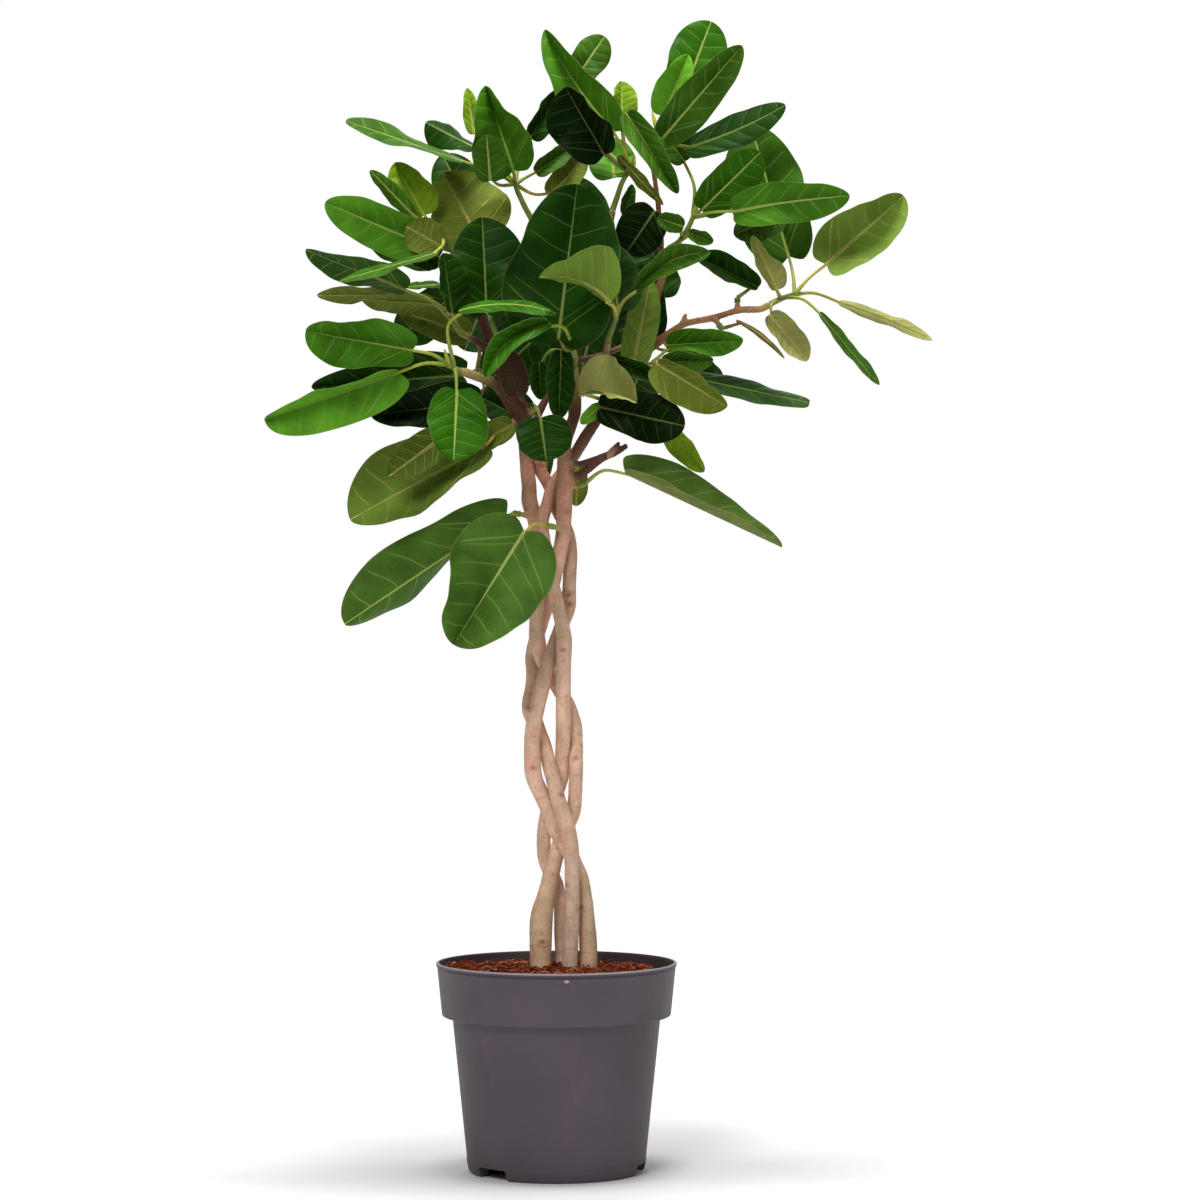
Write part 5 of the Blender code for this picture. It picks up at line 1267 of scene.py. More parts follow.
class SoilLitterTree(GrowthTree):
    """Strews loose fibres, crumbs and chips over the soil, each turned, sized and shaded at random."""

    sizes: tuple[float, float] = (0.45, 1.5)
    size_seed: float = 20.0
    shade_seed: float = 40.0
    chip_shape: Point = (1.0, 0.55, 0.28)

    def __init__(self) -> None:
        """Builds the tree."""
        super().__init__("soil litter", {
            "Fibre Density": ("Float", 50000.0), "Crumb Density": ("Float", 90000.0),
            "Chip Density": ("Float", 12000.0), "Fibre Length": ("Float", 0.009),
            "Fibre Radius": ("Float", 0.00035), "Crumb Size": ("Float", 0.0011),
            "Chip Size": ("Float", 0.0024), "Seed": ("Int", 7),
        })
        parts = (
            self.strewn(self.fibre(), "Fibre Density", 0, 0.55),
            self.strewn(self.crumb(), "Crumb Density", 1, 3.1),
            self.strewn(self.chip(), "Chip Density", 2, 0.9),
        )
        joined = self.w.add("GeometryNodeJoinGeometry")
        for part in parts:
            self.w.feed(joined.inputs[0], part)
        self.end(joined.outputs[0])

    def fibre(self) -> Socket:
        """Makes one bent fibre along X.

        Returns:
            Its geometry.
        """
        w = self.w
        length = self.given["Fibre Length"]
        start = w.add("ShaderNodeCombineXYZ", {0: w.times(length, -0.5)}).outputs[0]
        middle = w.add("ShaderNodeCombineXYZ", {1: w.times(length, 0.3), 2: w.times(length, 0.4)})
        end = w.add("ShaderNodeCombineXYZ", {0: w.times(length, 0.5)}).outputs[0]
        line = w.add("GeometryNodeCurveQuadraticBezier", {
            "Resolution": 4, "Start": start, "Middle": middle.outputs[0], "End": end,
        }).outputs[0]
        ring = {"Resolution": 3, "Radius": self.given["Fibre Radius"]}
        return w.add("GeometryNodeCurveToMesh", {
            "Curve": line, "Profile Curve": w.add("GeometryNodeCurvePrimitiveCircle", ring).outputs[0],
            "Scale": 1.0, "Fill Caps": True,
        }).outputs[0]

    def crumb(self, size: str = "Crumb Size") -> Socket:
        """Makes one crumb, as large as an input says."""
        inputs = {"Radius": self.given[size], "Subdivisions": 1}
        return self.w.add("GeometryNodeMeshIcoSphere", inputs).outputs[0]

    def chip(self) -> Socket:
        """Makes one flat chip."""
        inputs = {0: self.crumb("Chip Size"), "Scale": self.chip_shape}
        return self.w.add("GeometryNodeTransform", inputs).outputs[0]

    def drawn(self, low: float, high: float, seed: Socket) -> Socket:
        """Draws a number at random for each piece, between two others."""
        return self.w.add("FunctionNodeRandomValue", {2: low, 3: high, "Seed": seed}).outputs[1]

    def strewn(self, shape: Socket, density: str, turn: int, tilt: float) -> Socket:
        """Strews a shape over the surface.

        Args:
            shape: the geometry that is repeated.
            density: the name of the input with its number per square metre.
            turn: what is added to the seed.
            tilt: how far each may tilt, in radians.

        Returns:
            The strewn shapes, each with its own shade.
        """
        w = self.w
        seed = w.math("ADD", self.given["Seed"], float(turn))
        points = w.add("GeometryNodeDistributePointsOnFaces", {
            0: self.given["Shape"], "Density": self.given[density], "Seed": seed,
        }).outputs[0]
        spin = w.add("FunctionNodeRandomValue", {
            0: (-tilt, -tilt, 0.0), 1: (tilt, tilt, 2 * math.pi), "Seed": seed,
        }, data_type="FLOAT_VECTOR").outputs[0]
        size = self.drawn(*self.sizes, w.math("ADD", seed, self.size_seed))
        placed = w.add("GeometryNodeInstanceOnPoints", {
            "Points": points, "Instance": shape, "Rotation": spin, "Scale": size,
        }).outputs[0]
        shade = self.drawn(0.0, 1.0, w.math("ADD", seed, self.shade_seed))
        return w.add("GeometryNodeStoreNamedAttribute", {
            0: placed, "Name": "shade", "Value": shade,
        }, data_type="FLOAT", domain="INSTANCE").outputs[0]


def add_object(name: str, data: object) -> Object:
    """Adds an object to the scene.

    Args:
        name: its name.
        data: its mesh, light or camera.

    Returns:
        The object.
    """
    made = bpy.data.objects.new(name, data)
    bpy.context.scene.collection.objects.link(made)
    return made


def settle(shape: BMesh, name: str) -> Mesh:
    """Ends a shape that is built point by point.

    Args:
        shape: the shape, which is freed.
        name: the mesh's name.

    Returns:
        The mesh.
    """
    mesh = bpy.data.meshes.new(name)
    shape.to_mesh(mesh)
    shape.free()
    return mesh


def keep_piece(name: str, mesh: Mesh, slot: str, *nodes: str) -> None:
    """Makes a finished mesh a piece of the visual model, fixed to the frame.

    Args:
        name: the piece's name.
        mesh: its mesh, in metres and in its place.
        slot: the record's material slot, which is not used.
        nodes: the nodes that it stands for.
    """
    made = add_object(name, mesh)
    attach(made, BODY)
    if nodes:
        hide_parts(*nodes)
    log.info("%s: %d faces", name, len(mesh.polygons))


def read_vectors(mesh: Mesh, name: str) -> np.ndarray:
    """Reads a vector of each point of a mesh.

    Args:
        mesh: the mesh.
        name: the vector's name.

    Returns:
        One row for each point.
    """
    values = np.empty(len(mesh.vertices) * 3)
    mesh.vertices.foreach_get(name, values)
    return values.reshape(-1, 3)


def add_attribute(mesh: Mesh, name: str, values: np.ndarray) -> None:
    """Stores a number or a colour for each point of a mesh.

    Args:
        mesh: the mesh.
        name: the attribute's name.
        values: one number, or one linear colour of three numbers, for each point.
    """
    values = np.asarray(values, float)
    if values.ndim == 1:
        mesh.attributes.new(name, "FLOAT", "POINT").data.foreach_set("value", values)
        return
    whole = np.ones((len(values), 4))
    whole[:, :3] = values
    mesh.attributes.new(name, "FLOAT_COLOR", "POINT").data.foreach_set("color", whole.ravel())


@dataclass
class BarSet:
    """Lines to be grown into round bars, each point with its radius and tint."""

    places: list[np.ndarray] = field(default_factory=list)
    radii: list[np.ndarray] = field(default_factory=list)
    tints: list[np.ndarray] = field(default_factory=list)

    def add(self, places: np.ndarray, radii: np.ndarray, tints: np.ndarray) -> None:
        """Adds one line.

        Args:
            places: its points in space, in millimetres.
            radii: the radius at each, in millimetres.
            tints: one colour, or one for each point.
        """
        places = np.asarray(places, float)
        self.places.append(places)
        self.radii.append(np.broadcast_to(np.asarray(radii, float), (len(places),)))
        self.tints.append(np.broadcast_to(np.asarray(tints, float), (len(places), 3)))

    def add_path(self, path: np.ndarray, tints: np.ndarray) -> None:
        """Adds a line of rows with across, depth, up and radius, as sighted."""
        self.add(SIGHT.place(path[:, :3]), path[:, 3], tints)

    def mesh(self, name: str) -> Mesh:
        """Makes a mesh of bare edges with the radius as girth, in metres, and the tint.

        Args:
            name: the mesh's name.

        Returns:
            The mesh.
        """
        edges = []
        first = 0
        for line in self.places:
            edges += [(first + place, first + place + 1) for place in range(len(line) - 1)]
            first += len(line)
        mesh = bpy.data.meshes.new(name)
        mesh.from_pydata((np.vstack(self.places) * MM).tolist(), edges, [])
        add_attribute(mesh, "girth", np.concatenate(self.radii) * MM)
        add_attribute(mesh, "tint", np.vstack(self.tints))
        return mesh


@dataclass
class NurseryPot:
    """The pot: a thin lip, a deep collar, a tapered body and a foot with a raised drainage channel.

    Lengths are in millimetres and angles in degrees.
    """

    finishes: Finishes
    height: float = 182.0
    rim_radius: float = 105.0
    collar_radius: float = 104.0
    collar_foot_radius: float = 100.0
    collar_height: float = 46.0
    body_top_radius: float = 91.0
    body_foot_radius: float = 77.0
    lip_height: float = 2.6
    lip_step: float = 1.4
    edge: float = 0.6
    foot_line: float = 11.0
    foot_line_step: float = 0.35
    base_corner: float = 3.0
    wall: float = 1.6
    channel_inner: float = 50.0
    channel_outer: float = 67.0
    channel_height: float = 10.4
    channel_slope: float = 2.0
    notch_width: float = 34.0
    notch_length: float = 24.0
    notch_height: float = 9.4
    notch_radius: float = 72.0
    notch_corner: float = 2.0
    notch_angles: tuple[float, ...] = (-46.0, 77.0, 196.0)
    drain_holes: int = 6
    drain_radius: float = 4.0
    nib_across: float = 9.75
    nib_up: float = 175.5
    nib_radius: float = 1.5
    nib_wide: float = 1.6
    nib_deep: float = 0.4
    nib_sunk: float = 0.3
    segments: int = 144

    def wall_radius(self, height: float) -> float:
        """Gives the outer radius of the tapered body at a height, in millimetres."""
        share = height / (self.height - self.collar_height)
        return self.body_foot_radius + (self.body_top_radius - self.body_foot_radius) * share

    def profile(self) -> list[tuple[float, float]]:
        """Draws half the pot's section, from the axis below round the outside and back to the axis inside.

        Returns:
            Radius and height of each corner, in millimetres.
        """
        top = self.height
        rim = self.rim_radius
        foot = self.collar_foot_radius
        collar = self.collar_radius
        step = top - self.collar_height
        lip = top - self.lip_height
        wall = self.wall
        floor = self.channel_height + wall
        line = self.foot_line
        bulge = self.foot_line_step
        inner = self.channel_inner
        outer = self.channel_outer
        slope = self.channel_slope
        side = self.wall_radius
        corner = [
            (self.body_foot_radius - self.base_corner * (1 - math.sin(turn)) - 0.2,
             self.base_corner * (1 - math.cos(turn)))
            for turn in np.linspace(0.1, 1.5, 6)
        ]
        outside = [
            (0, 0), (inner - 0.8, 0), (inner, 0.5), (inner + slope, self.channel_height),
            (outer - slope, self.channel_height), (outer, 0.6), (outer + 0.8, 0), *corner, (side(6), 6),
            (side(line - 0.6) + bulge, line - 0.6), (side(line) + bulge, line), (side(line), line + 0.5),
            (side(60), 60), (side(step - 5), step - 5), (side(step - 1.4) + 0.3, step - 1.4),
            (side(step) + 1.6, step - 0.4), (foot - 1.5, step - 0.3), (foot - 0.4, step + 0.3),
            (foot, step + 1.4), (collar, lip - self.lip_step), (rim - 0.25, lip - 0.3), (rim, lip + 0.3),
            (rim, top - self.edge), (rim - 0.25, top - 0.15), (rim - self.edge, top),
        ]
        inside = [
            (collar - wall + 0.4, top), (collar - wall, top - 0.5), (foot - wall, step + 2 * wall),
            (foot - 2 * wall, step + wall), (side(step) - wall, step), (side(floor) - wall, floor),
            (inner - wall, floor), (inner - wall - slope, wall), (0, wall),
        ]
        return outside + inside

    def turned(self) -> Mesh:
        """Turns the section about the pot's axis.

        Returns:
            The closed mesh.
        """
        shape = bmesh.new()
        rings = []
        for radius, height in self.profile():
            if radius < 1e-6:
                rings.append([shape.verts.new((0, 0, height * MM))])
                continue
            angles = [2 * math.pi * (turn + 0.5) / self.segments for turn in range(self.segments)]
            rings.append([
                shape.verts.new((radius * math.cos(angle) * MM, radius * math.sin(angle) * MM, height * MM))
                for angle in angles
            ])
        for low, high in zip(rings, rings[1:]):
            for turn in range(self.segments):
                following = (turn + 1) % self.segments
                if len(low) == 1:
                    shape.faces.new((low[0], high[following], high[turn]))
                elif len(high) == 1:
                    shape.faces.new((low[turn], low[following], high[0]))
                else:
                    shape.faces.new((low[turn], low[following], high[following], high[turn]))
        bmesh.ops.recalc_face_normals(shape, faces=shape.faces)
        return settle(shape, "pot_shell")

    def notch_cutter(self, angle: float) -> Mesh:
        """Makes the shape that cuts one drainage notch through the foot, with rounded upper corners.

        Args:
            angle: the notch's heading from the front, in degrees.

        Returns:
            The cutter's mesh, in its place.
        """
        half = self.notch_width / 2
        corner = self.notch_corner
        rounding = [
            (half - corner * (1 - math.cos(turn)), self.notch_height - corner * (1 - math.sin(turn)))
            for turn in np.linspace(0, math.pi / 2, 5)
        ]
        outline = [(-half - 0.8, -2.0), (half + 0.8, -2.0), *rounding]
        outline += [(-side, up) for side, up in reversed(rounding)]
        heading = math.radians(angle - 90)
        shape = bmesh.new()
        ends = []
        for radius in (self.notch_radius - self.notch_length / 2, self.notch_radius + self.notch_length / 2):
            ends.append([
                shape.verts.new(Vector((
                    radius * math.cos(heading) - side * math.sin(heading),
                    radius * math.sin(heading) + side * math.cos(heading), up,
                )) * MM)
                for side, up in outline
            ])
        inner, outer = ends
        shape.faces.new(inner)
        shape.faces.new(list(reversed(outer)))
        for place in range(len(outline)):
            following = (place + 1) % len(outline)
            shape.faces.new((inner[following], inner[place], outer[place], outer[following]))
        bmesh.ops.recalc_face_normals(shape, faces=shape.faces)
        return settle(shape, "notch")

    def drain_cutter(self, place: int) -> Mesh:
        """Makes the shape that cuts one drain hole in the channel.

        Args:
            place: the hole's number.

        Returns:
            The cutter's mesh, in its place.
        """
        heading = 2 * math.pi * (place + 0.5) / self.drain_holes
        radius = (self.channel_inner + self.channel_outer) / 2
        shape = bmesh.new()
        bmesh.ops.create_cone(
            shape, cap_ends=True, segments=24, radius1=self.drain_radius * MM, radius2=self.drain_radius * MM,
            depth=self.channel_height * MM
        )
        middle = Vector((radius * math.cos(heading), radius * math.sin(heading), self.channel_height)) * MM
        bmesh.ops.translate(shape, vec=middle, verts=shape.verts)
        return settle(shape, "drain")

    def cut_shell(self) -> Mesh:
        """Cuts the notches and the drain holes into the turned shell.

        Returns:
            The finished mesh.
        """
        shell = add_object("pot_carrier", self.turned())
        cutters = [self.notch_cutter(angle) for angle in self.notch_angles]
        cutters += [self.drain_cutter(place) for place in range(self.drain_holes)]
        tools = []
        for mesh in cutters:
            tool = add_object("pot_cutter", mesh)
            difference = shell.modifiers.new("Cut", "BOOLEAN")
            difference.operation = "DIFFERENCE"
            difference.object = tool
            tools.append(tool)
        graph = bpy.context.evaluated_depsgraph_get()
        mesh = bpy.data.meshes.new_from_object(shell.evaluated_get(graph), depsgraph=graph)
        for old in (shell, *tools):
            bpy.data.objects.remove(old)
        return mesh

    def build_nib(self) -> None:
        """Builds the small pale moulding nib on the front of the collar."""
        shape = bmesh.new()
        radius = self.collar_radius - self.nib_sunk
        depth = -math.sqrt(radius**2 - self.nib_across**2)
        bmesh.ops.create_icosphere(shape, subdivisions=3, radius=self.nib_radius * MM)
        for vertex in shape.verts:
            vertex.co.x *= self.nib_wide
            vertex.co.y *= self.nib_deep
            vertex.co += Vector((self.nib_across, depth, self.nib_up)) * MM
        mesh = settle(shape, "pot_nib")
        mesh.shade_smooth()
        mesh.materials.append(self.finishes.pale_plastic)
        keep_piece("pot_nib", mesh, SLOTS["pot"])

    def build(self) -> None:
        """Builds and dresses the pot."""
        mesh = self.cut_shell()
        mesh.shade_smooth()
        mesh.set_sharp_from_angle(angle=math.radians(34))
        mesh.materials.clear()
        mesh.materials.append(self.finishes.plastic)
        keep_piece("pot_shell", mesh, SLOTS["pot"], "pot")
        self.build_nib()


@dataclass
class CocoSoil:
    """The fill of coco soil: a lumpy low mound with loose fibres, crumbs and chips on it, in millimetres."""

    finishes: Finishes
    pot: NurseryPot
    level: float = 172.0
    mound: float = 7.0
    heap: float = 6.0
    heap_place: tuple[float, float] = (-84.0, 12.0)
    heap_reach: float = 26.0
    roughness: float = 1.2
    shoulder: float = 3.0
    gap: float = 0.3
    swell: tuple[float, float] = (0.16, 0.19)
    ridges: tuple[float, float] = (0.31, 0.27)
    ridge_share: float = 0.6
    clump: float = 2.2
    clump_size: float = 9.0
    crumble: float = 0.9
    crumble_size: float = 3.0
    bare_edge: float = 6.0
    steepest: float = 0.3
    rings: int = 64
    sectors: int = 150
    seed: int = 7

    def surface_height(self, x: float, y: float) -> float:
        """Gives the height of the soil.

        Args:
            x: across, in millimetres.
            y: depth, in millimetres.

        Returns:
            The height, in millimetres.
        """
        reach = min(1.0, math.hypot(x, y) / self.pot.rim_radius)
        lumps = math.sin(x * self.swell[0] + 1.3) * math.cos(y * self.swell[1])
        lumps += self.ridge_share * math.sin(x * self.ridges[0] + y * self.ridges[1])
        height = self.level + self.mound * (1 - reach) ** 1.2 + self.roughness * lumps
        away = math.hypot(x - self.heap_place[0], y - self.heap_place[1])
        height += self.heap * math.exp(-((away / self.heap_reach) ** 2))
        height += self.clump * (noise.noise(Vector((x, y, 3.0)) / self.clump_size) - 0.1)
        return height + self.crumble * noise.noise(Vector((x, y, 40.0)) / self.crumble_size)

    def wall_profile(self) -> list[tuple[float, float]]:
        """Draws the buried side of the fill, from the middle of the floor up to the surface.

        Returns:
            Radius and height of each corner, in millimetres.
        """
        pot = self.pot
        step = pot.height - pot.collar_height
        foot = pot.collar_foot_radius
        inset = pot.wall + self.gap
        floor = pot.channel_height + inset
        edge = self.level - self.shoulder
        slope = (pot.collar_radius - foot) / pot.collar_height
        return [
            (pot.wall_radius(floor) - inset, floor), (pot.wall_radius(step) - inset, step + self.gap),
            (foot - 2 * pot.wall - self.gap, step + pot.wall + self.gap),
            (foot - inset, step + 2 * pot.wall + 2 * self.gap), (foot + slope * (edge - step) - inset, edge),
        ]

    def ring(self, shape: BMesh, radius: float, height: float | None) -> list[BMVert]:
        """Adds a ring of points, on the surface where no height is given.

        Args:
            shape: the mesh that is built.
            radius: the ring's radius, in millimetres.
            height: its height, in millimetres, or None.

        Returns:
            The points.
        """
        points = []
        for place in range(self.sectors):
            angle = 2 * math.pi * place / self.sectors
            x, y = radius * math.cos(angle), radius * math.sin(angle)
            up = self.surface_height(x, y) if height is None else height
            points.append(shape.verts.new(Vector((x, y, up)) * MM))
        return points

    def build(self, litter: SoilLitterTree) -> None:
        """Builds the fill and strews its loose pieces.

        Args:
            litter: the tree that strews them.
        """
        shape = bmesh.new()
        profile = self.wall_profile()
        rings = [self.ring(shape, radius, height) for radius, height in profile]
        edge = profile[-1][0]
        for place in range(self.rings):
            rings.append(self.ring(shape, edge * (1 - (place + 0.4) / self.rings), None))
        foot = shape.verts.new(Vector((0, 0, profile[0][1])) * MM)
        crown = shape.verts.new(Vector((0, 0, self.surface_height(0, 0))) * MM)
        for place in range(self.sectors):
            following = (place + 1) % self.sectors
            shape.faces.new((foot, rings[0][following], rings[0][place]))
            for low, high in zip(rings, rings[1:]):
                shape.faces.new((low[place], low[following], high[following], high[place]))
            shape.faces.new((crown, rings[-1][place], rings[-1][following]))
        bmesh.ops.recalc_face_normals(shape, faces=shape.faces)
        mesh = bpy.data.meshes.new("soil_fill")
        shape.to_mesh(mesh)
        buried = [
            face for face in shape.faces
            if face.normal.z < self.steepest
            or face.calc_center_median().xy.length > (edge - self.bare_edge) * MM
            or face.calc_center_median().z < (self.level - self.shoulder) * MM
        ]
        bmesh.ops.delete(shape, geom=buried, context="FACES")
        surface = settle(shape, "soil_top")
        mesh.shade_smooth()
        mesh.materials.append(self.finishes.soil)
        keep_piece("soil_fill", mesh, SLOTS["soil"], "soil")
        strewn = litter.grow("soil_litter", surface, {"Seed": self.seed, "Finish": self.finishes.fibre})
        keep_piece("soil_litter", strewn, SLOTS["soil"])


@dataclass(frozen=True)
class Scar:
    """A leaf scar or knot: where it is sighted, and its half width and half height, in millimetres."""

    across: float
    up: float
    wide: float = 3.0
    high: float = 2.2


SCARS = (
    Scar(10, 503, 3.2, 2.6), Scar(11, 494, 2.6, 2.2), Scar(-24, 404, 3.4, 2.8), Scar(-13, 615, 4.4, 4.0),
    Scar(-12, 200, 4.0, 3.0), Scar(5, 329, 3.0, 2.4), Scar(8, 251, 3.0, 2.2), Scar(21, 230, 2.8, 2.2),
    Scar(-19, 540, 2.8, 2.0), Scar(6, 455, 2.6, 2.0), Scar(-20, 352, 2.8, 2.0), Scar(17, 360, 2.6, 2.0),
    Scar(-16, 498, 2.6, 2.0), Scar(8, 640, 2.8, 2.4), Scar(9, 575, 2.6, 2.0),
)


@dataclass
class BraidedStems:
    """The four braided stems, each fused with its branches and stubs, in millimetres.

    A tint is eased in from the first height or distance of its span, over the second.
    """

    finishes: Finishes
    round_bars: RoundBarTree
    trace_step: float = 4.0
    level_step: float = 15.0
    socket_foot: float = 148.0
    braid_top: float = 612.0
    limb_foot: float = 618.0
    branch_step: float = 23.0
    clearance: float = 0.8
    tilt_room: float = 1.08
    press_rounds: int = 80
    smooth_rounds: int = 60
    own_share: float = 0.7
    next_share: float = 0.15
    fine_step: float = 3.0
    sides: int = 20
    voxel: float = 1.05
    knob: float = 1.6
    knob_scale: float = 55.0
    ring_every: float = 19.0
    ring_spread: tuple[float, float] = (0.55, 1.5)
    ring_spare: float = 1.6
    ring_height: float = 0.13
    ring_width: float = 0.9
    groove_depth: float = 0.08
    groove_at: float = 1.9
    scar_rim: float = 0.55
    scar_pit: float = 0.5
    rim_width: float = 0.35
    rim_shade: float = 0.4
    pit_width: float = 0.8
    collar_share: float = 0.18
    collar_reach: float = 9.0
    stem_from: tuple[float, float] = (190.0, 120.0)
    upper_from: tuple[float, float] = (480.0, 120.0)
    crown_shade_from: tuple[float, float] = (600.0, 60.0)
    outer_from: tuple[float, float] = (70.0, 40.0)
    dead_from: tuple[float, float] = (5.0, 8.0)
    tip_reach: float = 45.0
    foot_tints: tuple[Colour, ...] = (
        rgb(212, 180, 142), rgb(222, 192, 168), rgb(226, 198, 178), rgb(212, 182, 148),
    )
    stem_tint: Colour = rgb(226, 186, 162)
    upper_tint: Colour = rgb(182, 132, 108)
    # Dark brown painted shade of the limbs inside the crown, and the lit limbs out beyond its side.
    crown_shade_tint: Colour = rgb(82, 48, 34)
    outer_tint: Colour = rgb(178, 122, 86)
    tip_tint: Colour = rgb(162, 142, 78)
    dead_tint: Colour = rgb(84, 54, 42)

    def traces(self) -> dict[str, np.ndarray]:
        """Draws the stems at common heights up the braid, pressed apart until none cuts another.

        They are pressed along the sight line. Each stands upright in its hole and ends in its limb.

        Returns:
            Rows of across, depth, up and radius for each stem.
        """
        levels = np.arange(self.socket_foot, self.braid_top, self.level_step)
        traces = {}
        for name, points in TRUNKS.items():
            path = smooth_path(points, self.trace_step)
            traces[name] = np.array([
                [np.interp(level, path[:, 2], path[:, column]) for column in range(4)] for level in levels
            ])
        pairs = list(combinations(traces.values(), 2))
        for round_number in range(self.press_rounds):
            for a, b in pairs:
                wanted = self.tilt_room * (a[:, 3] + b[:, 3]) + self.clearance
                across = np.abs(a[:, 0] - b[:, 0])
                needed = np.sqrt(np.maximum(0, wanted**2 - across**2))
                apart = a[:, 1] - b[:, 1]
                push = np.maximum(0, needed - np.abs(apart)) / 2 * np.where(apart > 0, 1, -1)
                a[:, 1] += push
                b[:, 1] -= push
            if round_number < self.smooth_rounds:
                for trace in traces.values():
                    beside = trace[:-2, 1] + trace[2:, 1]
                    trace[1:-1, 1] = self.own_share * trace[1:-1, 1] + self.next_share * beside
        for a, b in pairs:
            room = (np.hypot(a[:, 0] - b[:, 0], a[:, 1] - b[:, 1]) - self.clearance) / self.tilt_room
            squeeze = np.minimum(1.0, room / (a[:, 3] + b[:, 3]))
            a[:, 3] *= squeeze
            b[:, 3] *= squeeze
        for name, points in TRUNKS.items():
            traces[name][0, :2] = traces[name][1, :2]
            limb = [point for point in points if point[2] > self.limb_foot]
            path = smooth_path([tuple(traces[name][-1])] + limb, self.branch_step)
            traces[name] = np.vstack([traces[name], path[1:]])
        return traces

    def ends(self, traces: dict[str, np.ndarray]) -> dict[Point, np.ndarray]:
        """Finds the direction in which each limb and branch ends.

        Args:
            traces: the stems.

        Returns:
            The direction by the end point.
        """
        ends = {}
        for name, points in TRUNKS.items():
            ends[points[-1][:3]] = unit(traces[name][-1][:3] - traces[name][-2][:3])
            for branch in BRANCHES[name]:
                path = smooth_path(branch, self.branch_step)
                ends[branch[-1][:3]] = unit(path[-1][:3] - path[-2][:3])
        return ends

    def tints(self, path: np.ndarray, foot: Colour, limb: bool) -> np.ndarray:
        """Colours a stem or branch along its length, paler below, browner above and dark brown in painted
        shade inside the crown.

        Args:
            path: rows of across, depth, up and radius.
            foot: its colour just above the soil.
            limb: whether it ends in a leafy shoot, and turns green towards its end.

        Returns:
            One colour for each row.
        """
        up = path[:, 2:3]
        tint = eased(foot, self.stem_tint, since(up, self.stem_from))
        tint = eased(tint, self.upper_tint, since(up, self.upper_from))
        # Painted shade: the limbs darken inside the crown, less so out beyond its side, where they are lit.
        high = eased(self.crown_shade_tint, self.outer_tint, since(path[:, :1], self.outer_from))
        tint = eased(tint, high, since(up, self.crown_shade_from))
        if limb:
            left = np.linalg.norm(path[:, :3] - path[-1, :3], axis=1)[:, None]
            tint = eased(self.tip_tint, tint, left / min(self.tip_reach, 0.5 * float(left[0, 0])))
        return tint

    def bars(self, name: str, trace: np.ndarray) -> BarSet:
        """Draws the lines of one stem and its branches.

        Args:
            name: the stem.
            trace: its stations.

        Returns:
            The lines.
        """
        starts = {shoot.twig[0] for shoot in SHOOTS}
        foot = self.foot_tints[list(TRUNKS).index(name)]
        bars = BarSet()
        path = smooth_path(trace, self.fine_step)
        bars.add_path(path, self.tints(path, foot, True))
        for branch in BRANCHES[name]:
            path = smooth_path(smooth_path(branch, self.branch_step), self.fine_step)
            leafy = branch[-1][:3] in starts
            away = np.linalg.norm(path[:, :3] - path[0, :3], axis=1)
            path[:, 3] *= 1 + self.collar_share * np.exp(-((away / self.collar_reach) ** 2))
            tint = self.tints(path, foot, leafy)
            if not leafy and len(branch) > 2 and name == "trunk_2":
                tint = eased(tint, self.dead_tint, since(away[:, None], self.dead_from))
            bars.add_path(path, tint)
        return bars

    def ring_places(self, length: float, seed: int) -> np.ndarray:
        """Chooses where faint rings lie along a bar."""
        count = max(1, int(length / self.ring_every * self.ring_spare))
        steps = np.random.default_rng(seed).uniform(*self.ring_spread, count)
        return np.cumsum(steps * self.ring_every)

    def mark(self, mesh: Mesh, bars: BarSet, seed: int) -> None:
        """Presses rings and scars into a fused stem and stores its tint, rings and scars.

        Args:
            mesh: the fused mesh.
            bars: the lines that it grew on.
            seed: the seed of the rings' spacing.
        """
        tree = KDTree(sum(len(line) for line in bars.places))
        rings = []
        for number, line in enumerate(bars.places):
            runs = np.concatenate([[0], np.cumsum(np.linalg.norm(np.diff(line, axis=0), axis=1))])
            places = self.ring_places(runs[-1], seed + 31 * number)
            for run, place in zip(runs, line):
                tree.insert(place, len(rings))
                nearest = places[np.argmin(np.abs(places - run))]
                rings.append((run, nearest))
        tree.balance()
        tints = np.vstack(bars.tints)
        lines = np.vstack(bars.places)
        heading = np.vstack([np.gradient(line, axis=0) for line in bars.places])
        heading /= np.linalg.norm(heading, axis=1)[:, None]
        runs = np.array(rings)
        count = len(mesh.vertices)
        points = read_vectors(mesh, "co") / MM
        normals = read_vectors(mesh, "normal")
        owner = np.array([tree.find(point)[1] for point in points])
        offset = np.einsum("ij,ij->i", points - lines[owner], heading[owner])
        away = runs[owner, 0] + offset - runs[owner, 1]
        ring = np.exp(-((away / self.ring_width) ** 2))
        lift = self.ring_height * ring - self.groove_depth * np.exp(-((away - self.groove_at) ** 2))
        scar = np.zeros(count)
        for knot in SCARS:
            front = SIGHT.place(np.array([knot.across, 0.0, knot.up]))
            beside = np.hypot((points[:, 0] - front[0]) / knot.wide, (points[:, 2] - front[2]) / knot.high)
            facing = np.clip(-normals[:, 1] * 2, 0, 1)
            rim = np.exp(-(((beside - 1) / self.rim_width) ** 2)) * facing
            pit = np.exp(-((beside / self.pit_width) ** 2)) * facing
            lift += self.scar_rim * rim - self.scar_pit * pit
            scar = np.maximum(scar, np.maximum(self.rim_shade * rim, pit))
        points += normals * lift[:, None]
        mesh.vertices.foreach_set("co", (points * MM).ravel())
        mesh.update()
        add_attribute(mesh, "tint", tints[owner])
        add_attribute(mesh, "ring", ring)
        add_attribute(mesh, "scar", scar)

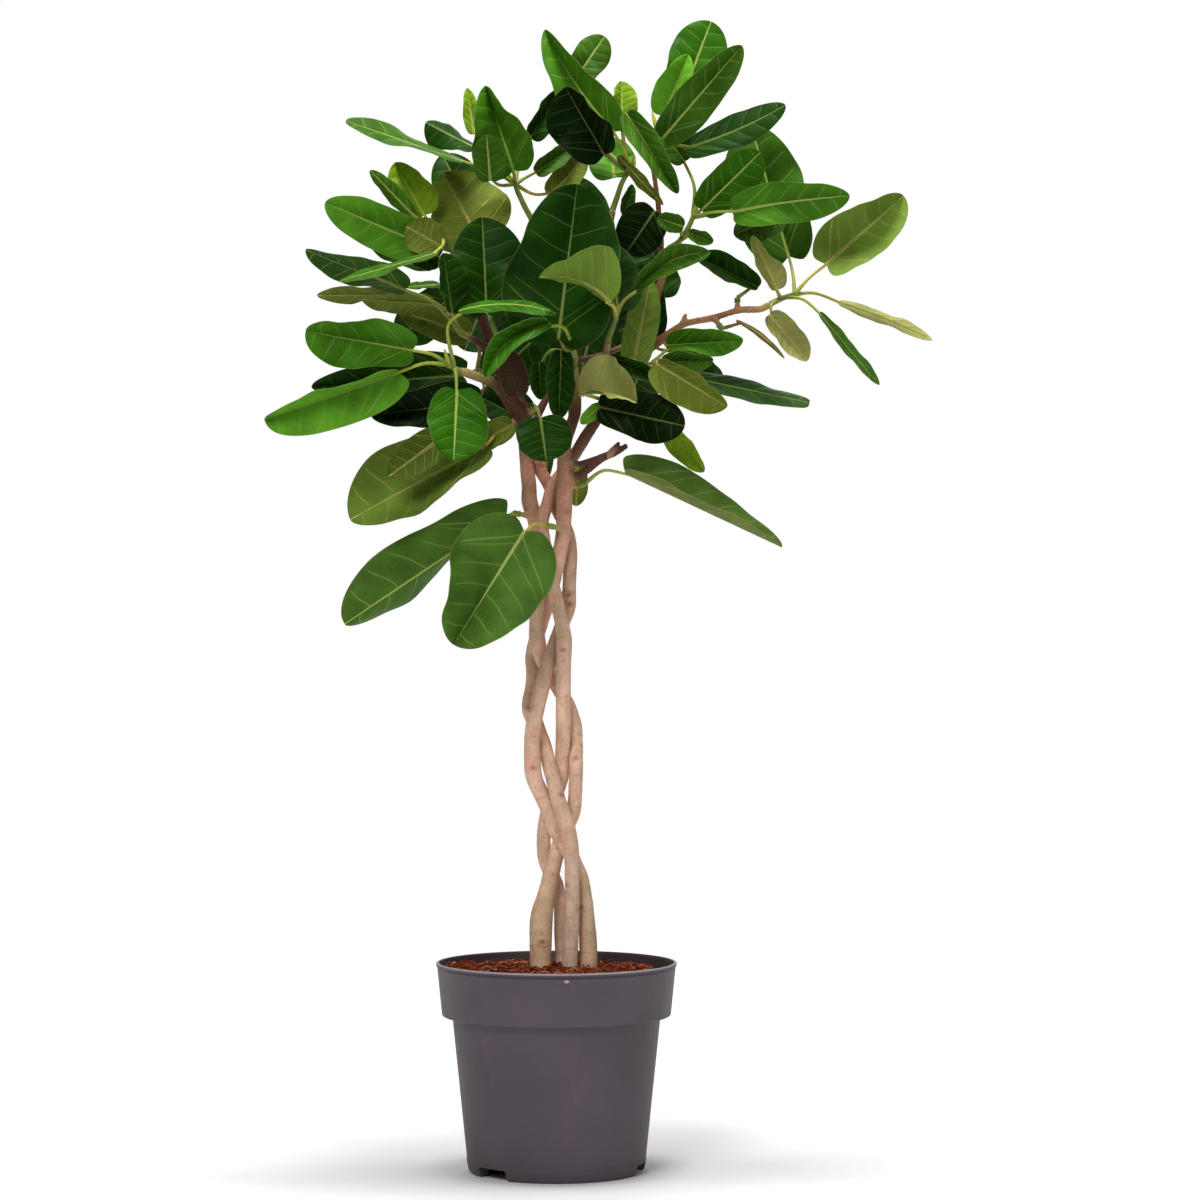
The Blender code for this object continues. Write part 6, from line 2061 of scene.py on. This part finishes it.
    def build(self) -> dict[Point, np.ndarray]:
        """Builds and dresses the stems.

        Returns:
            The direction in which each limb and branch ends, by its end point.
        """
        traces = self.traces()
        for number, (name, trace) in enumerate(traces.items()):
            bars = self.bars(name, trace)
            values = {
                "Sides": self.sides, "Knobbliness": self.knob * MM, "Knob Scale": self.knob_scale,
                "Finish": self.finishes.bark,
            }
            mesh = self.round_bars.grow(f"bark_{number + 1}", bars.mesh(name), values, self.voxel * MM)
            for old in list(mesh.attributes):
                if old.name in ("tint", "girth"):
                    mesh.attributes.remove(old)
            self.mark(mesh, bars, 100 * number)
            mesh.shade_smooth()
            keep_piece(f"bark_{number + 1}", mesh, SLOTS[name], name)
        return self.ends(traces)


@dataclass(frozen=True)
class BladeRule:
    """Rules that give every blade its outline and relief.

    Sags and lobes are shares of the length, other heights of the half width. Thicknesses are in millimetres.
    """

    widest_at: float = 0.42
    base_fullness: float = 2.6
    shoulder: float = 2.2
    sharpest: float = 0.58
    waves: float = 1.7
    wave_share: float = 0.07
    cup_share: float = 0.2
    lobe_share: float = 0.07
    lobe_width: float = 12.0
    rows: int = 40
    columns: int = 22
    thickness: float = 0.7
    rim_thickness: float = 0.3
    pillow: float = 0.3
    ripple: float = 0.022
    ripples: float = 4.3
    crease: float = 0.05
    long_leaf: float = 110.0
    right_turn: float = 1.9
    right_ripple: float = 2.6
    turning: tuple[float, float] = (0.1, 0.2)
    turned_at: float = 0.2
    crowding: float = 1.15
    fullness: float = 1.07
    sag: float = 0.02

    def outline(self, t: np.ndarray, blunt: float) -> np.ndarray:
        """Gives the half width along the length, from 0 at the ends to 1 at the widest.

        Args:
            t: the share of the length.
            blunt: how blunt the tip is, lower for blunter.

        Returns:
            The share of the half width.
        """
        before = np.clip((self.widest_at - t) / self.widest_at, 0, None)
        low = np.clip(1 - before**self.base_fullness, 0, None) ** (1 / self.base_fullness)
        past = np.clip(t - self.widest_at, 0, None) / (1 - self.widest_at)
        high = np.clip(1 - past**self.shoulder, 0, None) ** blunt
        return np.where(t < self.widest_at, low, high)


RULE = BladeRule()


class Blade:
    """One leaf blade, laid out from its table row and moved to its own depth."""

    def __init__(self, leaf: Leaf, tone: Tone, wear: float) -> None:
        """Takes the blade's row.

        Args:
            leaf: the table row, already at its depth.
            tone: its colours.
            wear: how scorched it is, 0 to 1.
        """
        self.leaf = leaf
        self.tone = tone
        self.wear = wear
        self.run = np.array(leaf.tip, float) - np.array(leaf.base, float)
        self.length = float(np.hypot(self.run[0], self.run[2]))
        seen = [max(abs(leaf.left[0]), abs(leaf.left[1])), max(abs(leaf.right[0]), abs(leaf.right[1]))]
        self.half_width = max(leaf.width / 2, *seen) if leaf.width else RULE.fullness * max(seen)
        self.phase = sum(ord(letter) * (place + 1) for place, letter in enumerate(leaf.name)) % 63 / 10

    def seen_half(self, halves: tuple[float, float], t: np.ndarray, blunt: float) -> np.ndarray:
        """Gives the seen half width along the length.

        Args:
            halves: the seen half widths at a quarter and at three quarters.
            t: the shares of the length.
            blunt: how blunt the tip is, lower for blunter.

        Returns:
            The seen half widths, in millimetres.
        """
        quarter = halves[0] / RULE.outline(np.array(0.25), blunt)
        three = halves[1] / RULE.outline(np.array(0.75), blunt)
        return eased(quarter, three, (t - 0.25) / 0.5) * RULE.outline(t, blunt)

    def surface(self, t: np.ndarray, u: np.ndarray, detailed: bool) -> np.ndarray:
        """Lays out the middle surface of the blade.

        Args:
            t: shares of the length, base to tip.
            u: shares of the half width, left rim (-1) to right rim (1).
            detailed: whether the crease is rounded and the fine relief is added.

        Returns:
            The places in space, in millimetres.
        """
        leaf = self.leaf
        along = np.array([self.run[0], 0.0, self.run[2]]) / self.length
        left = np.array([-along[2], 0.0, along[0]])
        bulge = 4 * t * (1 - t)
        middle = np.array(leaf.base, float) + self.run * t[..., None] + left * (leaf.bow * bulge)[..., None]
        blunt = min(leaf.blunt, RULE.sharpest) if detailed else leaf.blunt
        real = self.half_width * RULE.outline(t, blunt)
        side = np.where(u > 0, -1, 1)
        across = np.where(u < 0, self.seen_half(leaf.left, t, blunt), self.seen_half(leaf.right, t, blunt))
        near = np.where(u < 0, leaf.lean.value[0], leaf.lean.value[1])
        rise = np.sqrt(np.maximum(0, real**2 - across**2)) * near
        reach = np.abs(u)
        rim = left * (side * across)[..., None]
        rim[..., 1] += rise
        out = np.cross(unit(self.run), rim) * side[..., None]
        size = np.linalg.norm(out, axis=-1)[..., None]
        out = np.where(size > 1e-6, out / np.maximum(size, 1e-6), np.array([0.0, -1.0, 0.0]))
        wrong = out[..., 1] * leaf.face.value < 0
        slant = np.abs(across) / np.maximum(real, 1e-6)
        turned = (slant > RULE.turned_at).astype(float)
        if detailed:
            turned = eased(0.0, 1.0, since(slant, RULE.turning))
        out = out * np.where(wrong, 1 - 2 * turned, 1.0)[..., None]
        turn = 2 * math.pi * RULE.waves * t + self.phase + np.where(u > 0, RULE.right_turn, 0.0)
        wave = np.sin(turn) * np.sin(math.pi * t)
        lift = real * (RULE.wave_share * wave * reach**2 + RULE.cup_share * reach * (1 - reach))
        lobe = RULE.lobe_share * self.length * (1 - t) ** 4 * reach**1.5
        lobe = lobe * np.minimum(1.0, np.abs(across) / RULE.lobe_width)
        spread = reach.copy()
        if detailed:
            turn = 2 * math.pi * RULE.ripples * t + 2 * self.phase + np.where(u > 0, RULE.right_ripple, 0.0)
            lift = lift + RULE.ripple * real * np.sin(turn) * reach**3 * np.sin(math.pi * t) ** 0.5
            between = 0.5 - 0.5 * np.cos(2 * math.pi * VEINS.phase(t, u))
            pillow = RULE.pillow * min(1.0, self.length / RULE.long_leaf) ** 2
            lift = lift + pillow * between * np.sin(math.pi * reach) * np.sin(math.pi * t)
            soft = RULE.crease
            spread = (np.sqrt(reach**2 + soft**2) - soft) / (math.sqrt(1 + soft**2) - soft)
            middle[..., 1] += leaf.face.value * RULE.sag * self.length * bulge
        rim_place = rim * reach[..., None]
        rim_place[..., 1] = rise * spread
        return SIGHT.place(middle + rim_place + out * lift[..., None] - along * lobe[..., None])

    def mesh_data(self) -> dict[str, np.ndarray]:
        """Builds the closed shell of the blade.

        Returns:
            Points in metres, faces, each face's material number, the two maps by point, tints and wear.
        """
        stations = (1 - np.cos(math.pi * np.arange(1, RULE.rows) / RULE.rows)) / 2
        even = np.linspace(-1, 1, RULE.columns + 1)
        shares = np.sign(even) * np.abs(even) ** RULE.crowding
        t, u = np.meshgrid(stations, shares, indexing="ij")
        grid = self.surface(t, u, True)
        ends = self.surface(np.array([0.0, 1.0]), np.array([0.0, 0.0]), True)
        normals = square_to(np.gradient(grid, axis=1), np.gradient(grid, axis=0))
        half = (RULE.rim_thickness + (RULE.thickness - RULE.rim_thickness) * (1 - np.abs(u) ** 6)) / 2
        shift = (normals * half[..., None]).reshape(-1, 3)
        tips = np.array([normals[0].mean(axis=0), normals[-1].mean(axis=0)]) * RULE.rim_thickness / 2
        flat = np.vstack([grid.reshape(-1, 3), ends])
        shift = np.vstack([shift, tips])
        share_map = np.vstack([np.stack([(u + 1) / 2, t], -1).reshape(-1, 2), [[0.5, 0.0], [0.5, 1.0]]])
        real = self.half_width * RULE.outline(t, min(self.leaf.blunt, RULE.sharpest))
        size_map = np.stack([u * real, t * self.length], -1).reshape(-1, 2)
        size_map = np.vstack([size_map, [[0, 0], [0, self.length]]])
        rows, columns = t.shape
        count = len(flat)
        number = np.arange(rows * columns).reshape(rows, columns)
        a, b = number[:-1, :-1].ravel(), number[:-1, 1:].ravel()
        c, d = number[1:, 1:].ravel(), number[1:, :-1].ravel()
        front = [tuple(face) for face in np.stack([a, b, c, d], -1).tolist()]
        base, tip = count - 2, count - 1
        front += [(base, int(number[0, k + 1]), int(number[0, k])) for k in range(columns - 1)]
        front += [(int(number[-1, k]), int(number[-1, k + 1]), tip) for k in range(columns - 1)]
        back = [tuple(point + count for point in reversed(face)) for face in front]
        left = [base] + number[:, 0].tolist() + [tip]
        right = [base] + number[:, -1].tolist() + [tip]
        rims = [(p, q, q + count, p + count) for p, q in zip(left, left[1:])]
        rims += [(p, p + count, q + count, q) for p, q in zip(right, right[1:])]
        front_slot = 0 if self.leaf.face is Face.TOP else 1
        slots = [front_slot] * len(front) + [1 - front_slot] * len(back) + [0] * len(rims)
        colours = [self.tone.value[front_slot], self.tone.value[1 - front_slot]]
        return {
            "points": np.vstack([flat + shift, flat - shift]) * MM, "faces": front + back + rims,
            "slots": np.array(slots), "share_map": np.vstack([share_map, share_map]),
            "size_map": np.vstack([size_map, size_map]) * MM,
            "tints": np.repeat(np.array(colours), count, axis=0), "wear": np.full(2 * count, self.wear),
        }

    def add_veins(self, bars: BarSet) -> None:
        """Draws the raised midrib and side veins, half sunk in the underside.

        Args:
            bars: the lines that they are added to.
        """
        under = -1 if self.leaf.face is Face.TOP else 1
        colour = np.array(self.tone.value[1])
        if self.tone not in (Tone.DRY, Tone.HUSK):
            colour = VEINS.paleness * np.array(VEINS.colour) + (1 - VEINS.paleness) * colour
        t = np.linspace(0.0, VEINS.midrib_end, VEINS.midrib_points)
        girth = np.linspace(*VEINS.midrib_girth, VEINS.midrib_points)
        self.add_ridge(bars, t, np.zeros_like(t), under, girth, colour)
        thick = min(1.0, VEINS.least_share + self.half_width / VEINS.whole_width)
        pair_girth = np.linspace(*VEINS.pair_girth, VEINS.side_points) * thick
        side_girth = np.linspace(*VEINS.side_girth, VEINS.side_points) * thick
        for side in (-1, 1):
            u = side * np.linspace(*VEINS.side_span, VEINS.side_points)
            pair = VEINS.pair(u)
            self.add_ridge(bars, pair, u, under, pair_girth, colour)
            for number in range(VEINS.side_count):
                along = VEINS.line(number, u)
                keep = (along > pair + VEINS.side_gap) & (along < VEINS.side_end)
                if keep.sum() >= VEINS.fewest_points:
                    self.add_ridge(bars, along[keep], u[keep], under, side_girth[keep], colour)

    def add_ridge(
        self, bars: BarSet, t: np.ndarray, u: np.ndarray, under: int, girth: np.ndarray, colour: np.ndarray
    ) -> None:
        """Adds one raised line on the underside.

        Args:
            bars: the lines that it is added to.
            t: shares of the length.
            u: shares of the half width.
            under: 1 where the normals face out of the underside, else -1.
            girth: the radius at each point, in millimetres.
            colour: its colour.
        """
        step = 0.01
        here = self.surface(t, u, True)
        ahead = self.surface(np.clip(t + step, 0, 1), u, True)
        along = ahead - self.surface(np.clip(t - step, 0, 1), u, True)
        across = self.surface(t, u + step, True) - self.surface(t, u - step, True)
        bars.add(here + square_to(across, along) * under * VEINS.raised, girth, colour)


@dataclass
class Foliage:
    """All the leafy shoots: blades laid up in layers, with stalks, twigs, buds and veins, in millimetres.

    The ends are the directions in which limbs and branches end, by their end points.
    """

    finishes: Finishes
    round_bars: RoundBarTree
    ends: dict[Point, np.ndarray]
    clearance: float = 3.5
    cell: float = 4.0
    first_station: float = 0.04
    stations: int = 33
    columns: int = 25
    stalk_radius: float = 1.5
    short_stalk: float = 24.0
    stalk_run: float = 0.3
    stalk_rise: float = 0.06
    stalk_bend: Point = (0.65, 0.8, 0.65)
    stalk_ends: tuple[float, float] = (1.35, 0.85)
    stalk_middle: float = 0.95
    stalk_step: float = 3.0
    twig_radius: float = 2.9
    twig_taper: float = 0.2
    twig_least: float = 1.9
    twig_lead: float = 2.5
    fine_step: float = 2.5
    sunk: float = 4.0
    gap: float = 0.3
    stalk_sides: int = 10
    knob: float = 0.5
    knob_scale: float = 160.0
    vein_sides: int = 4
    bud_shape: tuple[tuple[float, float], ...] = (
        (-0.15, 1.9), (0.1, 2.3), (0.35, 2.2), (0.7, 1.3), (0.95, 0.45),
    )
    bud_tint: Colour = rgb(168, 172, 62)
    twig_tint: Colour = rgb(122, 138, 66)
    tones: dict[str, Tone] = field(default_factory=dict)
    depths: dict[str, float] = field(default_factory=dict)

    def __post_init__(self) -> None:
        """Reads the tones by leaf and lays the leaves up in depth."""
        for tone, names in TONES.items():
            for name in names.split():
                self.tones[name] = tone
        self.lay_up()

    @staticmethod
    def mean_depth(leaf: Leaf) -> float:
        """Gives the depth of the middle of a leaf."""
        return (leaf.base[1] + leaf.tip[1]) / 2

    def leaf_cells(self, leaf: Leaf) -> dict[tuple[int, int], tuple[float, float]]:
        """Finds the least and greatest depth of a leaf in each cell of a grid across the sight line.

        Args:
            leaf: the leaf.

        Returns:
            The two depths by cell.
        """
        stations = np.linspace(self.first_station, 1.0, self.stations)
        t, u = np.meshgrid(stations, np.linspace(-1, 1, self.columns), indexing="ij")
        cells = {}
        for x, y, z in Blade(leaf, Tone.MATURE, 0.0).surface(t, u, False).reshape(-1, 3):
            cell = (round(x / self.cell), round(z / self.cell))
            low, high = cells.get(cell, (y, y))
            cells[cell] = (min(low, y), max(high, y))
        return cells

    def lay_up(self) -> None:
        """Moves each leaf along the sight line until it lies just clear of those nearer the wood.

        The crown is laid up outwards from the wood, first behind it and then in front of it, leaf upon leaf.
        """
        leaves = [leaf for shoot in SHOOTS for leaf in shoot.leaves]
        leaves.sort(key=lambda leaf: (self.mean_depth(leaf) <= 0, abs(self.mean_depth(leaf))))
        backs = {}
        fronts = {}
        for leaf in leaves:
            cells = self.leaf_cells(leaf)
            moves = [0.0]
            if self.mean_depth(leaf) > 0:
                moves += [backs[cell] + self.clearance - cells[cell][0] for cell in cells if cell in backs]
                move = max(moves)
            else:
                moves += [fronts[cell] - self.clearance - cells[cell][1] for cell in cells if cell in fronts]
                move = min(moves)
            self.depths[leaf.name] = move
            for cell, (low, high) in cells.items():
                backs[cell] = max(backs.get(cell, high + move), high + move)
                fronts[cell] = min(fronts.get(cell, low + move), low + move)

    def moved(self, leaf: Leaf) -> Leaf:
        """Moves a leaf to its own depth."""
        move = np.array([0.0, self.depths[leaf.name], 0.0])
        return replace(leaf, base=tuple(np.array(leaf.base) + move), tip=tuple(np.array(leaf.tip) + move))

    def stalk(self, shoot: Shoot, leaf: Leaf) -> np.ndarray:
        """Draws a leaf stalk: out of the twig, then bending into the line of the midrib.

        Args:
            shoot: the shoot that it grows on.
            leaf: its leaf, at its depth.

        Returns:
            Rows of across, depth, up and radius.
        """
        share = 1.0 if leaf.at is None else leaf.at
        twig = smooth_path(shoot.twig, 5.0)
        root = twig[round(share * (len(twig) - 1))]
        base = np.array(leaf.base, float)
        run = unit(np.array(leaf.tip, float) - base)
        thick = self.stalk_radius
        low = (*root, self.stalk_ends[0] * thick)
        high = (*(base + run * self.sunk), self.stalk_ends[1] * thick)
        if np.linalg.norm(base - root) < self.short_stalk:
            middle = (root + base + run * self.sunk) / 2
            return smooth_path([low, (*middle, thick), high], self.fine_step)
        seen = np.hypot(base[0] - root[0], base[2] - root[2])
        before = base - run * self.stalk_run * seen
        bend = root + (before - root) * self.stalk_bend + np.array([0.0, 0.0, self.stalk_rise * seen])
        return smooth_path([low, (*bend, self.stalk_middle * thick), high], self.stalk_step)

    def twig(self, shoot: Shoot) -> np.ndarray:
        """Draws the twig, which carries on from the end of its branch with a hairline between them.

        Args:
            shoot: the shoot.

        Returns:
            Rows of across, depth, up and radius.
        """
        start = np.array(shoot.twig[0], float)
        ahead = self.ends[shoot.twig[0]]
        stations = [start + ahead * self.gap, start + ahead * self.twig_lead, *shoot.twig[1:]]
        return smooth_path([
            (*place, max(self.twig_least, self.twig_radius - self.twig_taper * row))
            for row, place in enumerate(stations)
        ], self.fine_step)

    def bud(self, shoot: Shoot) -> np.ndarray:
        """Draws the pointed bud at the shoot's end.

        Args:
            shoot: the shoot.

        Returns:
            Rows of across, depth, up and radius.
        """
        end = np.array(shoot.twig[-1], float)
        tip = np.array(shoot.bud, float)
        return smooth_path([(*(end + share * (tip - end)), radius) for share, radius in self.bud_shape], 2.0)

    def stalk_bars(self, shoot: Shoot, blades: list[Blade]) -> BarSet:
        """Draws the twig, stalks and bud of a shoot.

        Args:
            shoot: the shoot.
            blades: its blades.

        Returns:
            The lines.
        """
        bars = BarSet()
        bars.add_path(self.twig(shoot), self.twig_tint)
        for blade in blades:
            path = self.stalk(shoot, blade.leaf)
            share = np.linspace(0, 1, len(path))[:, None]
            bars.add_path(path, eased(self.twig_tint, blade.tone.value[2], share * 3))
        if shoot.bud:
            bars.add_path(self.bud(shoot), self.bud_tint)
        return bars

    def blades_mesh(self, name: str, blades: list[Blade]) -> Mesh:
        """Joins the blades of a shoot in one mesh with its maps, tints and wear.

        Args:
            name: the mesh's name.
            blades: the blades.

        Returns:
            The mesh.
        """
        parts = [blade.mesh_data() for blade in blades]
        faces = []
        first = 0
        for part in parts:
            faces += [tuple(point + first for point in face) for face in part["faces"]]
            first += len(part["points"])
        mesh = bpy.data.meshes.new(name)
        mesh.from_pydata(np.vstack([part["points"] for part in parts]).tolist(), [], faces)
        corners = np.empty(len(mesh.loops), int)
        mesh.loops.foreach_get("vertex_index", corners)
        for label, key in (("Blade", "share_map"), ("Flat", "size_map")):
            layer = mesh.uv_layers.new(name=label)
            layer.data.foreach_set("uv", np.vstack([part[key] for part in parts])[corners].ravel())
        add_attribute(mesh, "tint", np.vstack([part["tints"] for part in parts]))
        add_attribute(mesh, "wear", np.concatenate([part["wear"] for part in parts]))
        mesh.materials.append(self.finishes.leaf_top)
        mesh.materials.append(self.finishes.leaf_underside)
        mesh.polygons.foreach_set("material_index", np.concatenate([part["slots"] for part in parts]))
        mesh.shade_smooth()
        mesh.set_sharp_from_angle(angle=math.radians(70))
        return mesh

    def build(self) -> None:
        """Builds and dresses every shoot."""
        for shoot in SHOOTS:
            slot = SLOTS[shoot.name]
            blades = [
                Blade(self.moved(leaf), self.tones.get(leaf.name, Tone.MATURE), WEAR.get(leaf.name, 0.0))
                for leaf in shoot.leaves
            ]
            mesh = self.blades_mesh(shoot.name, blades)
            keep_piece(f"{shoot.name}_blades", mesh, slot, shoot.name)
            stalks = self.stalk_bars(shoot, blades)
            values = {
                "Sides": self.stalk_sides, "Knobbliness": self.knob * MM, "Knob Scale": self.knob_scale,
                "Finish": self.finishes.stalk,
            }
            mesh = self.round_bars.grow(f"{shoot.name}_stalks", stalks.mesh(shoot.name), values)
            keep_piece(f"{shoot.name}_stalks", mesh, slot)
            veins = BarSet()
            for blade in blades:
                blade.add_veins(veins)
            values = {"Sides": self.vein_sides, "Knobbliness": 0.0, "Finish": self.finishes.stalk}
            mesh = self.round_bars.grow(f"{shoot.name}_veins", veins.mesh(shoot.name), values)
            keep_piece(f"{shoot.name}_veins", mesh, slot)


@dataclass(frozen=True)
class Lamp:
    """A large soft light: where it hangs and its width, in metres, and its power, in watts."""

    name: str
    place: Point
    size: float
    power: float


LAMPS = (
    Lamp("key", (-1.0, -2.7, 2.3), 1.4, 48.0), Lamp("fill", (2.2, -2.2, 1.3), 2.0, 13.0),
    Lamp("top", (0.05, -0.1, 3.2), 0.9, 92.0), Lamp("back", (0.0, 2.6, 1.5), 2.4, 30.0),
)


@dataclass
class Studio:
    """The plain pale floor, the soft lights and the camera at the photo's angle.

    The lens and the sensor are in millimetres, places and the floor in metres.
    """

    finishes: Finishes
    lens: float = 109.6
    sensor: float = 36.0
    aim: Point = (0.0, 0.0, 0.55)
    floor_half: float = 2.0
    soft_light: float = 0.2
    seen_light: float = 1.0

    def build_floor(self) -> None:
        """Builds the floor."""
        half = self.floor_half
        mesh = bpy.data.meshes.new("floor")
        corners = [(-half, -half, 0), (half, -half, 0), (half, half, 0), (-half, half, 0)]
        mesh.from_pydata(corners, [], [(0, 1, 2, 3)])
        mesh.materials.append(self.finishes.floor)
        floor = add_object("floor", mesh)

    def add_light(self, lamp: Lamp) -> None:
        """Adds one large soft light.

        Args:
            lamp: its row.
        """
        light = bpy.data.lights.new(lamp.name, "AREA")
        light.shape = "DISK"
        light.size = lamp.size
        light.energy = lamp.power
        holder = add_object(lamp.name, light)
        holder.location = lamp.place
        holder.rotation_euler = (Vector(self.aim) - Vector(lamp.place)).to_track_quat("-Z", "Y").to_euler()
        holder.visible_camera = False

    def build_surroundings(self) -> None:
        """Builds the weak light from all round, which looks as pale as the floor where it is seen itself."""
        world = bpy.data.worlds.new("studio")
        world.use_nodes = True
        light = world.node_tree.nodes["Background"]
        light.inputs["Color"].default_value = (1.0, 1.0, 1.0, 1.0)
        w = Wiring(world.node_tree)
        seen = w.add("ShaderNodeLightPath").outputs["Is Camera Ray"]
        strength = w.times_plus(seen, self.seen_light - self.soft_light, self.soft_light)
        w.feed(light.inputs["Strength"], strength)
        bpy.context.scene.world = world

    def build(self) -> None:
        """Builds the floor, the lights, the surrounding light and the camera."""
        self.build_floor()
        for lamp in LAMPS:
            self.add_light(lamp)
        self.build_surroundings()
        bpy.context.scene.view_settings.view_transform = "Standard"
        bpy.context.scene.view_settings.look = "None"
        camera = bpy.data.cameras.new("camera")
        camera.lens = self.lens
        camera.sensor_fit = "HORIZONTAL"
        camera.sensor_width = self.sensor
        camera.clip_end = 50.0
        holder = add_object("camera", camera)
        holder.location = Vector((SIGHT.across, -SIGHT.distance, SIGHT.height)) * MM
        holder.rotation_euler = (math.pi / 2, 0.0, 0.0)
        bpy.context.scene.camera = holder
        log.info("studio: floor, four lights and the camera")


def main() -> None:
    """Builds the pot, the soil, the stems, the foliage and the studio, in that order."""
    logging.basicConfig(level=logging.INFO, format="%(message)s")
    finishes = Finishes.make()
    round_bars = RoundBarTree()
    pot = NurseryPot(finishes)
    pot.build()
    CocoSoil(finishes, pot).build(SoilLitterTree())
    ends = BraidedStems(finishes, round_bars).build()
    Foliage(finishes, round_bars, ends).build()
    Studio(finishes).build()


if __name__ == "__main__":
    main()
